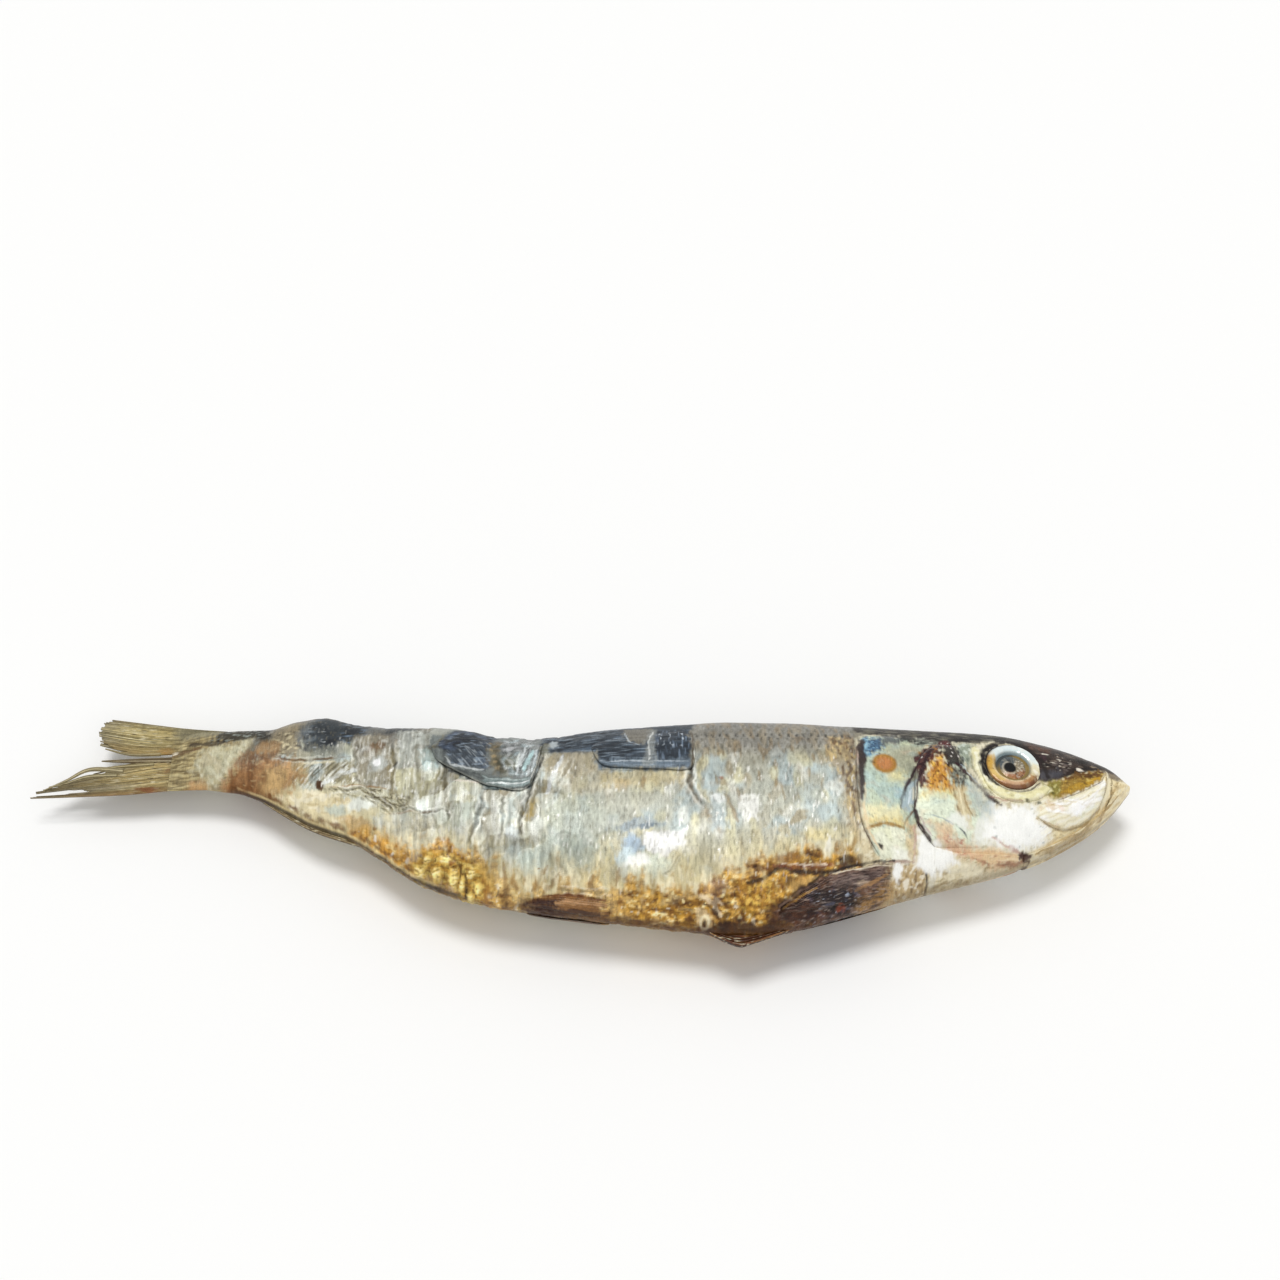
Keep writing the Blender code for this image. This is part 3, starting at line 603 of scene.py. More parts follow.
def paint_hump(c):
    """The dark hump behind the middle of the back, and the skin round it."""
    c.cover("#8d8064", ((-52.4, 13.6), (-52, 20.8), (-46, 22), (-46.4, 14)), 0.9, 0.8)
    c.flecks("#d2c6a2", (0.9, 0.6, 0.6), 163, 0.08, 0.75,
             c.area(((-52, 14.6), (-51, 19), (-47, 19), (-46.6, 14.4)), 0.8))
    c.flecks("#524832", (0.8, 0.6, 0.6), 164, 0.15, 0.7,
             c.area(((-52, 13.6), (-52, 20), (-46, 20), (-46, 13)), 0.8))
    c.cover("#595b58", ((-47.2, 19.4), (-46.6, 21.8), (-27, 20), (-27, 16), (-36.8, 17), (-46, 13.4)), 0.85,
            0.9)
    hump = c.area(((-46.4, 17.4), (-44.6, 23), (-35.6, 22), (-36, 17.2), (-38, 15.2), (-41.2, 14.2),
                   (-45.4, 15.6)), 1.5, 1.5)
    c.lay(hump, "#343a3e", 0.5, 0.1)
    # The lighter blue-grey flecks at the hump's rear (#76828a) and the pale flecks over it (#d5dbde) are
    # painted sheen and glints.
    c.flecks("#76828a", (2.4, 1, 1), 161, 0, 0.6, hump * step_up(c.x, -42.6, -45.6), 0.38, soft=0.45)
    c.flecks("#11151a", (2.4, 1.2, 1.2), 170, -0.05, 0.7, hump * step_up(c.x, -44.4, -41.6), 0.5, soft=0.4)
    c.flecks("#6f8295", (1.6, 0.5, 0.5), 162, 0.15, 0.6, hump * step_up(c.x, -41, -38.6), 0.35, soft=0.35)
    c.flecks("#d5dbde", (0.9, 0.3, 0.3), 179, 0.36, 0.6, c.oval((-44.6, 17), (2.6, 2.2)), 0.28)
    c.dabs(
        ("#7d858a", -46.5, 18.3, 1.2, 1.2, 0.35, 0),
        ("#8a8470", -37, 14.4, 1, 2, 0.6, 0),
        ("#777a70", -42, 13.8, 4.4, 1.3, 0.6, -4),
        ("#23282b", -30.4, 18.4, 2.6, 1, 0.95, 0),
        ("#b6b199", -46.6, 13.2, 1.6, 1.6, 0.7, 0),
    )


def paint_rear_panels(c, r):
    """The panels of drawn skin behind the first flap, with hair lines that they share."""
    block = c.cover("#918a78", ((-36.6, 5.8), (-37.4, 16.8), (-31.6, 16.4), (-30.8, 5.6)), 0.9, 0.5)
    c.cover("#6a5034", ((-35.4, 13.6), (-34.6, 15.2), (-32.4, 15), (-32.6, 13.2)), 0.85, 0.5)
    # The pale dab near (-33.2, 10.8) and the white one inside it are a painted glint.
    c.dabs(
        ("#5f5540", -36.2, 13.9, 0.8, 0.9, 0.7, 0),
        ("#ccd4d2", -33.2, 10.8, 1.6, 1.5, 0.6, 0),
        ("#ffffff", -33.3, 11, 0.6, 0.8, 0.8, 0),
        ("#a9a58f", -34.6, 8, 1.6, 1.4, 0.7, 0),
    )
    c.cover("#80744f", ((-31.4, 13.8), (-30, 13.4), (-29.2, 3.6), (-31, 4.4)), 0.85, 0.5)
    c.dab("#2f2d28", (-30.2, 10.2), (0.35, 0.9), 0.9)
    upper = c.cover("#9fa29a", ((-30, 9.2), (-30.6, 17.8), (-24.6, 17.8), (-22, 12.6), (-24.6, 9)), 0.9, 0.6)
    ribbed = c.cover("#b9d0d0", ((-26.6, 13), (-24.4, 13.4), (-22.2, 10.2), (-22.4, 8.8), (-25.8, 8.6)),
                     0.95, 0.4)
    cream = c.cover("#bdb998", ((-30.2, 8.8), (-22.2, 8.6), (-21.6, 2.6), (-28.9, 3.2)), 0.9, 0.5)
    # Hair lines, painted glints and grime that these panels share.
    lines = np.maximum(np.maximum(ribbed, cream), np.maximum(0.8 * upper, 0.7 * block))
    patchy = 0.35 + 0.65 * step_up(c.noise(1.8, 59), -0.3, 0.3)
    c.lay(0.5 * lines * patchy * step_up(r.hairs, 0.05, 0.45), "#eff0e6", 0.24, 0.2)
    c.lay(0.2 * lines * step_up(r.hairs, -0.1, -0.45), "#756f58")
    # Painted highlights: pale patches of shine on a glossier finish.
    shine = step_up(c.noise((1.2, 1.6, 1.6), 140, lines), 0.15, 0.55)
    c.lay(0.45 * lines * shine, "#f2f4ee", 0.22, 0.25)
    c.flecks("#6d6752", (1.4, 0.9, 0.9), 139, 0.2, 0.4, lines, soft=0.35)


def paint_foil(c):
    """Slanting marks like creased foil on the flank under the hump."""
    slashes = waves(c.q @ TURNED, (0.4, 2.4, 1), 165)
    c.cover("#a6966b", ((-49.6, 8.4), (-49, 12.4), (-44.6, 11.8), (-44, 7.6)), 0.85, 0.7)
    foil = c.cover("#8f9690", ((-44.8, 8.2), (-44.4, 11.6), (-42.6, 11.6), (-42.4, 8)), 0.85, 0.4)
    tan = c.cover("#8d8362", ((-42.4, 8), (-42.4, 12), (-37.2, 12), (-36.6, 6.2)), 0.8, 0.6)
    marks = np.maximum(foil, 0.7 * np.maximum(tan, c.area(((-49, 8), (-48, 12), (-44, 12), (-44, 7)), 0.7)))
    c.lay(0.9 * marks * step_up(slashes, 0.1, 0.4), "#eceee4", 0.24, 0.2)
    c.lay(0.8 * marks * step_up(slashes, -0.1, -0.45), "#4c4733")
    c.streak("#e4e8e6", ((-42, 7.4), (-39.6, 9.2), (-37, 9.8)), 1.2, 0.75, ragged=1.4, broken=0.9)
    c.streak("#6b4d2a", ((-51.4, 13.9), (-45.3, 12.7), (-38, 12.6)), 0.45, 0.8, broken=0.8)
    c.streak("#d8ceaa", ((-46, 12.1), (-40.4, 11.9)), 0.5, 0.75, ragged=0.9)


def paint_rear_flank(c, r):
    """The pale flank under the panels, with its foil-like crinkles and a silver patch."""
    pale = ((-50.4, 7), (-45.7, 7), (-41.6, 6.2), (-36.6, 4.2), (-35.4, 1.2), (-40, 1.2), (-46, 3.8))
    belly = c.cover("#e3d6ae", pale, 0.95, 0.6, rough=0.4, silver=0)
    c.flecks("#f1e9ce", (1.8, 1.2, 1.2), 166, 0, 0.7, belly)
    c.flecks("#c3b083", (1.6, 0.8, 0.8), 169, 0.15, 0.6, belly)
    c.dabs(
        ("#c6cdbe", -39.6, 3.2, 2, 1, 0.9, -14),
        ("#eef3ea", -35.4, 3.4, 2.6, 1, 0.8, -8),
        ("#aab29c", -31.4, 2.6, 1.2, 0.9, 0.6, 0),
        ("#b8935a", -36.6, 0.8, 3, 0.9, 0.6, -20),
        ("#dcb163", -35.2, -0.8, 1.2, 0.8, 0.8, 0),
        ("#6a4a22", -33, -0.6, 0.5, 0.4, 0.9, 0),
    )
    c.lay(0.9 * r.crinkled, "#aaa384")
    c.lay(0.85 * r.crinkled * step_up(r.crinkles, 0.55, 0.85), "#443c26", 0.5)
    c.lay(0.7 * r.crinkled * step_up(r.crinkles, 0.35, 0.1), "#d9d7bf", 0.25, 0.2)
    c.streak("#8e6326", ((-41.2, 6.9), (-36, 6.6), (-31.4, 5.4)), 0.45, 0.6, broken=0.8)
    c.streak("#85591f", ((-31, 1), (-26, 0.6), (-21.4, 0.4)), 0.5, 0.7, broken=0.6)
    c.dab("#4b3014", (-42.7, 7.4), (0.75, 0.7), 1, soft=0.4)
    silver = c.cover("#c4c6b8", ((-33.4, 0.8), (-22, 0.2), (-20.6, -6.2), (-27.6, -5.4)), 0.85, 0.8)
    c.flecks("#e9ebdf", (0.9, 2.4, 2.4), 167, 0, 0.75, silver, 0.28, 0.15)
    c.flecks("#8f9695", (0.8, 1.8, 1.8), 168, 0.12, 0.7, silver)
    c.dabs(("#4f585c", -26.2, -3.4, 0.45, 0.7, 0.85, 0), ("#dde4d2", -22, -2.4, 1.4, 3, 0.8, 0))


def paint_pleats(c, r):
    """Panels, hair lines and folds of the skin under the first flap, where it has drawn together."""
    c.dabs(
        ("#b9b083", -19, 4.6, 1.9, 1.8, 0.9, 0),
        ("#93865f", -21.6, 3.4, 0.7, 3.2, 0.85, 4),
        ("#cfd8c6", -18.8, 0, 1.8, 3, 0.8, 0),
        ("#c8b981", -18.4, 2.4, 1.6, 0.8, 0.7, 0),
        ("#96886b", -14, 2.6, 1.4, 1.6, 0.9, 0),
        ("#b1a68c", -14.2, -2.2, 1.4, 2.6, 0.85, 0),
        ("#8d816a", -11.4, 3, 1.6, 1, 0.8, 0),
        ("#b6c0bc", -10.8, -0.4, 0.9, 2, 0.85, 0),
        ("#e9f0f0", -10.6, -4.2, 1, 1.2, 0.95, 0),
        ("#c9ae67", -7.6, -0.4, 1.1, 2, 0.95, -10),
        ("#877a4e", -8.6, -3.4, 0.9, 1, 0.8, 40),
        ("#9a8a60", -5, 4.4, 0.9, 3.6, 0.7, -6),
        ("#8a8d7c", -14.4, -6.6, 1.6, 1.4, 0.6, 0),
        ("#dcebe8", -10.2, -7.6, 1.4, 1.7, 0.9, 0),
        ("#c3d4c8", -7.2, -8.8, 2.6, 1.4, 0.8, 0),
        ("#dfe5d0", -18.6, -5.4, 1.6, 2, 0.8, -30),
    )
    odd = np.sin(2.4 * r.panels + 0.8)
    low = r.pleated * step_up(c.x, -30, -24)
    c.lay(0.4 * low * step_up(odd, 0.1, 0.8), "#dfe5da", 0.26, 0.2)
    c.lay(0.3 * low * step_up(odd, -0.2, -0.8), "#99906f")
    c.lay(0.35 * low * step_up(r.hairs, 0.12, 0.5), "#f2f2e6", 0.25, 0.2)
    c.lay(0.16 * low * step_up(r.hairs, -0.12, -0.5), "#776f55")
    # Painted shade in the troughs of the folds and painted highlights on their crests.
    c.lay(0.4 * low * step_up(r.folds, -0.1, -0.5), "#857c5f")
    c.lay(0.5 * low * step_up(r.folds, 0.15, 0.5), "#f2f4ec", 0.25, 0.2)


def paint_middle(c):
    """White gloss, blue gleams and tan stains of the middle and the front of the flank."""
    c.dabs(
        ("#a2977c", -1, 8.6, 5.6, 2.6, 0.7, 0),
        ("#b3a98d", 2.4, 5, 5, 2.4, 0.5, 0),
        ("#aab0a2", 0.6, -2, 6.5, 4, 0.7, 0),
        ("#b4beb2", -2, -7.6, 6, 2.4, 0.7, 0),
        ("#c4b68c", 10.4, 5.2, 6.8, 1.5, 0.7, 0),
        ("#b39768", 7, 3.8, 1.4, 1.2, 0.35, 0),
        ("#8a6d42", 10.5, 4.4, 0.35, 1.2, 0.6, 0),
        ("#bfbfae", 10, 0.6, 6.4, 2, 0.7, 0),
        ("#8fa0ad", 9.4, -3.4, 4, 0.8, 0.7, 6),
        ("#6f7d88", 10.9, -3.6, 1.8, 0.4, 0.8, 10),
        ("#b4cade", 8.6, -6.4, 1.7, 1.6, 0.8, 0),
        ("#cfdfe2", 7.6, -9.2, 1.6, 2.4, 0.85, 0),
        ("#d8e0cf", 11.6, -10, 3.4, 2.2, 0.85, 0),
        ("#c8c3a0", 17.2, -10.4, 2.2, 2.2, 0.6, 0),
    )
    # Painted highlights: near-white patches of gloss on the lower flank, on a glossier finish.
    c.cover(WHITE, ((10.6, -4.6), (17, -4.4), (16.8, -7), (13.4, -8.6), (10.4, -7)), 1, 0.35, 0.6, 0.3, 0)
    c.cover(WHITE, ((8.4, -8.4), (10.6, -7.6), (11.4, -9.6), (8.8, -10.4), (7.4, -9.8)), 0.85, 0.5, 0.5,
            0.3, 0)
    c.streak("#e6eaea", ((-2.6, 10.4), (-4, 6.6), (-5.2, 2.8)), 0.9, 0.9, ragged=0.7, rough=0.25)
    c.streak("#94794f", ((18, 5.6), (18, 3), (19.8, -0.4), (22.6, -4.6)), 1.4, 0.55, ragged=1, broken=0.6)
    c.streak("#d8cb9b", ((19.3, 6), (19.4, 3.2), (21, 0.4)), 1.1, 0.6, ragged=1)
    c.streak("#876d45", ((23.2, 3), (24.6, -0.6), (25.4, -3.1)), 0.8, 0.65, ragged=1, broken=0.7)
    c.cover("#b6c6ca", ((21, 1.6), (23.6, 2.2), (24, -4), (21.4, -4.6)), 0.65, 0.8)
    c.cover("#fafaf2", ((25.6, 1.5), (28.8, 1.5), (28.8, -2.6), (26.2, -2.8)), 0.9, 0.5, 0.9, 0.3, 0)
    c.dabs(
        ("#e8eae6", 22.6, 1, 0.9, 0.8, 0.8, 0),
        ("#94634a", 23, 4.9, 0.5, 0.35, 0.7, 0),
        ("#b2bdba", 37.4, 0.8, 2.4, 3.2, 0.6, 0),
        ("#a8b1ae", 35.2, -3, 1.6, 2, 0.5, 0),
        ("#957f4d", 35, -2.4, 1.9, 0.7, 0.6, 35),
        ("#c9b37d", 32.8, -4.4, 1.2, 0.9, 0.5, 0),
        ("#d2c58f", 38.6, -5.2, 2.2, 1, 0.8, 0),
        ("#f4f4ee", 39.6, -7, 0.5, 2, 0.9, -10),
        ("#e8e0c4", 37.2, -8.8, 1.6, 0.6, 0.9, 0),
        ("#b9ad8c", 30.4, -5.6, 2.2, 2, 0.5, 0),
    )
    tan = c.area(((40.6, 14.4), (45, 14.8), (45.4, -6.6), (43.6, -6.6), (42.6, 4), (40.4, 9)), 0.9, 0.7)
    c.lay(0.6 * tan, "#a3875a", 0.36)
    c.flecks("#5b3d1e", (0.7, 1.3, 1.3), 171, 0.08, 0.7, tan)
    c.flecks("#d3bc88", (0.6, 1.2, 1.2), 172, 0.12, 0.7, tan)


def paint_tail_root(c):
    """Rays that run on from the tail, and the pale V of bare flesh before them."""
    root = step_up(c.wx, -54.5, -58)
    rays = c.noise((5, 0.32, 0.6), 151, root)
    c.lay(root, "#a08f66", 0.4, 0)
    c.lay(0.5 * root * step_up(rays, 0.05, 0.4), "#c6b88c")
    c.lay(0.6 * root * step_up(rays, -0.05, -0.4), "#6b5a3c")
    wrist = step_up(c.wx, -60.5, -65.5)
    c.lay(0.75 * wrist, "#95855a")
    fan_lines = np.sin(46 * np.arctan2(c.wy - 14.6, 96 + c.wx) * 4 + 2 * c.noise((6, 1, 1), 155, wrist))
    c.lay(0.45 * wrist * step_up(fan_lines, 0.1, 0.9), "#bfb081", 0.35)
    c.lay(0.45 * wrist * step_up(fan_lines, -0.2, -0.9), "#5c4e2c")
    c.flecks("#c3b588", (5, 0.4, 0.6), 146, 0.1, 0.6, wrist)
    c.flecks("#5a4a2a", (5, 0.4, 0.6), 147, 0.1, 0.6, wrist)
    c.cover("#8e8a72", ((-70, 19.6), (-70, 23), (-58, 22), (-58, 19.8)), 0.7, 0.9)
    c.cover("#b98f60", ((-66.6, 9), (-65, 11), (-62.4, 11.2), (-60.6, 9.2)), 0.7, 0.8)
    flesh = ((-64.8, 14), (-63.8, 16.4), (-61.5, 17.4), (-58.6, 17), (-55.2, 18.9), (-56.7, 14.4),
             (-58.4, 12.4), (-60.6, 9.8))
    pale = c.cover("#c4c0a2", flesh + ((-62, 10.4), (-62.8, 11.8)), 0.95, 1.3, 1.5, 0.42, 0)
    grain = waves(c.q @ JAW_TURN, (0.5, 2.4, 1), 153)
    c.lay(0.45 * pale * step_up(grain, 0.05, 0.45), "#dedbc2")
    c.lay(0.45 * pale * step_up(grain, -0.1, -0.5), "#97906c")
    c.flecks("#b3a684", (2.2, 1.4, 1.4), 152, 0.1, 0.5, pale)
    c.streak("#3d3122", ((-66, 18.4), (-62.4, 18), (-59.4, 18.2)), 1, 0.85, ragged=1)
    c.streak("#5f4429", ((-71.4, 16.1), (-68, 16.9), (-64, 17.6)), 0.8, 0.75, ragged=1)
    # A painted glint: two near-white dabs at the notch between the lobes.
    c.dabs(("#f6f1e4", -70, 16.7, 0.8, 0.35, 0.95, 12), ("#efe6d0", -68.4, 17.1, 0.4, 0.25, 0.9, 0))
    band = ((-62.5, 18.6), (-61, 20.8), (-52.6, 22), (-52.4, 17.2), (-55, 18.6), (-58.6, 18))
    dark = c.cover("#1e1c19", band, 0.9, 0.6, 0.9, 0.5)
    c.flecks("#8d948c", (0.9, 0.4, 0.4), 176, 0.22, 0.7, dark, 0.3)
    c.cover("#50442f", ((-56.4, 14.6), (-54.8, 18.4), (-52.6, 17.2), (-52.4, 14.2)), 0.75, 0.8)
    c.cover("#2c2720", ((-54, 16.8), (-53.8, 20), (-52.2, 20.4), (-52.2, 16.8)), 0.7, 0.6)


def paint_rust(c):
    """The rust-coloured patch between the tail's root and the pale flank."""
    edge = ((-59.8, 9.4), (-58, 12.2), (-56.6, 14.4), (-51.4, 14), (-47.8, 12.4), (-46.6, 9.6),
            (-49.6, 7.6), (-54, 6.6))
    rust = c.cover("#8e6238", edge, 0.95, 1.7, 1.6, 0.34, 0)
    c.cover("#c0a06c", ((-53, 8), (-52.4, 12), (-48, 12.4), (-45.6, 9.4), (-50, 7.2)), 0.85, 1.8, 1.4)
    c.flecks("#bd9064", (2, 3.4, 3.4), 156, -0.15, 0.55, rust, soft=0.6)
    c.flecks("#67401f", (1.6, 3.4, 3.4), 157, -0.05, 0.6, rust, soft=0.55)
    c.tint(1 + 0.3 * rust * c.noise((0.5, 1.2, 1.2), 154, rust))
    c.cover("#6b4e33", ((-57.2, 13.4), (-56, 15.6), (-50.4, 14.8), (-51, 13.4)), 0.8, 0.7)
    c.cover("#98774f", ((-54.8, 15.2), (-53.6, 17.4), (-50.4, 17), (-50, 15)), 0.75, 0.8)
    c.cover("#61380f", ((-59.6, 8.6), (-57, 10), (-52.6, 8.2), (-50, 6.6), (-54, 6)), 0.75, 0.8)
    c.flecks("#dfc08c", (0.9, 0.6, 0.6), 158, 0.3, 0.3, rust, 0.25)
    c.flecks("#4b2c12", (0.9, 0.6, 0.6), 159, 0.3, 0.3, rust)


def paint_amber(c, r):
    """Brown tongues over an amber belly of lumps and cracks."""
    near = step_up(r.over_belly, 6, 0.5) * step_up(c.x, -35, -30) * step_up(c.x, 48, 45)
    middle = step_up(c.x, -19, -13) * step_up(c.x, 12, 4)
    c.lay(0.5 * near, "#ddcc9b", 0.36, 0)
    c.flecks("#a9864a", (1, 2.8, 2.8), 62, 0.15, 0.7, step_up(r.over_belly, 4.5, 0.5) * near)
    c.flecks("#f0e7c4", (0.9, 2.2, 2.2), 69, 0.12, 0.7, near)
    amber = r.amber
    front = step_up(c.x, 12, 26)
    c.lay(amber, "#d09c42", 0.34, 0)
    c.flecks("#aa762a", (3, 2, 2), 63, 0, 0.8, amber)
    c.lay(0.5 * amber * middle, "#d8b87c")
    # The lumps of the grit, which also raise the relief: brighter where it rises, with a painted highlight on
    # the highest tops (#fde6ab), and darker brown where it sinks, the amber's own brown with painted shade of
    # the hollows.
    c.lay(amber * step_up(r.grit, -0.02, 0.2), "#e9bb60", 0.3)
    c.lay(amber * step_up(r.grit, 0.16, 0.36), "#fde6ab", 0.24)
    c.lay(0.85 * amber * step_up(r.grit, -0.08, -0.34), "#7f501b", 0.4)
    c.lay(0.6 * amber * front * step_up(r.grit, -0.02, -0.3), "#4e2b0e", 0.4)
    c.lay(0.6 * amber * step_up(r.veins, 0.75, 0.97) * step_up(c.noise(2, 73), -0.3, 0.2), "#452a0f", 0.5)
    c.lay(0.4 * amber * step_up(r.fine_veins, 0.72, 0.97), "#6b4216", 0.5)
    # Painted glints: pale specks on a glossier finish.
    c.specks("#fff6dc", 1.5, 68, 0.22, 0.8, amber, 0.2)
    c.specks("#fff6dc", 0.9, 21, 0.08, 0.7, amber, 0.2)
    c.lay(0.5 * amber * middle * step_up(c.x, 9, 3) * step_up(r.over_belly, -3.4, -0.6), "#c9ba8c")
    strokes = (
        ((-12, -8.5), (-11.5, -10.8), (-11, -12.9)),
        ((-13.2, -11), (-13.9, -12.8)),
        ((-10.3, -10.6), (-9.8, -12.2)),
        ((-4.8, -9.4), (-5.7, -10.8), (-7.4, -12.6)),
        ((-2.8, -10.2), (-4.1, -12), (-5.7, -12.8)),
        ((-12.5, -13.3), (-11, -13.8), (-9, -13.8)),
        ((-0.6, -10.8), (-1.8, -12.4)),
        ((2.4, -10.6), (1.6, -12.6)),
        ((6.6, -9.8), (6, -12.2)),
    )
    for points in strokes:
        c.streak("#8f6a34", points, 0.8, 0.6, ragged=1.3, taper=0.6, broken=0.7)
    golden = amber * step_up(c.x, 5, 10)
    c.flecks("#e2ad40", (2, 1.8, 1.8), 145, -0.1, 0.55, golden, 0.3, soft=0.4)
    # Painted highlights: the pale flecks (#f3dca0, #ffedb0), on a glossier finish.
    c.flecks("#f3dca0", (2.6, 1.6, 1.6), 141, 0.2, 0.5, golden * step_up(c.x, 26, 18), 0.28, soft=0.35)
    c.flecks("#5e3412", (3, 1.4, 1.4), 142, 0.1, 0.6, golden, 0.4, soft=0.3)
    c.flecks("#ffedb0", (0.8, 0.6, 0.6), 144, 0.34, 0.8, golden, 0.24)
    c.flecks("#5e320e", (1, 0.6, 0.6), 143, 0.22, 0.65, golden, 0.4)


def paint_belly_front(c, r):
    """The dark front of the belly, with its gold and brown patches, and the vent."""
    dark = step_up(c.x, 12, 26) * r.amber
    c.flecks("#6b3f17", (3.4, 2, 2), 67, 0.1, 0.6, dark, 0.4, soft=0.4)
    c.flecks("#2f1709", (2, 1.2, 1.2), 70, 0.2, 0.7, dark, 0.45)
    c.cover("#97755c", ((19, -12.8), (22.6, -11.6), (24.6, -13.4), (21.6, -14.6)), 0.6, 0.8)
    gold = c.cover("#b98429", ((25, -12.8), (31, -12.2), (31.4, -15.4), (25.8, -16.2)), 0.8, 0.8)
    c.flecks("#eec45f", (0.9, 0.7, 0.7), 71, 0, 0.85, gold, 0.26)
    c.flecks("#6b430f", (0.7, 0.6, 0.6), 72, 0.15, 0.75, gold)
    c.cover("#4e2a13", ((30.6, -15), (32.4, -15.6), (37.6, -17.4), (30, -18.6)), 0.85, 0.7)
    c.cover("#d3a962", ((33, -12.6), (35.4, -11.6), (37.6, -11.6), (34, -14.4)), 0.8, 0.6)
    c.streak("#2a150b", ((27, -12.6), (29, -11.9), (32.1, -10.4), (35.1, -11), (38.9, -10.7), (43, -9.6)),
             0.7, 0.85)
    c.streak("#7b3f2a", ((31, -10.2), (34.4, -10.2), (38.6, -9.8), (42.4, -9.2)), 0.8, 0.75, broken=0.8)
    c.streak("#efdcc4", ((32.4, -9.9), (36, -9.8), (39.4, -9.6)), 0.35, 0.8, broken=0.9)
    c.dabs(
        ("#9a6c34", 33.4, -9, 2.2, 0.8, 0.7, 10),
        ("#2a160b", 42.6, -9, 1.8, 0.7, 0.85, 10),
        ("#6e4f22", 45.4, -8.4, 1.2, 0.7, 0.75, 0),
        ("#3a1f10", 24, -18.2, 8, 0.6, 0.9, 1),
    )
    c.cover("#dfc494", ((18.8, -15.8), (20.6, -15.9), (21.4, -17.2), (20.8, -18), (19, -17.4)), 0.8, 0.4, 0.6)
    c.streak("#e8d2ae", ((19.4, -14.2), (21.4, -15.4), (22.6, -16.8)), 0.8, 0.8, ragged=1)
    c.streak("#e8d2ae", ((21, -14.3), (22.8, -15.4)), 0.5, 0.7, ragged=1)
    c.streak("#40240f", ((20, -15.3), (21.6, -16.2), (22.4, -17.2)), 0.4, 0.9)
    vent = np.hypot(c.x - 20.1, (c.y + 17.4) / 0.9) + 0.2 * c.torn
    c.lay(0.8 * bump(vent - 0.65, 0.35), "#f2e6c0", 0.26)
    c.lay(bump(vent, 0.5), "#1f140a")


def paint_clump(c, r):
    """The orange patch and the clump of dried folds at the rear of the belly."""
    orange = ((-37, -0.4), (-32, -1.8), (-28, -5.4), (-27.2, -8.6), (-30, -9.2), (-34.5, -5))
    gilt = c.cover("#dda549", orange, 0.95, 1.5, 1.4, 0.3, 0)
    # The cream flecks (#f7dc9a) and the white specks (#fffaea) are painted highlights on a glossier finish.
    c.flecks("#f7dc9a", (1.4, 1, 1), 174, 0, 0.85, gilt, 0.26)
    c.flecks("#8c5a22", (1.4, 1, 1), 173, 0.18, 0.75, gilt)
    c.specks("#fffaea", 1.4, 31, 0.35, 0.9, gilt, 0.22)
    c.cover("#d6ad55", ((-16.8, -8.2), (-14.6, -8.8), (-13.2, -11.6), (-15.8, -13.6), (-17.6, -12.6)), 0.75,
            0.7)
    c.lay(r.clump, "#cf9f42", 0.3, 0)
    c.flecks("#eccd72", (1, 0.7, 0.7), 177, -0.1, 0.8, r.clump, 0.28)
    c.flecks("#8c6420", (0.7, 0.45, 0.45), 178, 0.12, 0.65, r.clump)
    # Painted light and shade of the folds: lighter towards each fold's middle, painted highlights on the
    # ripples' crests, and painted shade in their troughs and in the thin gaps between the folds.
    c.lay(0.75 * r.clump * step_up(r.lump, 1.2, 0.5), "#eacd74", 0.28)
    c.lay(0.45 * r.clump * step_up(r.lump, 0.7, 0.2), "#f8eaa6", 0.26)
    c.lay(0.45 * r.clump * step_up(r.creped, 0.3, 0.9) * step_up(r.lump, 1, 0.6), "#fdf3c8", 0.22)
    c.lay(0.65 * r.clump * step_up(r.creped, -0.5, -0.9) * step_up(r.lump, 1.2, 0.8), "#7c5a1e")
    thin = 0.1 + 0.12 * step_up(c.noise(1.8, 64), -0.4, 0.4)
    c.lay(0.85 * r.clump * step_up(r.lump_gap, thin + 0.08, 0.02) * step_up(r.lump, 1.5, 1.2), "#4b340f", 0.4)
    c.cover("#ac9078", ((-24.6, -9.3), (-21.7, -10.4), (-19.3, -11.5), (-19.3, -12.1), (-22.1, -11.2),
                        (-24.8, -10)), 0.7, 0.4)
    c.cover("#a08a74", ((-27, -6.4), (-26, -6), (-25.2, -6.4), (-25.8, -6.9)), 0.8, 0.4)
    c.cover("#9a6424", ((-15.1, -10.4), (-14.2, -11.6), (-14, -13.4), (-15.6, -13.2), (-14.9, -12.1)), 0.75,
            0.6)
    c.dab("#85511a", (-20, -8), (0.5, 0.4), 0.85)
    c.streak("#5b3a10", ((-21, -6.6), (-19.4, -7.6), (-18.7, -8.9), (-18.5, -9.7)), 0.45, 0.85, ragged=1)
    c.streak("#3a270d", ((-18.3, -9.3), (-17.8, -10.3), (-17.9, -11.8), (-18.2, -12.2)), 0.45, 0.85, ragged=1)


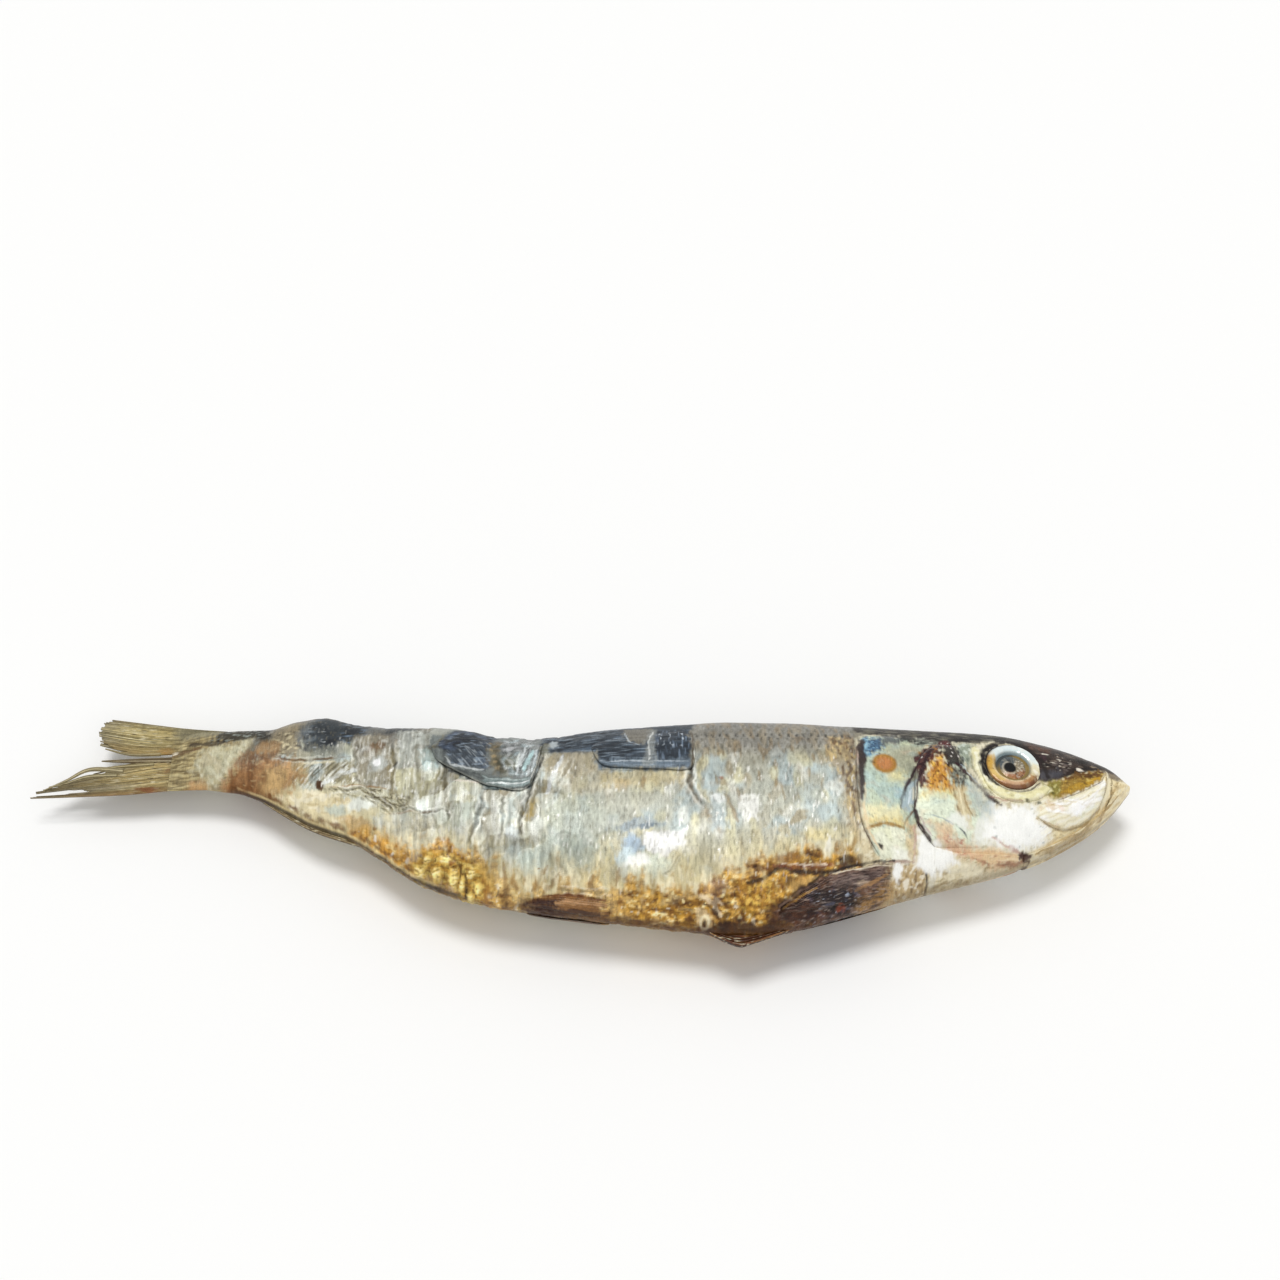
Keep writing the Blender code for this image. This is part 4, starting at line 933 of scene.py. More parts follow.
def paint_belly_edge(c):
    """The edge of the belly: a brown line and a pale one towards the tail, and dark at the breast."""
    foot = belly_edge(c.x)
    line = step_up(c.x, -57, -53) * step_up(c.x, -20, -26)
    broken = step_up(c.noise((2, 2, 2), 175, line), -0.5, 0.1)
    c.lay(0.8 * line * broken * bump(c.y - foot - 0.9 - 0.4 * c.torn, 0.55), "#6a421a")
    c.lay(0.8 * line * bump(c.y - foot - 0.35, 0.3), "#cdb987")
    c.lay(0.85 * step_up(c.x, -12, -24) * step_up(c.x, -60, -54) * bump(c.y - foot - 0.1, 0.3), "#2c1f14")
    c.lay(0.85 * step_up(c.t, -0.95, -1) * step_up(c.x, -16, -4), "#54310f")


REAR_SHEET = ((-24.9, 13.6), (-23.4, 9.9), (-19.5, 7), (-14.1, 3.9), (-7.8, 3.6), (-5.9, 12.6), (-6.6, 17),
              (-24.6, 19))
REAR_DARK = (
    (-23.6, 13.2), (-22.6, 15.6), (-20.4, 18.4), (-17.2, 17.4), (-13.6, 16.4), (-14.6, 13.1), (-15, 10.4),
    (-14.4, 7.8), (-15.7, 7.5), (-18.1, 8.1), (-20.9, 8.6), (-21.9, 11),
)
DARK_CORE = ((-21.6, 14), (-19.5, 17), (-16.6, 14.6), (-17.4, 11.2), (-19.1, 10.3), (-21, 12.4))
OLIVE_GAP = ((-14.9, 13.8), (-12.4, 14), (-13, 10.3), (-11.9, 7.8), (-10.8, 6.2), (-12.9, 6.6), (-14.4, 7.7))
SILVER_OVAL = (
    (-12.6, 14.9), (-9.3, 15.8), (-7, 14.8), (-6.3, 11.4), (-7, 6.1), (-7.7, 5), (-10.2, 6), (-12.1, 6.3),
    (-13, 10.3),
)
FLAP_ROLL = (
    (-16, 6.6), (-14.7, 5.9), (-11.8, 5.6), (-10.3, 5.3), (-7.6, 5.2), (-7.7, 3.9), (-9, 3.6), (-12, 3.5),
    (-15, 4),
)
BACK_STRIP = ((-6.6, 11.2), (-6.4, 18.6), (20, 22), (18, 15), (10, 12.4), (3, 11))
MIDDLE_FLAP = ((2.6, 12.4), (3.4, 7.8), (9.2, 7.1), (15.8, 7), (18, 6.9), (18.2, 12), (17.4, 16.4), (5, 17))
GREY_TAB = ((7, 17.6), (7.8, 13.4), (8.8, 12.6), (10.9, 12.5), (11.8, 14), (12.2, 17.6))


def paint_rear_flap(c, upper):
    """The first patch of torn skin: slate with scratches, an olive gap, a silver oval and a rolled edge."""
    c.lay(upper * c.area(REAR_SHEET, 0.3, 0.25), "#727875", 0.36, 0.1)
    c.cover("#a3a499", ((-26, 16.4), (-24.6, 19), (-20.6, 19.4), (-22.6, 16)), 0.8 * upper, 0.6)
    c.cover("#7a745a", ((-24.2, 13), (-22.6, 16.4), (-21.8, 14), (-22.4, 12.6)), 0.85 * upper, 0.5)
    dark = upper * c.area(REAR_DARK, 0.5, 0.45)
    c.lay(dark, "#2b3138", 0.5, 0.1)
    c.flecks("#566680", (1.6, 1.2, 1.2), 108, 0, 0.45, dark, 0.45, soft=0.45)
    c.cover("#12161d", DARK_CORE, 0.75 * upper, 0.9, 0.6, 0.55)
    scratched = waves(c.q @ JAW_TURN, (0.24, 2, 1), 114)
    worn = dark * step_up(c.wy - 0.5 * c.wx, 23.6, 20.6)
    c.lay(0.5 * worn, "#59646e", 0.4)
    c.lay(0.5 * worn * step_up(scratched, 0.15, 0.5), "#c3ccd0", 0.28)
    c.lay(0.3 * worn * step_up(scratched, -0.1, -0.42), "#0d1116")
    c.flecks("#8c9cab", (1.6, 0.5, 0.5), 115, 0.15, 0.5, dark, 0.35, soft=0.35)
    c.cover("#6e654c", OLIVE_GAP, 0.9 * upper, 0.8, 1)
    c.cover("#2d2a1c", ((-13.8, 9.4), (-12.2, 8.8), (-11.2, 6.6), (-12.8, 6.7)), 0.85 * upper, 0.9, 0.8)
    c.flecks("#a5906a", (0.8, 1, 1), 116, 0.05, 0.6, upper * c.area(OLIVE_GAP, 0.8))
    oval = upper * c.area(SILVER_OVAL, 0.4, 0.3)
    c.lay(oval, "#8c918e", 0.26, 0.2)
    c.cover("#77755c", ((-12.8, 10.4), (-10.8, 10), (-10.4, 6.4), (-12.2, 6.4)), 0.75 * upper, 1)
    turn = np.arctan2(c.wy - 1, c.wx + 9.8)
    rays = np.sin(40 * turn + 3 * c.noise((1.5, 1.5, 1.5), 117, oval))
    c.lay(0.35 * oval * step_up(rays, 0.2, 0.9), "#e9eded", 0.2)
    c.lay(0.25 * oval * step_up(rays, -0.3, -0.9), "#575c59")
    c.flecks("#c3d6da", (1.4, 1.8, 1.8), 120, 0.05, 0.5, oval, soft=0.4)
    # A painted glint on the silver oval.
    c.dab("#f2f5f6", (-11.6, 11.9), (1, 0.5), 0.9 * upper, 35)
    c.cover("#7b8886", FLAP_ROLL, 0.95 * upper, 0.3, 0.4, 0.3, 0.15)
    # Lines along the flap's folds and edges: colour, points, width and strength. The pale line at its lower
    # left (#d5dad9) and the pale lines on the rolled edge (#b9c6c2, #e4eae7) are painted highlights; the dark
    # band along the lower edge (#3d4140) and the dark line under the roll (#23282a) are painted shadow.
    folds = (
        ("#eef4f4", ((-8.7, 13), (-9.3, 9.8), (-10.2, 6.2)), 0.6, 0.85),
        ("#bfe0e0", ((-7.6, 11.4), (-8.3, 8.9), (-8.9, 6.6)), 0.8, 0.85),
        ("#e9efe8", ((-9.8, 10.8), (-10.3, 7.4)), 0.4, 0.8),
        ("#dfe9ea", ((-6.9, 11.6), (-7.2, 8.8), (-7.7, 6.6)), 0.5, 0.8),
        ("#454d4d", ((-8.1, 12.4), (-8.8, 9), (-9.4, 6.8)), 0.35, 0.8),
        ("#5c6464", ((-7.3, 10), (-8, 7.2)), 0.3, 0.7),
        ("#d5dad9", ((-22, 10.4), (-20.9, 8.7), (-18.5, 8.1), (-16.9, 7.6), (-15.6, 7.5)), 0.45, 0.7),
        ("#3d4140", ((-21.4, 8.2), (-18.9, 7.2), (-16.2, 6.3), (-15.4, 5.6)), 1, 0.85),
        ("#e3d6c8", ((-20.6, 6.3), (-18.4, 5.9), (-16.2, 5.2)), 0.4, 0.75),
        ("#b9c6c2", ((-15.8, 6.4), (-14.7, 5.6), (-11.8, 5.3), (-10.2, 5.1), (-7.8, 5)), 0.3, 0.8),
        ("#e4eae7", ((-14.9, 4.9), (-11.7, 4.5), (-9.4, 4.4), (-8, 4.7)), 0.4, 0.9),
        ("#23282a", ((-15.6, 4.3), (-14, 3.9), (-11.7, 3.5), (-8.8, 3.6), (-7.4, 4.4)), 0.4, 0.85),
        ("#e6e2d2", ((-6.3, 12.6), (-6.4, 10.7), (-6.9, 8.2), (-7.7, 5.4)), 0.3, 0.8),
        ("#34322a", ((-5.8, 13), (-6, 9.8), (-6.6, 7.4), (-7.4, 5)), 0.45, 0.85),
    )
    for colour, points, width, strength in folds:
        c.streak(colour, points, width, strength * upper, ragged=1, taper=0.6, broken=0.4)


def paint_back_skin(c):
    """Slate skin of the back that has torn and dried over the flank, with its silver oval and grey gap."""
    upper = step_up(c.side, 0, 0.5)
    paint_rear_flap(c, upper)
    strip, middle = (upper * c.area(corners, 0.4, 0.3) for corners in (BACK_STRIP, MIDDLE_FLAP))
    slate = np.maximum(strip, middle)
    c.lay(slate, "#363f48", 0.5, 0.1)
    c.flecks("#151a20", (2.6, 1.2, 1.2), 111, -0.05, 0.65, slate, 0.55, soft=0.5)
    c.flecks("#5f7182", (3, 1, 1), 112, 0.1, 0.5, slate, 0.4, soft=0.45)
    across_it = c.noise((3.6, 0.26, 0.26), 113, slate)
    calm = slate * step_up(c.x, 13.2, 12)
    c.lay(0.45 * calm * step_up(across_it, 0.1, 0.5), "#9aa9b5", 0.28)
    c.lay(0.35 * calm * step_up(across_it, -0.1, -0.45), "#0e1318")
    block = middle * step_up(c.x, 12.2, 13)
    c.lay(0.55 * block, "#232a33")
    c.lay(0.45 * block * step_up(c.noise((0.34, 2.6, 2.6), 118, block), 0.1, 0.5), "#8fa3ba", 0.3)
    # Painted glints: pale flecks on a glossier finish.
    c.flecks("#dbe6f0", (0.5, 1.1, 1.1), 119, 0.36, 0.7, block * step_up(c.wy, 11.2, 12.4), 0.25)
    # A painted highlight along the flap's raised lower edge: a lighter grey-blue band with a pale line on it.
    band = ((2.6, 9), (9.9, 8.7), (18, 8.7), (18.2, 7), (9.9, 6.9), (3.4, 7.4))
    c.cover("#72818d", band, 0.75 * upper, 0.7, 1, 0.32)
    c.streak("#c3ccd2", ((3.4, 8.7), (9.9, 8.3), (17.8, 8.2)), 0.3, 0.7 * upper, ragged=1, broken=0.7)
    c.cover("#79756a", GREY_TAB, 0.95 * upper, 0.4)
    c.cover("#8b8f8c", ((11.4, 16.8), (12.6, 16.8), (12.4, 12.4), (12.2, 7.4), (10.6, 7.4), (10.9, 12.4)),
            0.7 * upper, 0.5)
    c.streak("#dfe2de", ((12.1, 16), (11.2, 12.7), (11.5, 8.6)), 0.3, 0.8 * upper, ragged=0.9)
    c.streak("#c3cbd0", ((7.4, 16), (8, 13.2), (9.6, 12.2)), 0.25, 0.7 * upper, ragged=0.9)
    c.dab("#c9d2d4", (-4.4, 13.4), (0.9, 1), 0.8 * upper)
    c.dab("#7c7a66", (-5.8, 12.2), (0.7, 1.6), 0.7 * upper)
    # Painted shadow under the flap's lower edge.
    c.streak("#4c4a3c", ((3.6, 7.2), (9.2, 6.7), (15.8, 6.5), (18.2, 6.5)), 0.3, 0.6 * upper, ragged=1,
             broken=0.5)
    c.streak("#4c3d26", ((18.5, 15.4), (18.5, 9), (18.2, 6.4)), 0.45, 0.8 * upper, ragged=0.5)


BREAST_FIN = ((50.2, -8.5), (44, -9.7), (38.4, -11.2), (36.4, -13), (31, -16.4), (33, -17.4), (42, -16),
              (46.8, -14.6), (50, -11.8))


def paint_breast_fin(c):
    """The dark, glossy breast fin with its loose rays."""
    fin = c.area(BREAST_FIN, 0.35, 0.3)
    fin *= step_up(c.x + 1.2 * c.torn, 51, 48.4)
    c.lay(fin, "#6c4b36", 0.32, 0)
    # A painted sheen: greyish purple over the fin's upper middle.
    c.cover("#7b6a64", ((40.4, -11), (44.6, -10), (48.6, -9.2), (48.4, -11.4), (43.8, -12.6),
                        (40.2, -12.8)), 0.85, 1, 0.5)
    purple = c.cover("#1b0f13", ((35.6, -14.2), (38, -13.1), (43.6, -12.8), (45.4, -13.4), (44.4, -14.8),
                                 (37.6, -16.4)), 0.95, 0.9, 1)
    c.cover("#a9824a", ((44.6, -13.8), (49.8, -11.3), (50.4, -12.6), (44.2, -15.2)), 0.85, 0.8, 0.6)
    c.cover("#56301a", ((31.4, -16.4), (35.8, -13.8), (41.2, -16), (34.4, -17.6)), 0.85, 0.6, 0.6)
    rays = np.sin(9.5 * (c.wy - 0.28 * c.wx) + 1.2 * c.noise((4, 1, 1), 106, fin))
    c.lay(0.35 * fin * step_up(rays, 0.4, 1) * step_up(c.noise(1.6, 108, fin), -0.3, 0.3), "#a9968a", 0.24)
    c.lay(0.35 * fin * step_up(rays, -0.4, -1), "#130b0b")
    c.flecks("#2a1614", (3, 1.4, 1.4), 107, 0.05, 0.6, fin, soft=0.4)
    for points, width in ((((32, -15.6), (34.8, -13.6), (37.6, -12.4)), 1.1),
                          (((32.4, -16.6), (35.6, -14.9), (37.8, -13.6)), 0.7)):
        c.streak("#33201a", points, width, 0.95, ragged=0.5)
        c.streak("#7d6252", points, 0.3 * width, 0.7, ragged=0.9)
    c.streak("#bd914a", ((32.6, -16), (35, -14.4), (37.8, -13)), 0.5, 0.8, ragged=1, broken=0.7)
    # Painted sheen and glints: blue-grey flecks (#65677c) and pale ones (#c5cad6) on the dark purple, and
    # pale streaks along the rays (#b7a598), on a glossier finish.
    c.flecks("#65677c", (1.8, 0.9, 0.9), 109, 0.05, 0.5, purple, 0.28, soft=0.45)
    c.flecks("#0f0709", (1.6, 0.7, 0.7), 127, 0.05, 0.7, purple, 0.4, soft=0.35)
    c.flecks("#c5cad6", (0.7, 0.3, 0.3), 128, 0.42, 0.7, purple, 0.22)
    c.flecks("#b7a598", (2.4, 0.3, 0.3), 110, 0.26, 0.45, fin, 0.25)
    c.flecks("#241110", (2.4, 0.4, 0.4), 129, 0.15, 0.6, fin, 0.4)
    c.dabs(
        ("#93401f", 41.8, -14.7, 0.6, 0.25, 0.7, 20),
        ("#98a3b6", 42.8, -13.5, 0.5, 0.2, 0.7, 20),
        ("#b9a48c", 45.2, -11.7, 1.2, 0.4, 0.6, 10),
    )
    c.streak("#a98052", ((44, -12.9), (46.6, -11.6), (49.4, -10.2)), 0.5, 0.75, ragged=0.9)
    c.streak("#efe3cc", ((49.8, -8.9), (46.4, -9.3), (43, -10.1), (39.8, -10.7)), 0.3, 0.8, ragged=0.6)
    c.streak("#1c0f0c", ((50.4, -8.2), (46.2, -8.7), (42.8, -9.6), (38.8, -10.9), (36.4, -12.6)), 0.45, 0.9,
             ragged=0.6)


def paint_belly_fin(c):
    """The small brown belly fin."""
    leaf = c.area(((-9, -13.9), (-5.6, -13.2), (0, -13.3), (5.4, -14.4), (5.4, -16.1), (-1, -15.4),
                   (-5.6, -14.7)), 0.3, 0.3)
    leaf *= step_up(c.x + 1.4 * c.torn, 6, 2.6)
    c.lay(leaf, "#8a6034", 0.3, 0)
    c.cover("#33150d", ((-9, -13.9), (-5.6, -13.5), (-2.4, -13.8), (-3, -15), (-5.6, -14.7)), 0.95, 0.6, 0.6)
    c.streak("#b98e62", ((-3.4, -14.3), (0.6, -14.3), (4.6, -15)), 0.7, 0.85, ragged=0.8)
    c.streak("#3a1a0c", ((-8, -14.3), (-2.6, -15.1), (3.4, -15.7)), 0.5, 0.85, ragged=0.6)
    c.streak("#6b3a14", ((-6, -13.2), (0, -13.4), (4.6, -14.3)), 0.45, 0.8, ragged=0.7)


# Lower edge of the dark crown, from the nape over the eye to the snout.
CROWN_EDGE = (
    (44, 47, 52, 56, 59, 62.2, 66.7, 70.5, 73, 74, 74.4, 75.6, 77.9, 79.5, 81.4, 83.1, 84.8, 86.6, 91),
    (16.6, 15.6, 15.4, 15, 14.2, 13.9, 14.2, 14.9, 13.4, 9.4, 6.8, 6.5, 7, 8, 9, 9.5, 10, 10.6, 10.8),
)
CHEEK = ((66.8, 1.6), (70, 1.4), (74.1, 2.2), (74.6, 0.2), (76.4, -1.2), (75.7, -3.3), (71.4, -4.7),
         (67.4, -4.8), (65, -3.4))
MAXILLA = ((75, 3.5), (77.6, 3.8), (83.3, 7.3), (86, 8.3), (86.2, 5.5), (84.8, 3.4), (82.2, 1.1),
           (78.7, -0.6), (76.1, -0.5), (74, 0.2))
MANDIBLE = ((62, -5.3), (66, -4.9), (70.2, -5.2), (72, -5.4), (70.3, -6.3), (66.2, -7.4), (62.8, -6.8))
GILL_LINE = ((54.9, 5.6), (54.4, 1.7), (53.9, -0.1), (54.4, -2.2), (55.2, -3.6), (56.4, -4.8))
CHEEK_LINE = ((61.2, 8.7), (62.7, 6.8), (64.5, 5.2), (66.4, 2.9), (68.2, 1.8))
GILL_PLATE = (
    (57.4, 13), (56, 9.2), (55.3, 5.1), (54.4, 2.3), (54.1, -0.3), (55, -3), (56.4, -5), (62.4, -5.2),
    (64.6, 0), (62.6, 8),
)
GILL_GOLD = ((56.2, 7.7), (57.6, 10.5), (59.4, 10.6), (59.8, 7), (60.1, 3.8), (55.9, 3.6), (55.9, 5.7))
REAR_CLOT = (
    (54.3, 7.6), (55.4, 11.2), (57.6, 12.8), (59.6, 13.6), (58.8, 10.6), (56.6, 8), (56.2, 4.6),
    (55.2, 3.4), (55, 6.2),
)
FRONT_CLOT = ((59.4, 14.4), (61.3, 14.5), (62.2, 10.3), (61.9, 7.8), (60.1, 8.2), (59.1, 10.7))


def mottle(c, where, seed):
    """Gleams of blue, yellow and rose, and fine grit, that the bare plates of the head show."""
    rows = (
        ("#a9cbd6", (2.6, 2.4, 2.4), 0.05, 0.22),
        ("#e6e4a8", (2.4, 2, 2), 0.05, 0.22),
        ("#dfb796", (1.8, 1.4, 1.4), 0.15, 0.22),
    )
    for k, (colour, size, cut, strength) in enumerate(rows):
        c.flecks(colour, size, seed + k, cut, strength, where, soft=0.45)
    fine = 0.2 * c.noise((0.36, 0.5, 0.5), seed + 3, where) + 0.12 * c.noise(0.9, seed + 4, where)
    c.tint(1 + where * fine)
    c.flecks("#58523a", (0.4, 0.4, 0.4), seed + 5, 0.36, 0.35, where)


def paint_shoulder(c):
    """The bare plate behind the gill cover: blue above, pale below, with an orange spot and a crease."""
    plate = ((46.6, 15), (45.9, 12), (45.4, 4.7), (45.7, -3), (47.6, -7.8), (53.6, -7.8), (54.2, -1),
             (53.6, 6), (57.4, 14.4))
    shoulder = c.cover("#b9c6b2", plate, 1, 0.3, 0.2, 0.32, 0.05)
    c.cover("#b6c9be", ((45.9, 6.4), (50.4, 6.2), (50, 0.8), (45.7, 1)), 0.9, 1.4)
    c.cover("#a6a48a", ((49.6, 12.4), (57, 13.2), (54.9, 7), (52.6, 6.2), (50.8, 7.4)), 0.85, 1.2)
    c.cover("#e2d8a0", ((50, 6.7), (52.6, 6.8), (52.4, 4.6), (50, 4.7)), 0.8, 0.9)
    c.cover("#a9c6cc", ((50.8, 4.2), (53, 4.4), (52.4, -0.2), (50.4, 0.2)), 0.8, 1.2)
    c.cover("#ece4b6", ((45.9, 0), (52.2, 0.2), (52.2, -3), (45.8, -3.2)), 0.95, 1)
    # A painted highlight: yellow just above the crease.
    c.cover("#dfc67c", ((46, -2.4), (49, -1.7), (52, -2.1), (52, -3.3), (49, -2.7), (46, -3.5)), 0.7, 0.6)
    c.cover("#ecedd4", ((46.2, -3.4), (52.2, -3.2), (53.6, -4.6), (53.6, -8.2), (48.4, -8.4)), 0.95, 0.4)
    c.cover("#fbfbee", ((50.4, -6.6), (53, -6.4), (53.4, -8.2), (50.2, -8.4)), 0.8, 0.8)
    c.cover("#ccae7a", ((52.2, -2.4), (54.2, -2), (54, -8), (53, -8)), 0.7, 0.6)
    mottle(c, shoulder, 201)
    c.cover("#8fbdd4", ((46.2, 14), (47.6, 14.4), (47.4, 9.8), (46, 9.6)), 0.95, 0.5)
    c.cover("#3a5f80", ((47.2, 14.2), (49.8, 14.2), (49.7, 11.6), (48.4, 10.1), (47.1, 10)), 0.95, 0.6)
    blue = c.oval((48.2, 12), (2, 2.6))
    c.flecks("#94c2dc", (0.5, 0.45, 0.45), 206, 0.14, 0.55, blue, soft=0.3)
    c.flecks("#1d3247", (0.5, 0.45, 0.45), 207, 0.12, 0.65, blue, soft=0.3)
    c.cover("#4b5052", ((49.6, 15.8), (52.8, 16), (52.4, 13), (49.6, 12.4)), 0.9, 0.8)
    c.cover("#5f625a", ((54.8, 16.4), (59.8, 16.4), (59.2, 13), (55, 12.9)), 0.9, 0.6)
    nape = c.area(((54.8, 16), (59.8, 16), (59.2, 13), (55, 12.9)), 0.5)
    c.flecks("#d0d8c4", (1, 0.4, 0.4), 209, 0.1, 0.75, nape)
    c.flecks("#15120f", (1, 0.5, 0.5), 210, 0.05, 0.8, nape)
    c.cover("#14110f", ((52.3, 16.6), (55.6, 16.6), (55.3, 13.6), (52.5, 13.6)), 0.95, 0.6)
    spot = np.hypot(c.x - 49.6, c.y - 8.2) + 0.12 * c.fray
    c.lay(step_up(spot, 2.3, 1.7), "#a8782c", 0.45, 0)
    c.lay(step_up(spot, 1.8, 0.9), "#ba7c48")
    c.flecks("#cfa678", (0.5, 0.5, 0.5), 208, 0.1, 0.35, step_up(spot, 1.8, 1.2))
    c.streak("#3b362c", ((46.9, 8.5), (48, 8.3)), 0.35, 0.8)
    c.streak("#9a7228", ((46, -3.7), (49.1, -2.9), (52.1, -3.3)), 0.7, 0.9, ragged=0.6, broken=0.2)
    c.streak("#6b4a2c", ((54, 0.1), (52.9, -1.2), (52, -3)), 0.4, 0.85, ragged=0.8)
    c.streak("#b98d86", ((53.6, -2), (53.9, -5), (53.5, -7.6)), 0.35, 0.6, ragged=0.8)
    c.streak("#8d5a50", ((49.4, -8.4), (51.8, -8.2), (53.6, -8)), 0.5, 0.7, ragged=0.9)
    c.dab("#241a14", (48.2, -6.4), (0.4, 0.35), 0.95)
    c.streak("#e6cfa8", ((46.1, 4.2), (45.8, 0), (45.9, -2.7), (46.5, -4.4), (47.9, -6.8)), 0.55, 0.8,
             ragged=0.7)
    c.streak("#5d4230", ((45.1, 1.8), (45.2, -2.1), (46, -4.6), (47.2, -7.2)), 0.5, 0.7, ragged=1.2,
             broken=0.8)
    c.cover("#857f6e", ((43.6, 17.6), (47, 17.2), (46.8, 14.8), (43.6, 13.6)), 0.9, 0.6)
    wine = ((45.8, 14), (46.6, 13.6), (46.7, 8), (46, 4), (45.4, 1), (44.9, 1.2), (45.1, 7), (45.2, 11.6))
    c.cover("#2a1216", wine, 0.95, 0.3, 0.35)
    c.streak("#d8b8a8", ((45.2, 11.6), (45.1, 7.6)), 0.35, 0.7)


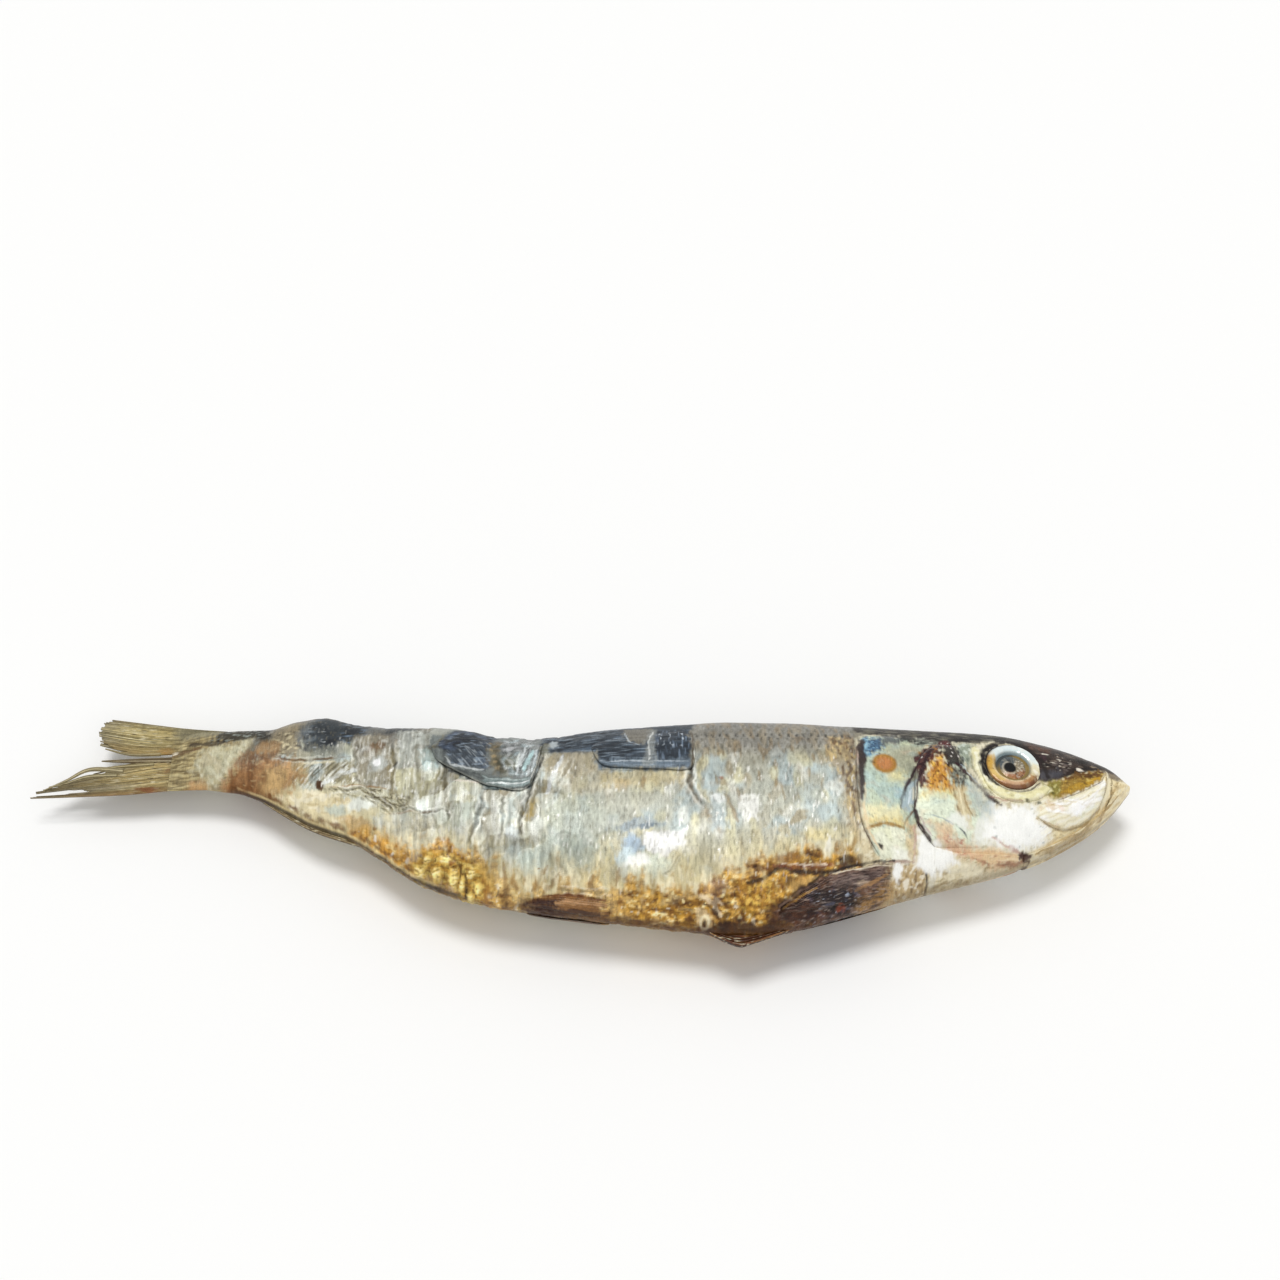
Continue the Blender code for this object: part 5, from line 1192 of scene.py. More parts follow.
def paint_gill(c):
    """The gill cover: orange-gold with clots above, cream below, and the V of dark lines behind it."""
    c.cover("#7f8270", ((53.6, 8), (55.6, 8.2), (55, 4.4), (53, 4.4)), 0.9, 0.6)
    c.cover("#adbfc4", ((52.7, 4.8), (54.6, 4.9), (54.1, 1.6), (52.9, -0.2), (51.8, -0.2)), 0.95, 0.6)
    c.streak("#e6eef2", ((53.6, 3.4), (53, 0.8)), 0.35, 0.7)
    c.flecks("#56636e", (0.4, 0.8, 0.8), 218, 0.12, 0.5,
             c.area(((55.4, 9), (55, 4), (53.8, 1), (53, 4)), 0.5))
    gill = c.cover("#e1e9d2", GILL_PLATE, 1, 0.3, 0.2, 0.32, 0.05)
    c.cover("#e3d69c", ((55.2, 4.2), (60.4, 4.4), (60.4, 2), (55, 1.8)), 0.9, 0.9)
    c.cover("#a3b3b2", ((61.8, 6.6), (64.9, 5), (67, 1.8), (66.2, -0.2), (63.2, 0.6)), 0.7, 1.6, 1.4)
    c.cover("#dcbc94", ((55.6, -2), (60.3, -2.2), (60.4, -4), (57, -4.4)), 0.75, 1, 1)
    mottle(c, gill, 211)
    grey = c.cover("#55544a", ((59.6, 8), (63, 7.8), (62.6, 4.6), (61, 3.4), (60, 4)), 0.85, 0.8, 1)
    c.flecks("#1d1a16", (0.5, 0.5, 0.5), 227, 0, 0.7, grey)
    c.flecks("#c3c1ac", (0.5, 0.7, 0.7), 228, 0.28, 0.6, grey)
    green = c.cover("#8d9a88", ((61.8, 13.9), (64.8, 13.9), (64, 8.4), (61.8, 8.8)), 0.9, 0.8)
    c.flecks("#dde6da", (0.7, 0.9, 0.9), 229, 0.12, 0.6, green, soft=0.35)
    c.flecks("#5f675c", (0.7, 0.9, 0.9), 230, 0.12, 0.6, green, soft=0.35)
    gold = c.cover("#c98a22", GILL_GOLD, 0.95, 1.2, 1.4)
    c.flecks("#f4c552", (0.6, 0.8, 0.8), 219, 0, 0.8, gold, soft=0.35)
    c.flecks("#5f330c", (0.4, 0.6, 0.6), 220, 0.12, 0.8, gold)
    c.flecks("#8c4f14", (1, 1.4, 1.4), 231, 0.1, 0.6, gold, soft=0.4)
    rear, front = c.area(REAR_CLOT, 0.5, 0.8), c.area(FRONT_CLOT, 0.5, 0.9)
    c.lay(0.95 * rear, "#4a181c", 0.25)
    c.lay(0.95 * front, "#181114", 0.25)
    c.cover("#5c1c1c", ((59.2, 14.6), (60.9, 14.6), (60.7, 12.4), (59.2, 12.4)), 0.85, 0.5)
    c.flecks("#1e080c", (0.8, 0.7, 0.7), 221, 0.05, 0.8, rear)
    c.flecks("#94641e", (0.9, 0.7, 0.7), 223, 0.1, 0.8, c.oval((57.4, 11.6), (2.2, 1.2), 40))
    clots = np.maximum(rear, front)
    # Painted glints: pale flecks on a glossier finish over the clots.
    c.flecks("#e9e2da", (0.5, 0.7, 0.7), 222, 0.42, 0.8, clots, 0.22)
    c.cover("#cdb688", ((60.2, 4.2), (62.5, 4.4), (63.4, -0.4), (62.3, -2.8), (60.9, 0.2)), 0.8, 0.6)
    c.streak("#f0e6c2", ((61.2, 3.8), (61.8, 0.6), (62.3, -1.8)), 0.5, 0.7)
    c.streak("#7c5c30", ((60.4, 3.6), (60.9, 0.6), (62, -2.4)), 0.35, 0.7, ragged=1, broken=0.6)
    c.streak("#8b6b3a", ((61.8, 4.4), (62.5, 0.7), (63.4, -0.8)), 0.3, 0.6, ragged=1, broken=0.6)
    c.cover("#f4f6ec", ((59.6, -0.6), (62.2, -0.8), (62.4, -3.4), (60.8, -2.4), (59, -1.8)), 0.9, 0.6)
    c.streak("#8fa0a8", ((55.6, -1.1), (58, -1.5), (60.2, -2.4), (61.3, -2.9), (62.2, -4)), 0.3, 0.6,
             ragged=1, broken=0.8)
    c.streak("#2b3038", ((61, -2.8), (61.8, -3.4), (62.3, -4.1)), 0.35, 0.8)
    c.cover("#d9b08c", ((57, -4.2), (59.1, -4), (62.4, -5.3), (64.8, -6.5), (61.5, -6.8), (58.5, -5.6)),
            0.85, 0.8, 0.9)
    c.flecks("#a8443a", (0.7, 0.5, 0.5), 216, 0.08, 0.6, c.oval((60.9, -5.1), (2.8, 1), -18), soft=0.35)
    white = ((54.4, -2.4), (55.4, -3.8), (57.2, -5.2), (60.4, -6.6), (60.6, -7.6), (56.7, -9.2), (54, -8.6))
    c.cover(WHITE, white, 0.95, 0.6, 0.7, 0.3)
    c.streak("#2a0d14", ((57.6, 11.2), (56, 8.2), (54.9, 5)), 0.8, 0.9, ragged=0.9)
    c.streak("#2a0d16", GILL_LINE, 0.55, 0.95, ragged=0.8)
    c.streak("#b08f98", ((54.8, -1.6), (55.5, -3.2), (56.6, -4.4)), 0.3, 0.6)
    c.streak("#f2ead0", ((54.1, 3.6), (53.8, 1.6)), 0.3, 0.8)
    c.streak("#2a0d16", ((56.8, 11.8), (54.7, 7.8), (53, 4.5), (52, 1.6), (51.7, -0.2)), 0.6, 0.95,
             ragged=0.8, taper=0.6)
    c.streak("#33161c", CHEEK_LINE, 0.8, 0.9, ragged=1.2, broken=0.4)
    c.streak("#b3c3d0", ((62, 8.4), (63.3, 6.6), (65, 5)), 0.25, 0.6)


def paint_snout(c):
    """Dark crown and snout with an olive-gold lower edge."""
    edge = np.interp(c.wx, *CROWN_EDGE)
    crown = step_up(c.wy + 0.4 * c.fray - edge, -0.4, 0.5)
    c.lay(crown, "#2f2a24", 0.5, 0)
    rear = crown * step_up(c.x, 76, 66)
    c.flecks("#6f6b58", (1.8, 0.8, 0.8), 74, 0.05, 0.6, rear, soft=0.4)
    c.flecks("#100c09", (2.2, 1, 1), 75, 0, 0.7, crown, 0.5, soft=0.4)
    c.flecks("#8e8a78", (2.2, 0.4, 0.4), 76, 0.28, 0.45, rear, 0.3)
    snout = crown * step_up(c.x, 72.5, 74.5)
    c.lay(0.9 * snout, "#281a12", 0.42)
    c.flecks("#4b3c33", (2.4, 1.5, 1.5), 77, -0.05, 0.5, snout, 0.4, soft=0.5)
    c.flecks("#0d0806", (1.8, 0.9, 0.9), 78, 0, 0.75, snout, 0.5, soft=0.4)
    c.flecks("#7d6d5e", (2.2, 0.5, 0.5), 92, 0.28, 0.4, snout, 0.3)
    c.cover("#4b4b52", ((75.4, 8.6), (78.8, 9.4), (78.6, 7.6), (75.4, 7)), 0.8, 0.7)
    c.cover("#3d2229", ((74.4, 12.2), (76.8, 12.4), (76.6, 10.6), (74.6, 10.4)), 0.7, 0.6)
    c.cover("#5c3620", ((74, 15.6), (77.8, 14.2), (77.4, 12.9), (74.4, 13.8)), 0.7, 1)
    # Painted glints: pale flecks on a glossier finish, where the snout shines.
    shine = np.maximum(c.oval((77.4, 10.1), (1.5, 0.9)), c.oval((79.4, 10.6), (1.3, 1.7)))
    c.flecks("#e6dccb", (0.9, 0.35, 0.35), 93, 0.26, 0.8, shine, 0.22)
    c.flecks("#7d706a", (1.6, 0.8, 0.8), 96, 0.05, 0.45, shine, 0.3, soft=0.4)
    # The three near-white dabs are painted glints.
    c.dabs(
        ("#efe6d6", 76.6, 12.6, 0.7, 0.2, 0.9, -8),
        ("#efe6d6", 82.3, 10, 0.8, 0.25, 0.9, 0),
        ("#e9dccb", 83.6, 8.9, 0.4, 0.2, 0.85, 0),
        ("#a3927a", 85, 11.2, 0.8, 0.25, 0.6, 0),
    )
    c.cover("#96731e", ((75.9, 6.3), (78, 7), (79.6, 8), (81.5, 9), (83.2, 9.5), (84.9, 10), (86.7, 10.8),
                        (86.4, 9.6), (85.5, 8.1), (82.7, 6.3), (80.5, 5.1), (78.3, 4), (76.3, 4)), 0.95,
            0.35, 0.5)
    c.streak("#c0952a", ((78.6, 5.1), (80.6, 6.1), (83, 7.3), (85.4, 8.8)), 0.9, 0.8, ragged=1.2)
    c.streak("#5a3410", ((79.8, 7.8), (82, 8.7), (84.6, 9.3), (86.4, 10.3)), 1.2, 0.85, ragged=1.2)
    lip = c.line(((77.8, 5.6), (80.4, 6.8), (83, 7.9), (86, 9.6)), 2.2, 0.4)
    c.flecks("#3c270c", (1.2, 0.4, 0.4), 97, 0.1, 0.6, lip, 0.32, soft=0.3)
    c.flecks("#e2c66a", (0.8, 0.35, 0.35), 98, 0.22, 0.6, lip, 0.25)
    olive = c.cover("#857e3c", ((75.4, 6.4), (78.4, 7), (78.3, 4), (75.8, 4.2)), 0.85, 0.6)
    c.flecks("#2d2812", (0.6, 0.6, 0.6), 94, 0.12, 0.6, olive, soft=0.35)
    c.flecks("#d6cf8c", (0.6, 0.6, 0.6), 95, 0.12, 0.6, olive, soft=0.35)
    c.streak("#5b4630", ((78.2, 3.9), (80.5, 4.9), (82.7, 6.1), (85.5, 7.8), (86.4, 9.4)), 0.25, 0.7,
             ragged=0.8)
    c.dab("#6b5c4b", (88.4, 10.6), (2, 1.4), 0.85)
    c.dab("#2d251e", (87.6, 11.8), (1.8, 0.9), 0.9)


def paint_jaws(c):
    """The translucent upper jaw, the strip before it and the lined, cream lower jaw."""
    jaw = c.area(((72.4, -5.1), (80.9, -0.6), (86.7, 4.4), (90.1, 8.1), (92, 10), (92, 7), (86, 0),
                  (78, -5), (73, -7)), 0.5)
    c.lay(jaw, "#f3e3b8", 0.36, 0)
    jaw_lines = waves(c.q @ JAW_TURN, (6, 0.42, 1), 82)
    low = np.maximum(jaw, c.area(((74.6, -0.2), (79, -1.4), (84, 2.2), (88, 8), (91, 9), (85, 0), (76, -5)),
                                 0.6))
    c.lay(0.4 * low * step_up(jaw_lines, 0.05, 0.4), "#c2a571")
    c.lay(0.6 * low * step_up(jaw_lines, -0.1, -0.45), "#fff9e2")
    bone = c.cover("#f0e9cc", MAXILLA, 1, 0.3, 0.3, 0.28, 0)
    c.flecks("#ffffff", (2.2, 1.6, 1.6), 104, -0.15, 0.7, bone, soft=0.5)
    c.flecks("#d9dcc0", (2, 1.2, 1.2), 105, 0.1, 0.5, bone, soft=0.4)
    # Three tan lines on the upper jaw, each with a painted highlight beside it: a white line a little above.
    for points in (((75.6, 2.6), (79, 2.6), (82.6, 4.6)), ((77, 1), (80.4, 1.2), (84, 4.4)),
                   ((79, 3.6), (82.4, 3.2), (85.2, 6.4))):
        c.streak("#c3b084", points, 0.3, 0.5, broken=0.7)
        c.streak("#ffffff", tuple((x + 0.2, y + 0.4) for x, y in points), 0.5, 0.7)
    c.streak("#b0925c", ((74, 0.2), (76.1, -0.6), (78.7, -0.8), (82.2, 0.9), (84.8, 3.2), (86.3, 5.5)),
             0.34, 0.7, ragged=1, broken=0.6)
    # Painted light and shade of fine wrinkles: white on their crests, on a glossier finish, and darker in
    # their troughs.
    wrinkles = np.sin(7 * (c.y - 0.55 * c.x) + 2.4 * c.noise((1.6, 1.2, 1.2), 97, bone))
    c.lay(0.25 * bone * step_up(wrinkles, 0.3, 0.95), "#ffffff", 0.22)
    c.lay(0.25 * bone * step_up(wrinkles, -0.4, -0.95), "#b5a277")
    c.flecks("#c9a06c", (1.4, 1.6, 1.6), 98, 0.15, 0.45, bone * step_up(c.x, 80, 76), soft=0.4)
    c.dabs(("#d8b98a", 76.6, 2.6, 0.8, 0.9, 0.55, 0), ("#e6c2a6", 78, 2.2, 0.5, 0.8, 0.4, 0),
           ("#ffffff", 80.8, 2.4, 1.6, 0.8, 0.8, 20))
    c.streak("#f2e8c8", ((87.2, 11.1), (87, 9), (86.6, 6.4), (85.4, 3.8)), 0.8, 0.95, ragged=0.3)
    c.streak("#7d6a45", ((87.7, 10.8), (87.6, 8.8), (87.2, 6.2), (86, 3.4)), 0.26, 0.8)
    c.streak("#8c7144", ((86.6, 10.4), (86.4, 8.4), (85.8, 5.6)), 0.26, 0.75)
    c.streak("#a3844f", ((73.8, -4.7), (77.3, -3), (81.7, -0.3), (85.3, 2.6), (88.4, 6.2)), 0.35, 0.8,
             ragged=0.6)


def paint_socket(c):
    """The yellow crescent under the eye, its dark lines and the dark seat of the eye."""
    crescent = ((64.9, 12.6), (65.2, 8.4), (66.4, 5.4), (68.2, 3.8), (71.2, 3.3), (73.8, 4), (76.2, 5.3))
    moon = c.line(crescent, 1.8, 0.6, 0.3, 0)
    c.lay(0.95 * moon, "#ece5b4", 0.3)
    c.flecks("#bdb37c", (1.4, 0.8, 0.8), 88, 0.15, 0.5, moon)
    c.flecks("#f6f4d8", (1.2, 0.7, 0.7), 89, 0.1, 0.7, moon)
    c.streak("#f8f6de", ((65, 11.6), (65.3, 8), (67, 4.8)), 0.9, 0.8)
    c.streak("#716a40", ((64, 11.8), (64.2, 8), (65.6, 4.6), (67.6, 2.8)), 0.3, 0.6, broken=0.7)
    c.streak("#a97c6a", ((66.4, 3), (68.8, 2.6), (71.8, 2.6)), 0.35, 0.7, ragged=1)
    c.dabs(("#3a3222", 67.6, 2, 0.4, 0.3, 0.8, 0), ("#4a4428", 72.6, 3, 0.4, 0.2, 0.8, 0),
           ("#3f4632", 74.5, 3, 0.5, 0.3, 0.8, 0))
    c.streak("#2a1c12", ((67.2, 5.8), (69.2, 4.6), (71.4, 4.3), (73.4, 4.8), (75, 6.2)), 0.45, 0.8,
             ragged=0.8)
    c.streak("#130c0a", ((68.6, 13.9), (66.4, 12.4), (65.9, 9.6), (66.3, 7), (67.6, 5.2)), 1.3, 1, broken=0.1)
    c.streak("#1c130e", ((67.4, 13.6), (70.4, 15), (73.6, 13.8), (76, 10.6), (76.4, 7.6)), 1.1, 0.9,
             broken=0.2)
    c.dab("#3a1414", (71.9, -5.4), (0.8, 0.55), 0.95)
    from_eye = np.hypot(c.x - EYE_CENTRE[0], c.y - EYE_CENTRE[1])
    bearing = np.arctan2(c.y - EYE_CENTRE[1], c.x - EYE_CENTRE[0])
    behind = step_up(np.cos(bearing - math.radians(135)) + 0.15 * c.fray, -0.05, 0.25)
    c.lay(behind * step_up(from_eye, 4.9, 4.6), "#160f0c", 0.45)
    below = step_up(np.cos(bearing - math.radians(285)), 0, 0.4)
    c.lay(0.9 * below * step_up(from_eye, 4.55, 4.3), "#38261a", 0.45)
    c.lay(step_up(from_eye, 4, 3.6), "#86713f", 0.4)
    c.lay(step_up(from_eye, 4, 3.6) * step_up(c.x - c.y, 60.4, 58.2), "#3d4547", 0.4)


def paint_head(c):
    """White cheek, throat and base of the breast fin, then the plates, jaws, snout and socket."""
    c.prime("#ddd6ba", silver=0.03)
    c.lay(step_up(c.wy, -4.8, -6.4), "#d6c8a4")
    c.lay(step_up(c.wx, 73, 78), "#eedfb4")
    c.flecks("#a28f66", (0.9, 0.4, 0.4), 72, 0.16, 0.5)
    c.flecks("#efe7cb", (1.4, 0.5, 0.5), 81, 0.15, 0.6)
    throat = step_up(c.wy, -6.2, -7.4) * step_up(c.x, 55, 57)
    c.lay(0.6 * throat * step_up(waves(c.q @ JAW_TURN, (5, 0.4, 1), 83), 0.05, 0.4), "#8d7650")
    c.cover("#f4ecd0", ((58, -7.6), (66, -7.4), (71, -6.4), (66, -8.2), (59, -9.2)), 0.7, 0.5)
    c.cover("#eef0e6", ((62.6, 0.6), (66.8, 1.4), (66, -4.6), (63.2, -4.6)), 0.9, 1.2, 1.2)
    # The cheek: its own silver-white, painted up to a pure white highlight on a glossier finish.
    c.cover(WHITE, CHEEK, 1, 1.2, 1.4, 0.3, 0)
    c.specks("#8f9a94", 1.3, 84, 0.35, 0.6, c.area(CHEEK, 1.2) * (1 - c.oval((70.5, -1.2), (3.6, 2.6))))
    mandible = c.cover("#e3c498", MANDIBLE, 0.9, 0.5, 0.6)
    c.flecks("#b0705a", (1.6, 0.6, 0.6), 85, 0.08, 0.45, mandible, soft=0.4)
    c.flecks("#f0dcb8", (1.4, 0.5, 0.5), 138, 0.1, 0.6, mandible)
    c.streak("#a86250", ((66.6, -3.4), (68.8, -4.4), (71.6, -5)), 0.6, 0.6, ragged=1.2, broken=0.8)
    c.streak("#8c5038", ((63, -6.6), (66.2, -7.2), (70.3, -6.2), (72, -5.6)), 0.4, 0.7, ragged=1, broken=0.6)
    base = c.cover("#bfa67a", ((50, -8.2), (55.4, -7.9), (55.6, -12), (50.4, -13)), 0.95, 0.5)
    c.flecks("#7a6244", (0.6, 1, 1), 86, 0.1, 0.7, base)
    # Painted highlights on the base of the breast fin: pale flecks on a glossier finish, and two white dabs.
    c.flecks("#efe6cf", (0.7, 0.8, 0.8), 87, 0.15, 0.8, base, 0.22)
    c.dabs((WHITE, 50.8, -9.5, 0.7, 1, 0.95, 0), ("#f0e8d4", 52.4, -10.6, 0.5, 0.8, 0.9, 0),
           ("#cfcfc4", 56.5, -9.6, 0.5, 1.2, 0.5, 0))
    c.streak("#1b100d", ((55.3, -8.3), (55.6, -9.7), (55.8, -10.6), (55.4, -11.6)), 0.5, 0.95, ragged=0.5)
    paint_shoulder(c)
    paint_gill(c)
    paint_jaws(c)
    paint_snout(c)
    paint_socket(c)
    c.lay(0.6 * step_up(c.t, -0.95, -1), "#7f6c4c")


def paint_fish(c):
    """All the colours of the body, its plates, its flaps and its folded fins; gives the fine relief too."""
    r = Relief(c)
    paint_flank(c)
    paint_hump(c)
    paint_rear_panels(c, r)
    paint_foil(c)
    paint_rear_flank(c, r)
    paint_pleats(c, r)
    paint_middle(c)
    paint_tail_root(c)
    paint_rust(c)
    paint_amber(c, r)
    paint_belly_front(c, r)
    paint_clump(c, r)
    paint_belly_edge(c)
    paint_grain(c, r)
    # Painted shade in the grooves of the creases, in patches, and a painted highlight on their raised lips.
    c.lay(0.7 * r.creased * (0.4 + 0.6 * c.worn), "#4b412b", 0.5)
    c.lay(0.6 * r.lipped, "#f4f3e8", 0.28)
    paint_back_skin(c)
    head = Coat(c.points, c.side)
    paint_head(head)
    c.take(head, step_up(c.x, 44.9, 45.5))
    paint_breast_fin(c)
    paint_belly_fin(c)
    # Painted light and shade of the fine relief: raised places lighter, sunk ones darker.
    c.tint(np.clip(1 + 1.8 * r.height, 0.5, 1.5))
    return r


def turned_outward(points, faces):
    """The faces of a closed piece, turned so that they face outward."""
    volume = 0.0
    for group in faces:
        for k in range(1, group.shape[1] - 1):
            a, b, c = points[group[:, 0]], points[group[:, k]], points[group[:, k + 1]]
            volume += (a * np.cross(b, c)).sum()
    return faces if volume > 0 else [group[:, ::-1] for group in faces]


def make_piece(name, points, faces, coat, material, normals=None):
    """A closed piece from points of the plan, kept inside the solid's box, in the colours of its coat."""
    world = np.clip(points + SHIFT, solid_low, solid_high) * MM
    mesh = bpy.data.meshes.new(name)
    outward = turned_outward(points, faces)
    mesh.from_pydata(world.tolist(), [], [tuple(face) for group in outward for face in group.tolist()])
    mesh.shade_smooth()
    if normals is not None:
        mesh.normals_split_custom_set_from_vertices(normals.tolist())
    # Pale skin shows less grain than dark skin.
    grain = 0.95 - 0.75 * step_up(coat.rgb.mean(axis=1), 0.15, 0.85)
    layers = {"paint": coat.rgb, "finish": np.stack((coat.rough, coat.silver, grain), axis=1)}
    for layer, values in layers.items():
        attribute = mesh.color_attributes.new(layer, "FLOAT_COLOR", "POINT")
        rgba = np.concatenate((np.clip(values, 0, 1), np.ones((len(values), 1))), axis=1)
        attribute.data.foreach_set("color", rgba.astype(np.float32).ravel())
    mesh.materials.append(material)
    obj = bpy.data.objects.new(name, mesh)
    bpy.context.scene.collection.objects.link(obj)
    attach(obj, "root")
    return obj


def tube_faces(rows, columns):
    """Faces of a closed tube of rows of columns points, with a fan at each end to the two last points."""
    base = np.arange(rows - 1)[:, None] * columns
    k = np.arange(columns)
    ahead = (k + 1) % columns
    next_row = base + columns
    sides = np.stack((base + k, next_row + k, next_row + ahead, base + ahead), axis=-1).reshape(-1, 4)
    first, last = rows * columns, rows * columns + 1
    start = np.stack((k, ahead, np.full(columns, first)), axis=1)
    end = np.stack(((rows - 1) * columns + ahead, (rows - 1) * columns + k, np.full(columns, last)), axis=1)
    return [sides, start, end]


def closed_tube(grid):
    """Points and faces of a tube whose ends are closed by a fan."""
    rows, columns = grid.shape[:2]
    ends = np.stack((grid[0].mean(0), grid[-1].mean(0)))
    return np.concatenate((grid.reshape(-1, 3), ends)), tube_faces(rows, columns)


def sheet_faces(rows, columns):
    """Faces of a closed sheet: an upper grid, a lower grid and the rim between them."""
    cell = (np.arange(rows - 1)[:, None] * columns + np.arange(columns - 1)).ravel()
    upper = np.stack((cell, cell + columns, cell + columns + 1, cell + 1), axis=1)
    layer = rows * columns
    rim = list(range(columns))
    rim += [i * columns + columns - 1 for i in range(1, rows)]
    rim += [(rows - 1) * columns + j for j in range(columns - 2, -1, -1)]
    rim += [i * columns for i in range(rows - 2, 0, -1)]
    rim = np.array(rim)
    ahead = np.roll(rim, -1)
    walls = np.stack((rim, ahead, layer + ahead, layer + rim), axis=1)
    return [upper, upper[:, ::-1] + layer, walls]


def shares(rows, columns):
    """Two grids of shares from 0 to 1, one down the rows of cells and one along their columns."""
    return np.meshgrid(np.linspace(0, 1, rows + 1), np.linspace(0, 1, columns + 1), indexing="ij")


def full_turn(count):
    """Angles of count points evenly round a circle."""
    return np.linspace(0, 2 * math.pi, count + 1)[:-1]


def listed(x, y, z):
    """One row of three numbers for each place of three grids."""
    return np.stack((x, y, z), axis=-1).reshape(-1, 3)


def grid_normals(grid, closed):
    """Unit normals of a grid of points, whose columns run round a closed ring if closed."""
    along = np.gradient(grid, axis=0)
    if closed:
        round_it = np.roll(grid, -1, axis=1) - np.roll(grid, 1, axis=1)
    else:
        round_it = np.gradient(grid, axis=1)
    normals = np.cross(along, round_it)
    return normals / np.maximum(np.linalg.norm(normals, axis=2, keepdims=True), 1e-9)


# The body's skin: step between its rings of points, cells round its upper and its lower flank, the place
# where it is split in two, points that a flank is measured with, and the blend of its relief at its ends.
BODY_STEP = 0.21
UPPER_CELLS = 190
LOWER_CELLS = 90
TRUNK_SPLIT = -12.0
SKIN_SAMPLES = 260
END_BLEND = 3.0


def flank_rows(xs, side, count):
    """Points of one flank from the back's edge to the belly's edge, evenly spaced along the skin."""
    turn = np.cos(np.linspace(0, math.pi, SKIN_SAMPLES))
    back, belly = back_edge(xs), belly_edge(xs)
    ys = (back + belly)[:, None] / 2 + (back - belly)[:, None] / 2 * turn
    zs = flank(np.broadcast_to(xs[:, None], ys.shape), ys, side)
    runs = np.hypot(np.diff(ys, axis=1), np.diff(zs, axis=1))
    along = np.concatenate((np.zeros((len(xs), 1)), np.cumsum(runs, axis=1)), axis=1)
    places = np.stack([np.interp(np.linspace(0, a[-1], count + 1), a, y) for a, y in zip(along, ys)])
    wide = np.broadcast_to(xs[:, None], places.shape)
    return np.stack((wide, places, flank(wide, places, side)), axis=2)


def body_pieces(skin):
    """Trunk and head over the solid's loft, with fine relief: three pieces by name that share end rings."""
    trunk = np.linspace(BODY_END, HEAD_SEAM, round((HEAD_SEAM - BODY_END) / BODY_STEP) + 1)
    head = np.linspace(HEAD_SEAM, JAW_TIP, round((JAW_TIP - HEAD_SEAM) / BODY_STEP) + 1)
    xs = np.concatenate((trunk, head[1:]))
    upper, lower = flank_rows(xs, UP, UPPER_CELLS), flank_rows(xs, DOWN, LOWER_CELLS)
    grid = np.concatenate((upper[:, :-1], lower[:, :0:-1]), axis=1)
    rows, columns = grid.shape[:2]
    outward = grid_normals(grid, True)
    outward *= np.sign(outward[rows // 2, UPPER_CELLS // 2, 2])
    side = np.tile(np.where(np.arange(columns) < UPPER_CELLS, UP, DOWN), rows)
    flat = grid.reshape(-1, 3)
    coat = Coat(flat, side)
    relief = paint_fish(coat)
    height = relief.height.reshape(rows, columns, 1)
    ends = step_up(xs, BODY_END, BODY_END + END_BLEND) * step_up(xs, JAW_TIP, JAW_TIP - END_BLEND)
    grid = grid + outward * height * ends[:, None, None]
    grid[..., 2] = np.maximum(grid[..., 2], 0.0)
    normals = grid_normals(grid, True)
    normals *= np.sign(normals[rows // 2, UPPER_CELLS // 2, 2])
    split = int(np.argmin(np.abs(xs - TRUNK_SPLIT)))
    seam = len(trunk) - 1
    pieces = {}
    stretches = (
        ("trunk_rear_skin", 0, split),
        ("trunk_front_skin", split, seam),
        ("head_skin", seam, rows - 1),
    )
    for name, first, last in stretches:
        rows_of = slice(first, last + 1)
        points, faces = closed_tube(grid[rows_of])
        cover = Coat(points, UP)
        chosen = slice(first * columns, (last + 1) * columns)
        for layer in ("rgb", "rough", "silver"):
            getattr(cover, layer)[:-2] = getattr(coat, layer)[chosen]
        straight = np.array(((-1.0, 0.0, 0.0), (1.0, 0.0, 0.0)))
        smooth = np.concatenate((normals[rows_of].reshape(-1, 3), straight))
        pieces[name] = make_piece(name, points, faces, cover, skin, smooth)
    return pieces


def flap_lift(rise, ripple=0.0, rays=0, lip=0.0):
    """Height of a sheet that stands proud at its free edge, v 0, and runs into the flank at the other."""

    def lift(u, v):
        ends = np.sqrt(1 - np.abs(2 * u - 1) ** 5)
        rim = 0.7 + 0.3 * np.minimum(1.0, v / 0.25)
        sunk = 0.25 * np.maximum(v**3, 1 - ends)
        height = rise * ends * rim * (1 - v**3) + ripple * np.cos(2 * math.pi * rays * v)
        return height + lip * ends * bump(v - 0.07, 0.08) - sunk

    return lift


def plate_lift(rise, rim_rise):
    """Height of a sheet that stands rise proud in its middle and rim_rise at its rim."""

    def lift(u, v):
        share = np.minimum(1.0, np.minimum(np.minimum(u, 1 - u), np.minimum(v, 1 - v)) / 0.22)
        return rim_rise + (rise - rim_rise) * share * (2 - share)

    return lift


# The rounded rim of a sheet: its width in cells, and the share of the thickness that its edge keeps.
RIM_CELLS = 4
RIM_EDGE = 0.04


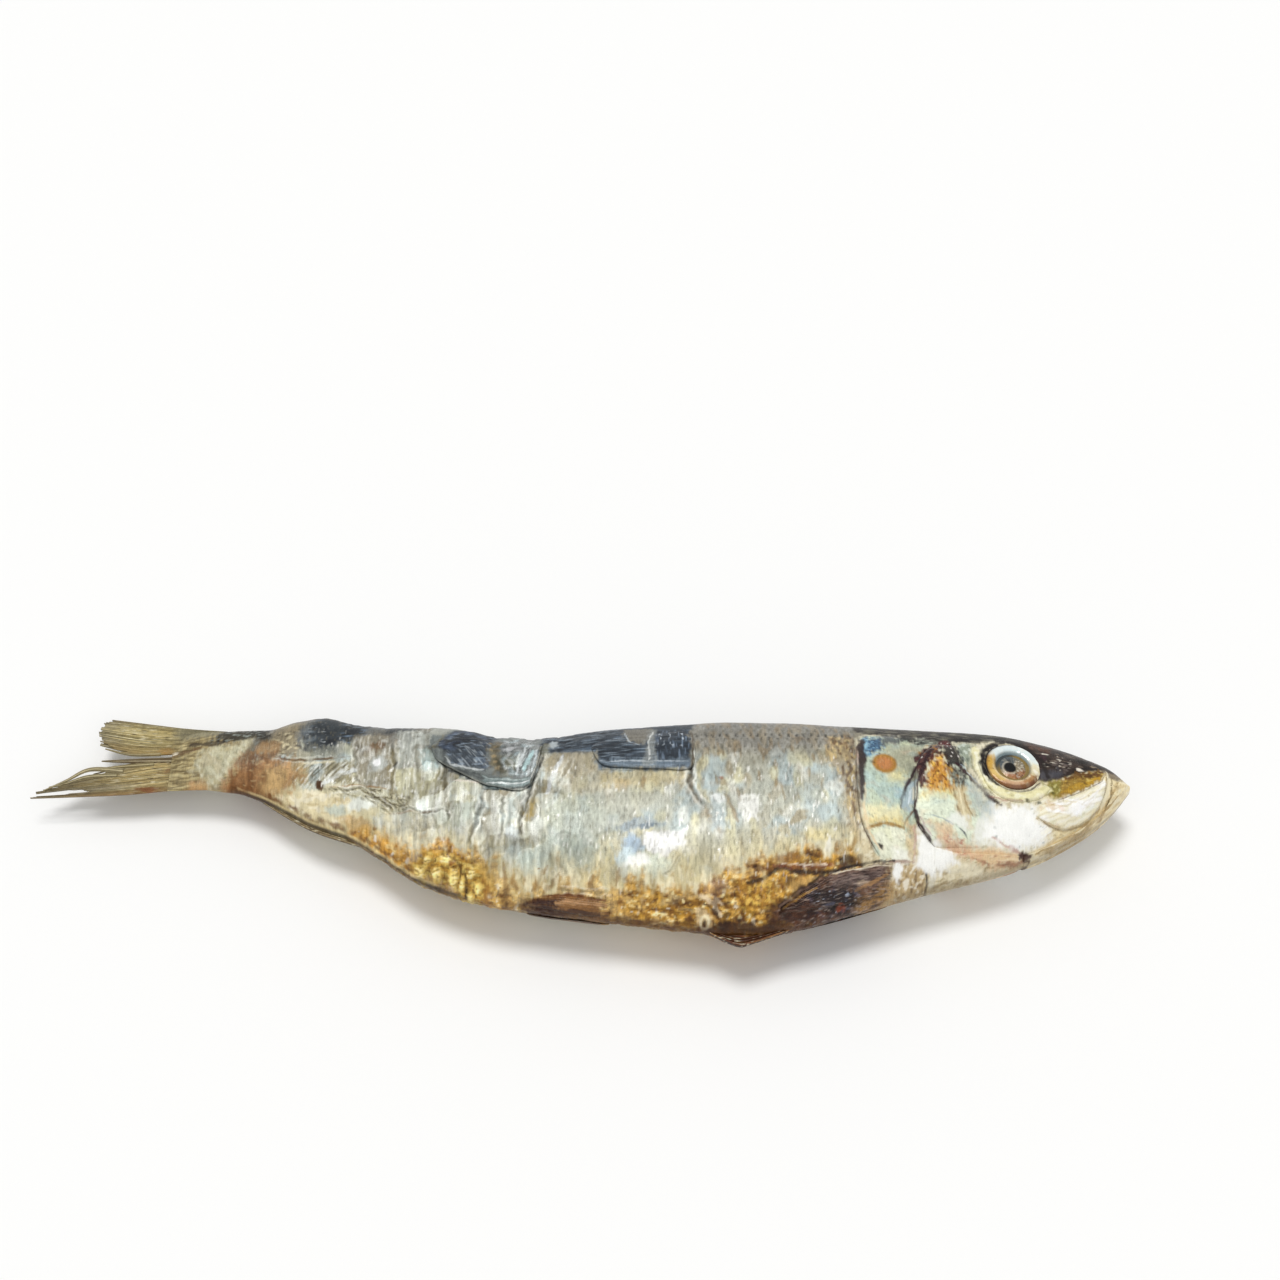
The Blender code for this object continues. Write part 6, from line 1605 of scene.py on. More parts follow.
def sheet_on(name, edge_a, edge_b, side, lift, thickness, fineness, material, wrinkle, rim="#3a2c1c"):
    """A closed sheet with a rounded rim on a flank, from edge_a to edge_b, painted like the skin."""
    if side == DOWN:
        fineness = tuple(n // 2 for n in fineness)
    u, v = shares(*fineness)
    a, b = route(edge_a)(u), route(edge_b)(u)
    plan = a + (b - a) * v[..., None]
    x, y = plan[..., 0], plan[..., 1]
    inside = np.minimum(np.minimum(u, 1 - u) * fineness[0], np.minimum(v, 1 - v) * fineness[1]) / RIM_CELLS
    inside = np.clip(inside, RIM_EDGE, 1)
    dome = np.sqrt(inside * (2 - inside))
    ground = flank(x, y, side)
    q = listed(x, y, ground)
    folds = wrinkle[0] * rough_waves(q, wrinkle[1], 47 + side, 3).reshape(x.shape)
    middle = lift(u, v) + folds - thickness / 2
    layers = []
    for face in (1, -1):
        z = np.maximum(0.0, ground + side * (middle + face * dome * thickness / 2))
        layers.append(listed(x, y, z))
    points = np.concatenate(layers)
    coat = Coat(points, side)
    paint_fish(coat)
    coat.lay(np.tile(0.6 * step_up(v.ravel(), 0.03, 0.0), 2), rim)
    # Painted light and shade of the wrinkles: raised places lighter, sunk ones darker.
    coat.tint(np.tile(np.clip(1 + 2.0 * folds.ravel(), 0.6, 1.3), 2))
    return make_piece(name, points, sheet_faces(*u.shape), coat, material)


def head_plates(side, skin):
    """Gill cover, its strut, shoulder plate, throat, socket rim and the two jaws of one side."""
    gill_rear = [(59.2, 13.4), (56.2, 10.8), (54.6, 7.3), (53.9, 1.2), (54.3, -2.4), (57, -5.8)]
    gill_front = [(63, 13), (64, 9.5), (64.8, 6.4), (65.2, 3), (65.8, -1.8), (65.6, -5.2)]
    strut_rear = [(60, 13), (61.4, 9.5), (61.2, 6.4), (60.6, 3), (61.3, -1.4), (62.6, -4.8)]
    strut_front = [(61.4, 13), (63.2, 9.5), (62.9, 6.4), (61.9, 3), (62.6, -1.6), (63.4, -4.6)]
    shoulder_rear = [(47.4, 15.4), (45.4, 12), (44.8, 4.7), (45.3, -3), (48.2, -8.2)]
    shoulder_front = [(54, 14.8), (54.8, 10), (54.2, 4), (54.4, -3.2), (53.5, -8.4)]
    throat_upper = [(57, -5.6), (61, -6), (66.9, -5.6), (71.4, -5.2)]
    throat_lower = [(56.8, -9), (61.5, -8.4), (66.5, -7), (71.2, -5.9)]
    socket_rear = [(65, 9.6), (66.2, 4.8), (69.8, 2.4), (74.6, 3.2), (76.8, 5.4)]
    socket_front = [(66, 9.6), (67.2, 6), (70.2, 4.2), (73.6, 4.8), (75.4, 6.6)]
    jaw_inner = [(71.8, -5.2), (75, -3.8), (78.1, -2.2), (81.8, 0.2), (84.9, 2.6), (87, 5.4), (88.9, 9)]
    jaw_outer = [(71.8, -5.7), (75.5, -4), (79.2, -1.9), (82.9, 0.5), (86.2, 3.3), (88.9, 6.2), (90.7, 8.9)]
    upper_jaw_foot = [(73.7, 0.6), (77, -0.8), (81, 0.3), (84.6, 3.4), (86.4, 7), (87.3, 10.2)]
    upper_jaw_top = [(74.6, 2.6), (77.8, 3.9), (81.6, 5.7), (84.6, 7.8), (85.9, 9.6), (86.6, 11.2)]
    fine = (0.03, (1.2, 1.2, 1.2))
    rows = (
        ("shoulder", shoulder_rear, shoulder_front, flap_lift(0.5), 0.45, (110, 60), "#4d392c"),
        ("gill_cover", gill_rear, gill_front, flap_lift(0.95), 0.5, (120, 60), "#3a1a1e"),
        ("gill_strut", strut_rear, strut_front, plate_lift(0.6, 0.2), 0.6, (90, 16), "#b59a68"),
        ("throat", throat_upper, throat_lower, plate_lift(0.55, 0.25), 0.6, (90, 24), "#a3805c"),
        ("socket_rim", socket_rear, socket_front, plate_lift(0.35, 0.15), 0.5, (90, 16), "#b0a66a"),
        ("lower_jaw", jaw_inner, jaw_outer, plate_lift(0.9, 0.45), 0.8, (120, 20), "#c4a876"),
        ("upper_jaw", upper_jaw_foot, upper_jaw_top, flap_lift(0.85), 0.4, (110, 44), "#ddd0ac"),
    )
    for name, edge_a, edge_b, lift, thickness, fineness, rim in rows:
        sheet_on(f"{FLANK_NAMES[side]}_{name}", edge_a, edge_b, side, lift, thickness, fineness, skin, fine,
                 rim)


def folded_fins(side, fin):
    """The breast and belly fins, folded back along the flank, with their rays as ripples."""
    breast_lower = [(49.8, -12.4), (46.4, -13.2), (43.2, -14.2), (39.5, -15.1), (35.8, -15.9), (31.8, -16.6)]
    breast_upper = [(50.4, -8.2), (46, -8.7), (41.6, -9.8), (38.2, -11.6), (35, -13.6), (32, -15.8)]
    belly_lower = [(5, -15.9), (1.5, -15.7), (-2.8, -15), (-8.4, -14)]
    belly_upper = [(5.4, -14.1), (1.5, -13.5), (-2.8, -13.1), (-8.6, -13.3)]
    rows = (
        ("breast_fin", breast_lower, breast_upper, flap_lift(0.8, 0.08, 11), 0.35, (110, 90)),
        ("belly_fin", belly_lower, belly_upper, flap_lift(0.7, 0.06, 7), 0.3, (90, 44)),
    )
    for name, edge_a, edge_b, lift, thickness, fineness in rows:
        wrinkle = (0.06, (2, 0.7, 0.7))
        sheet_on(f"{FLANK_NAMES[side]}_{name}", edge_a, edge_b, side, lift, thickness, fineness, fin, wrinkle)


def torn_skin(skin):
    """The two patches of dark back skin that have lifted and dried."""
    rear_foot = [(-24.6, 13.4), (-23.2, 10.2), (-19.4, 7.4), (-14, 4.3), (-8, 4), (-6.2, 12.6)]
    rear_top = [(-24.2, 14.2), (-21.8, 16), (-17.8, 16.8), (-13, 15.9), (-8.6, 15.2), (-5.8, 13.6)]
    middle_foot = [(1.8, 12), (3.6, 8.2), (8, 7.1), (13, 6.8), (18.2, 7), (18.9, 12.2)]
    middle_top = [(2, 13.2), (4.4, 15), (8.2, 15.8), (12.8, 16.4), (17, 16.8), (18.8, 14)]
    wrinkle = (0.16, (3, 1, 1))
    lift = flap_lift(0.72, lip=0.2)
    sheet_on("rear_flap", rear_foot, rear_top, UP, lift, 0.3, (160, 84), skin, wrinkle, "#8f918a")
    lift = flap_lift(0.62, lip=0.15)
    sheet_on("middle_flap", middle_foot, middle_top, UP, lift, 0.3, (155, 78), skin, wrinkle, "#3a4044")


def socket_slope(x, y, side):
    """Tilt of the eye, so that it lies along the side of the head."""
    ex, ey = EYE_CENTRE
    reach = np.array((-EYE_RADIUS, EYE_RADIUS))
    behind, ahead = flank(ex + reach, np.full(2, ey), side)
    below, above = flank(np.full(2, ex), ey + reach, side)
    return ((ahead - behind) * (x - ex) + (above - below) * (y - ey)) / (2 * EYE_RADIUS)


def facing(c, angle, tear):
    """A function that gives the mask of the side of an eye towards an angle in degrees."""

    def towards(degrees, low, high):
        return step_up(np.cos(angle - math.radians(degrees)) + tear * c.torn, low, high)

    return towards


def paint_eye_ring(c, angle, out):
    """Painted highlight of pale blue above; gold at the rear, bronze below and cream before, with dark rims.
    """
    towards = facing(c, angle, 0.25)
    c.prime("#dccfa6", 0.24, 0.15)
    c.lay(0.9 * towards(195, 0.35, 0.75), "#cfa035")
    c.lay(0.85 * towards(232, 0.75, 0.95), "#e6c67c")
    c.lay(0.9 * towards(275, 0.75, 0.92), "#cfa684")
    c.lay(0.85 * towards(312, 0.84, 0.96), "#a9743e")
    c.lay(0.7 * towards(250, 0, 0.5) * bump(out - 0.28, 0.16), "#f0dcae")
    c.lay(0.85 * towards(278, 0.25, 0.7) * step_up(out, 0.55, 0.75), "#6b4029", 0.3)
    c.lay(0.6 * towards(190, 0.3, 0.8) * step_up(out, 0.62, 0.8), "#8a5a2a", 0.3)
    c.lay(0.9 * towards(0, 0.85, 0.97), "#efe6c4")
    # A painted highlight: pale blue-white over the top of the ring, on a glossier finish, and white glints
    # towards its upper front (#fbfaf0).
    c.lay(0.95 * towards(80, 0.15, 0.6), "#e9f5f4", 0.2, 0.2)
    c.lay(0.4 * towards(95, 0.2, 0.8) * step_up(out, 0.5, 0.2), "#a9c3ca")
    c.flecks("#fbfaf0", 0.8, 121, 0.2, 0.5, towards(50, 0, 0.5))
    c.flecks("#7b5a2f", (0.7, 0.5, 0.5), 122, 0.3, 0.6, towards(250, -0.4, 0.3))
    c.lay(0.75 * step_up(out, 0.3, 0.12), "#7d7358", 0.34)
    seat = 0.7 * step_up(out, 0.26, 0.1)
    c.lay(seat * towards(215, 0.2, 0.7), "#b08a3c", 0.35)
    c.lay(seat * towards(140, 0.2, 0.7), "#4b4a40", 0.35)
    c.lay(seat * towards(85, 0, 0.5), "#93a9b0")
    c.lay(0.85 * step_up(out, 0.86, 0.96) * towards(265, -0.5, 0.2), "#3a2618", 0.35)
    c.lay(towards(150, 0.3, 0.8) * step_up(out, 0.72, 0.86), "#16100c", 0.4)
    c.lay(0.8 * towards(60, 0.2, 0.7) * step_up(out, 0.88, 0.96), "#2a2420", 0.4)


PUPIL = (70.4, 9.1)
PUPIL_RADIUS = 1.0
# The swollen ring of the eye and the ball that has sunk within it.
EYE_RING_INNER = 2.6
EYE_RING_OUTER = EYE_RADIUS + 0.35
EYE_RING_HEIGHT = 0.95
EYE_RING_POINTS = (144, 32)
EYE_BALL_RADIUS = 3.2
EYE_BALL_HEIGHT = 1.4
EYE_BALL_DEPTH = 0.85
EYE_BALL_POINTS = (60, 96)


def paint_eye_ball(c, angle, out):
    """Steel-grey iris, brown before and orange below, with fine lines and a black pupil."""
    towards = facing(c, angle, 0.2)
    c.prime("#94876e", 0.18)
    lines = waves(listed(14 * np.cos(angle), 14 * np.sin(angle), 2 * out), 1.6, 123)
    c.lay(0.7 * step_up(out, 0.5, 0.66), "#77694c", 0.34)
    c.lay(0.9 * towards(128, 0.2, 0.75), "#495760")
    c.lay(0.7 * towards(130, 0.5, 0.95) * step_up(out, 0.62, 0.4), "#252b2f")
    c.lay(0.5 * towards(75, 0.4, 0.9) * step_up(out, 0.6, 0.85), "#a9bcc0")
    c.lay(0.85 * towards(285, 0.2, 0.9) * step_up(out, 0.35, 0.5), "#a8683a", 0.3)
    c.lay(0.75 * towards(222, 0.3, 0.8) * step_up(out, 0.6, 0.85), "#b3924c", 0.3)
    c.lay(0.5 * step_up(out, 0.8, 0.97), "#574c3c")
    c.lay(0.3 * step_up(lines, 0, 0.5), "#c3baa4")
    c.lay(0.35 * step_up(lines, 0, -0.5), "#48443a")
    c.flecks("#d9d2c0", 0.35, 125, 0.15, 0.6, towards(350, -0.2, 0.5))
    c.flecks("#3f3a30", 0.35, 126, 0.15, 0.6, towards(350, -0.2, 0.5))
    from_pupil = np.hypot(c.x - PUPIL[0], c.y - PUPIL[1]) + 0.1 * c.torn
    c.lay(0.6 * bump(from_pupil - PUPIL_RADIUS - 0.2, 0.25) * towards(200, -0.2, 0.5), "#cfc7b4")
    c.lay(step_up(from_pupil, PUPIL_RADIUS + 0.12, PUPIL_RADIUS - 0.12), "#030303", 0.3)


def eye_ring(side, level, eye):
    """The swollen ring round an eye."""
    ex, ey = EYE_CENTRE
    angle, turn = np.meshgrid(full_turn(EYE_RING_POINTS[0]), full_turn(EYE_RING_POINTS[1]), indexing="ij")
    tube = (EYE_RING_OUTER - EYE_RING_INNER) / 2
    share = (1 + np.cos(turn)) / 2
    places = listed(6 * np.cos(angle), 6 * np.sin(angle), 2 * share)
    uneven = 0.1 * rough_waves(places, 1.5, 124 + side, 3).reshape(angle.shape)
    out = EYE_RING_OUTER - 2 * tube + 2 * tube * share
    x, y = ex + out * np.cos(angle), ey + out * np.sin(angle)
    z = level - side * 0.05 + socket_slope(x, y,
                                           side) + (EYE_RING_HEIGHT + uneven) * np.sin(turn) - side * 0.1
    points = listed(x, y, np.maximum(z, 0))
    rows, columns = angle.shape
    i, j = np.meshgrid(np.arange(rows), np.arange(columns), indexing="ij")
    after, ahead = (i + 1) % rows, (j + 1) % columns
    corners = (i * columns + j, after * columns + j, after * columns + ahead, i * columns + ahead)
    faces = np.stack([corner.ravel() for corner in corners], axis=1)
    coat = Coat(points, side)
    paint_eye_ring(coat, angle.ravel(), share.ravel())
    # Painted light and shade of the ring's unevenness: higher places lighter, lower ones darker.
    coat.tint(np.clip(1 + 1.6 * uneven.ravel(), 0.7, 1.2))
    make_piece(f"{FLANK_NAMES[side]}_eye_ring", points, [faces], coat, eye)


def eye_ball(side, level, eye):
    """The dried ball that has sunk within the ring."""
    ex, ey = EYE_CENTRE
    downward = np.linspace(0.02, math.pi - 0.02, EYE_BALL_POINTS[0])
    polar, angle = np.meshgrid(downward, full_turn(EYE_BALL_POINTS[1]), indexing="ij")
    x = ex + EYE_BALL_RADIUS * np.sin(polar) * np.cos(angle)
    y = ey + EYE_BALL_RADIUS * np.sin(polar) * np.sin(angle)
    z = level - side * EYE_BALL_DEPTH + socket_slope(x, y, side) + EYE_BALL_HEIGHT * np.cos(polar)
    points, faces = closed_tube(np.stack((x, y, np.maximum(z, 0)), axis=-1))
    coat = Coat(points, side)
    from_middle = np.append(np.sin(polar).ravel(), (0.0, 0.0))
    paint_eye_ball(coat, np.append(angle.ravel(), (0.0, 0.0)), from_middle)
    make_piece(f"{FLANK_NAMES[side]}_eye_ball", points, faces, coat, eye)


def eyes(side, eye):
    """One eye, level with the head where its middle lies."""
    level = flank(*np.reshape(EYE_CENTRE, (2, 1)), side)[0]
    eye_ring(side, level, eye)
    eye_ball(side, level, eye)


TAIL_ROOT = -64.0
TAIL_DROOP = 0.04
POINTS_PER_RAY = 6
STRAND_ROWS = 61
STRAND_SIDES = 16
STRAND_RIBS = 5
STRAND_HALF = 0.32


def tail_height(x):
    """Height of the tail fin's middle, which droops a little towards its tips."""
    return middle_height(np.array(TAIL_ROOT)) - TAIL_DROOP * (TAIL_ROOT - x)


def fan(
    name, edge_a, edge_b, height, rays, lengths, seed, thickness, rows, paint, material,
    ragged=0.04, notch=0.03, root=None,
):
    """A fin of fine rays that run along u, each broken off at its own length and a little out of line."""
    rng = np.random.default_rng(seed)
    own_length = rng.normal(0, ragged, rays)
    own_height = rng.normal(0, 0.1, rays)
    u, v = shares(rows, rays * POINTS_PER_RAY)
    place = v * rays
    k = np.minimum(place.astype(int), rays - 1)
    reach = np.interp(v * len(lengths), np.arange(len(lengths)) + 0.5, lengths)
    gap = np.abs(np.cos(math.pi * (place - k - 0.5)))
    reach = reach * (1 + own_length[k] * gap**0.5 - notch * (1 - gap) ** 2)
    a, b = route(edge_a)(u * reach), route(edge_b)(u * reach)
    plan = a + (b - a) * v[..., None]
    x, y = plan[..., 0], plan[..., 1]
    half = thickness / 2 * (0.3 + 0.7 * gap**0.8) * (1 - 0.35 * u)
    middle = height(x) + own_height[k] * gap * u**1.5
    layers = [listed(x, y, middle + face * half) for face in (1, -1)]
    points = np.concatenate(layers)
    coat = Coat(points, UP)
    paint(coat, np.tile(u.ravel(), 2), np.tile(v.ravel(), 2), np.tile(gap.ravel(), 2), np.tile(k.ravel(), 2))
    if root is not None:
        body = Coat(points, UP)
        paint_fish(body)
        coat.take(body, step_up(coat.x + 0.6 * coat.fray, *root))
    return make_piece(name, points, sheet_faces(*u.shape), coat, material)


def paint_rays(c, u, v, gap, k, colour, line, pale, seed):
    """Rays of differing tone in one colour, with dark lines between them and pale streaks."""
    rng = np.random.default_rng(seed)
    tones = rng.uniform(0.6, 1.25, int(k.max()) + 1)
    c.prime(colour, 0.36)
    c.lay(0.6 * step_up(waves(listed(3 * u, 30 * v, 0 * u), 1, seed), 0, 0.5), pale)
    c.tint(tones[k])
    c.lay(0.9 * step_up(gap, 0.62, 0.2), line)
    c.flecks("#3a2f1e", (1.4, 0.3, 0.3), seed + 10, 0.25, 0.6)
    c.flecks("#f0e8c8", (1.6, 0.25, 0.25), seed + 11, 0.3, 0.6)


def paint_upper_lobe(c, u, v, gap, k):
    """Olive upper lobe, brown at its root and grey at its tips."""
    paint_rays(c, u, v, gap, k, "#bfae78", "#62583a", "#e2d9b0", 131)
    c.lay(0.7 * step_up(u, 0.7, 1), "#857d68")
    c.lay(0.8 * step_up(v, 0.12, 0), "#6e6142")
    c.lay(0.7 * step_up(v + 0.1 * c.fray, 0.62, 0.95), "#98814e")
    c.lay(0.6 * step_up(u + 0.06 * c.fray, 0.34, 0.22), "#8d7148")
    c.dab("#4a3424", (-66.4, 17.8), (1.6, 0.6), 0.7)
    c.dab("#a9854c", (-69.6, 17.6), (1.6, 0.6), 0.7)


def paint_lower_lobe(c, u, v, gap, k):
    """Olive lower lobe with a brown lower edge, darker towards its strands."""
    paint_rays(c, u, v, gap, k, "#b9a571", "#5b4e34", "#dccf9e", 132)
    c.lay(0.7 * step_up(v, 0.8, 1), "#8a6a42")
    c.lay(0.7 * step_up(u, 0.66, 0.95), "#7d745e")
    c.lay(0.8 * step_up(v, 0.16, 0.04), "#6f6044")
    c.lay(0.7 * step_up(u + 0.06 * c.fray, 0.3, 0.18), "#a98a58")
    c.dab("#7a4a2c", (-66.6, 14.4), (3.4, 0.6), 0.7, turn=8)
    c.dab("#8a4f2c", (-72.6, 10.4), (1.8, 0.5), 0.7)


def strand(name, points, root_width, tip_width, lift, colour, material):
    """A ray or a few rays of the tail that have come loose, along a curve."""
    u, turn = np.meshgrid(np.linspace(0, 1, STRAND_ROWS), full_turn(STRAND_SIDES), indexing="ij")
    curve = route(points)
    middle = curve(u)
    along = curve(np.minimum(1, u + 0.02)) - curve(np.maximum(0, u - 0.02))
    along /= np.linalg.norm(along, axis=-1, keepdims=True)
    half = (root_width + (tip_width - root_width) * u) / 2
    ribbed = 1 + 0.15 * np.cos(STRAND_RIBS * turn)
    x = middle[..., 0] - along[..., 1] * half * ribbed * np.cos(turn)
    y = middle[..., 1] + along[..., 0] * half * ribbed * np.cos(turn)
    z = tail_height(middle[..., 0]) + lift + STRAND_HALF * (1 - 0.6 * u) * ribbed * np.sin(turn)
    grid, faces = closed_tube(np.stack((x, y, z), axis=-1))
    coat = Coat(grid, UP)
    coat.prime(colour)
    # Painted shade in the grooves between the ribs and a painted highlight on the ribs' crests.
    shade = np.append(np.cos(STRAND_RIBS * turn).ravel(), (0.0, 0.0))
    coat.lay(0.6 * step_up(shade, 0, -1), "#4a4028")
    coat.lay(0.5 * step_up(shade, 0.5, 1), "#d8cda4")
    return make_piece(name, grid, faces, coat, material)


def tail_fin(fin):
    """The forked tail: an upper lobe with its tip gone, and a lower lobe frayed into strands."""
    upper_edge = [(-60, 21.3), (-67, 22.1), (-74, 23.3), (-81, 24.5)]
    upper_inner = [(-60, 15.6), (-67, 17), (-74.5, 17), (-82.5, 18.8)]
    lower_inner = [(-60, 16.6), (-68, 16.9), (-76, 15.7), (-90, 11.6)]
    lower_edge = [(-60, 10.2), (-68, 10.2), (-77, 9.5), (-92, 9.2)]
    upper_lengths = (0.97, 1, 1.04, 1.04, 1.03, 0.98, 0.93, 0.8)
    lower_lengths = (0.75, 0.78, 0.86, 0.95, 0.97, 0.9, 0.78, 0.84, 1)
    root = (-70.5, -67.5)
    fan("tail_upper_lobe", upper_edge, upper_inner, lambda x: tail_height(x) + 0.3, 28, upper_lengths, 5,
        0.6, 90, paint_upper_lobe, fin, root=root)
    fan("tail_lower_lobe", lower_inner, lower_edge, lambda x: tail_height(x) - 0.3, 32, lower_lengths, 6,
        0.6, 104, paint_lower_lobe, fin, root=root)
    strands = (
        ("inner", ((-70, 17.8), (-76, 18.1), (-81.6, 19.5)), 1.2, 0.5, 0.1, "#8a8068"),
        ("inner_second", ((-71, 17.2), (-76, 17.2), (-80.6, 18.5)), 0.7, 0.2, 0.2, "#8d7f5c"),
        ("dark", ((-66, 16.1), (-75, 16.2), (-81, 16.3)), 1.5, 0.2, -0.2, "#5e4c34"),
        ("edge", ((-72, 15.4), (-78, 15), (-82.3, 14.5)), 0.8, 0.2, -0.1, "#94855c"),
        ("thin", ((-77, 14.2), (-82.7, 14.6), (-86.4, 12.5), (-90, 10.6)), 1, 0.2, -0.1, "#9c8f6c"),
        ("thin_second", ((-78, 13.4), (-83, 13.2), (-86.6, 11.9), (-89.2, 11.3)), 0.9, 0.25, -0.2, "#8f8360"),
    )
    for name, points, root_width, tip_width, lift, colour in strands:
        strand(f"tail_strand_{name}", points, root_width, tip_width, lift, colour, fin)


def edge_fins(fin):
    """What stands out past the fish's outline: anal fin, folded back fin and the far breast fin's tip."""
    anal_x = np.array((-31.0, -38.0, -44.0, -50.0, -58.0))
    anal_reach = np.array((-2.0, 0.5, 0.6, 0.5, -2.0))
    anal_base = np.stack((anal_x, belly_edge(anal_x) + 3.5), axis=1)
    anal_rim = np.stack((anal_x, belly_edge(anal_x) - anal_reach), axis=1)
    back_base = [(20, 19.4), (12, 18.6), (4, 17.6), (-3, 16.6)]
    back_rim = [(18, 20.9), (12, 20.5), (4, 19.7), (-6, 18.6)]
    tip_base = [(20, -17), (24, -17), (28, -17), (34, -16.2)]
    tip_rim = [(20.8, -18.2), (25.2, -20.4), (27.6, -20), (34.6, -17.4)]
    whole = (1, 1)
    # Each fin: name, base, rim, height over the middle, rays, thickness, its three colours and its seed.
    rows = (
        ("back_fin", back_base, back_rim, -1.6, 8, 1.2, ("#4a4f52", "#1c2024", "#8a9094", 134)),
        ("anal_fin", anal_base, anal_rim, -0.3, 12, 0.7, ("#8d7a58", "#3d2c1c", "#c9b78c", 133)),
        ("far_breast_fin_tip", tip_base, tip_rim, -0.3, 7, 1.2, ("#5a3018", "#24120a", "#b98748", 135)),
    )
    for seed, (name, base, rim, drop, rays, thickness, colours) in enumerate(rows):
        fan(name, base, rim, lambda x, drop=drop: middle_height(x) + drop, rays, whole, 20 + seed,
            thickness, 80, lambda *places, colours=colours: paint_rays(*places, *colours), fin, 0, 0)


def math_node(tree, operation, first, second):
    """A maths node on two sockets or numbers."""
    node = tree.nodes.new("ShaderNodeMath")
    node.operation = operation
    for k, value in enumerate((first, second)):
        if isinstance(value, (int, float)):
            node.inputs[k].default_value = value
        else:
            tree.links.new(value, node.inputs[k])
    return node.outputs[0]


def noise_node(tree, scale, detail):
    """Noise in the object's own coordinates, so many waves to the metre along each axis."""
    place = tree.nodes.new("ShaderNodeTexCoord")
    stretch = tree.nodes.new("ShaderNodeVectorMath")
    stretch.operation = "MULTIPLY"
    stretch.inputs[1].default_value = scale
    texture = tree.nodes.new("ShaderNodeTexNoise")
    texture.inputs["Scale"].default_value = 1
    texture.inputs["Detail"].default_value = detail
    tree.links.new(place.outputs["Object"], stretch.inputs[0])
    tree.links.new(stretch.outputs[0], texture.inputs["Vector"])
    return texture.outputs["Fac"]


ROUGH_SPREAD = 0.24
BUMP_STRENGTH = 0.7
SPECULAR = 0.25
COAT_ROUGHNESS = 0.14


def coated_material(name, streaks, speckle, contrast, bump_height, coat_weight):
    """Painted skin with fine streaks and speckle in its tone, gloss and height."""
    material = bpy.data.materials.new(name)
    material.use_nodes = True
    tree = material.node_tree
    shader = tree.nodes["Principled BSDF"]
    paint = tree.nodes.new("ShaderNodeAttribute")
    paint.attribute_name = "paint"
    finish = tree.nodes.new("ShaderNodeAttribute")
    finish.attribute_name = "finish"
    parts = tree.nodes.new("ShaderNodeSeparateColor")
    tree.links.new(finish.outputs["Color"], parts.inputs[0])
    long_grain = noise_node(tree, streaks, 4.0)
    fine_grain = noise_node(tree, speckle, 3.0)
    both = math_node(tree, "ADD", long_grain, fine_grain)
    uneven_tone = math_node(tree, "MULTIPLY", math_node(tree, "ADD", both, -1.0), contrast)
    tone = math_node(tree, "MULTIPLY_ADD", uneven_tone, parts.outputs[2])
    tone.node.inputs[2].default_value = 1.0
    tinted = tree.nodes.new("ShaderNodeVectorMath")
    tinted.operation = "SCALE"
    tree.links.new(paint.outputs["Color"], tinted.inputs[0])
    tree.links.new(tone, tinted.inputs["Scale"])
    tree.links.new(tinted.outputs[0], shader.inputs["Base Color"])
    uneven = math_node(tree, "MULTIPLY_ADD", fine_grain, ROUGH_SPREAD)
    uneven.node.inputs[2].default_value = -ROUGH_SPREAD / 2
    tree.links.new(math_node(tree, "ADD", parts.outputs[0], uneven), shader.inputs["Roughness"])
    tree.links.new(parts.outputs[1], shader.inputs["Metallic"])
    rise = tree.nodes.new("ShaderNodeBump")
    rise.inputs["Strength"].default_value = BUMP_STRENGTH
    rise.inputs["Distance"].default_value = bump_height
    tree.links.new(both, rise.inputs["Height"])
    tree.links.new(rise.outputs[0], shader.inputs["Normal"])
    shader.inputs["Specular IOR Level"].default_value = SPECULAR
    shader.inputs["Coat Weight"].default_value = coat_weight
    shader.inputs["Coat Roughness"].default_value = COAT_ROUGHNESS
    return material


FLOOR_REACH = 3.0
DAYLIGHT = 0.55
# Each lamp: name, direction that it shines from, strength and width in degrees.
LAMPS = (
    ("key", (-0.10, 0.26, 0.96), 1.5, 22),
    ("fill", (0.35, -0.55, 0.75), 0.25, 40),
)
LENS_MM = 61.93
SENSOR_MM = 36.0
CAMERA_PLACE = (0.00989, -0.18568, 0.31808)
CAMERA_TILT = 36


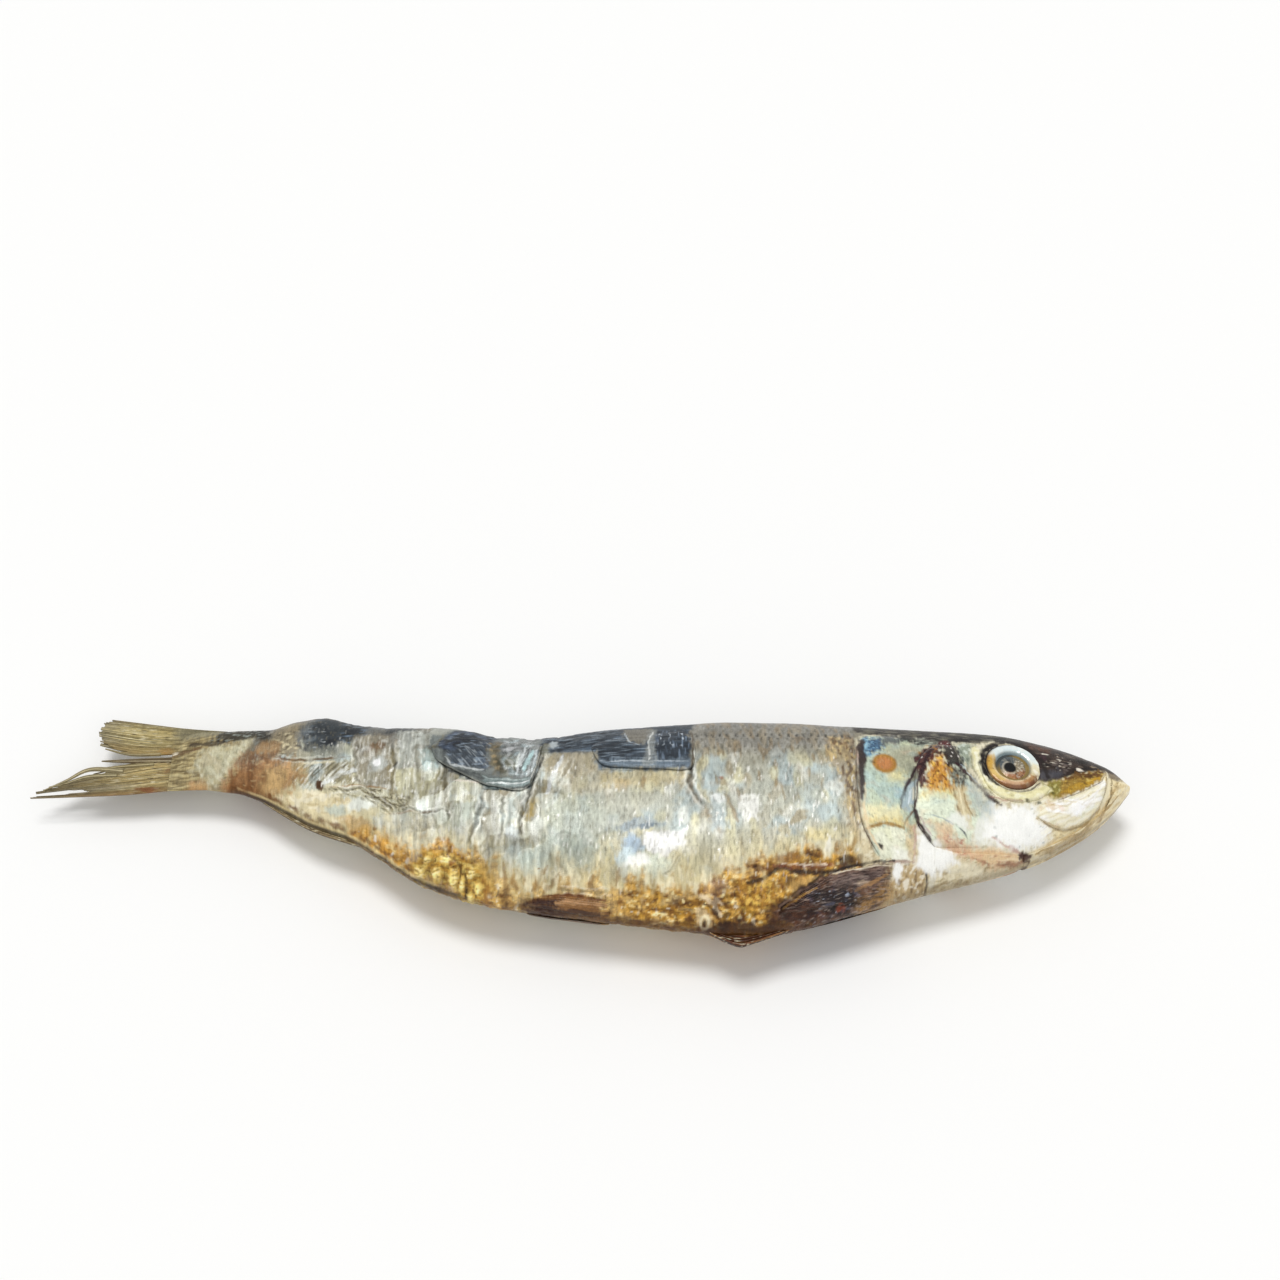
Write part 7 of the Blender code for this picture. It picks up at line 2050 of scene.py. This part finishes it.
def lay_floor():
    """A wide, pale and dull floor."""
    mesh = bpy.data.meshes.new("floor")
    corners = [(x * FLOOR_REACH, y * FLOOR_REACH, 0) for x, y in ((-1, -1), (1, -1), (1, 1), (-1, 1))]
    mesh.from_pydata(corners, [], [(0, 1, 2, 3)])
    floor = bpy.data.objects.new("floor", mesh)
    material = bpy.data.materials.new("floor")
    material.use_nodes = True
    shader = material.node_tree.nodes["Principled BSDF"]
    shader.inputs["Base Color"].default_value = (0.93, 0.93, 0.92, 1)
    shader.inputs["Roughness"].default_value = 0.9
    shader.inputs["Specular IOR Level"].default_value = 0.1
    mesh.materials.append(material)
    bpy.context.scene.collection.objects.link(floor)


def set_lights():
    """Soft daylight, a wide lamp above and a little behind, and a weak one in front."""
    world = bpy.data.worlds.new("studio")
    world.use_nodes = True
    sky = world.node_tree.nodes["Background"]
    sky.inputs["Color"].default_value = (1, 1, 1, 1)
    sky.inputs["Strength"].default_value = DAYLIGHT
    bpy.context.scene.world = world

    for name, direction, strength, width in LAMPS:
        light = bpy.data.lights.new(name, "SUN")
        light.energy = strength
        light.angle = math.radians(width)
        lamp = bpy.data.objects.new(name, light)
        lamp.rotation_euler = Vector(direction).to_track_quat("Z", "Y").to_euler()
        bpy.context.scene.collection.objects.link(lamp)


def set_camera():
    """The photo's view: from in front and above, tilted down to the fish."""
    lens = bpy.data.cameras.new("camera")
    lens.lens = LENS_MM
    lens.sensor_width = SENSOR_MM
    lens.clip_start = 0.01
    camera = bpy.data.objects.new("camera", lens)
    camera.location = Vector(CAMERA_PLACE) + Vector(SHIFT * MM)
    camera.rotation_euler = (math.radians(CAMERA_TILT), 0, 0)
    bpy.context.scene.collection.objects.link(camera)
    bpy.context.scene.camera = camera
    bpy.context.scene.view_settings.view_transform = "Standard"


def main():
    """Materials, the pieces of the fish that take the solid's place, and the studio round it."""
    skin = coated_material("dried_skin_paint", (3400, 700, 900), (6000, 6000, 6000), 0.9, 0.00008, 0.06)
    fin = coated_material("fin_rays", (700, 3200, 3200), (4200, 4200, 4200), 0.9, 0.00006, 0.10)
    eye = coated_material("eye_gloss", (1800, 1800, 1800), (5200, 5200, 5200), 0.35, 0.00002, 0.2)
    trunk_front = body_pieces(skin)["trunk_front_skin"]
    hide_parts("sardine")
    torn_skin(skin)
    for side in (UP, DOWN):
        head_plates(side, skin)
        folded_fins(side, fin)
        eyes(side, eye)
    tail_fin(fin)
    edge_fins(fin)
    lay_floor()
    set_lights()
    set_camera()


main()
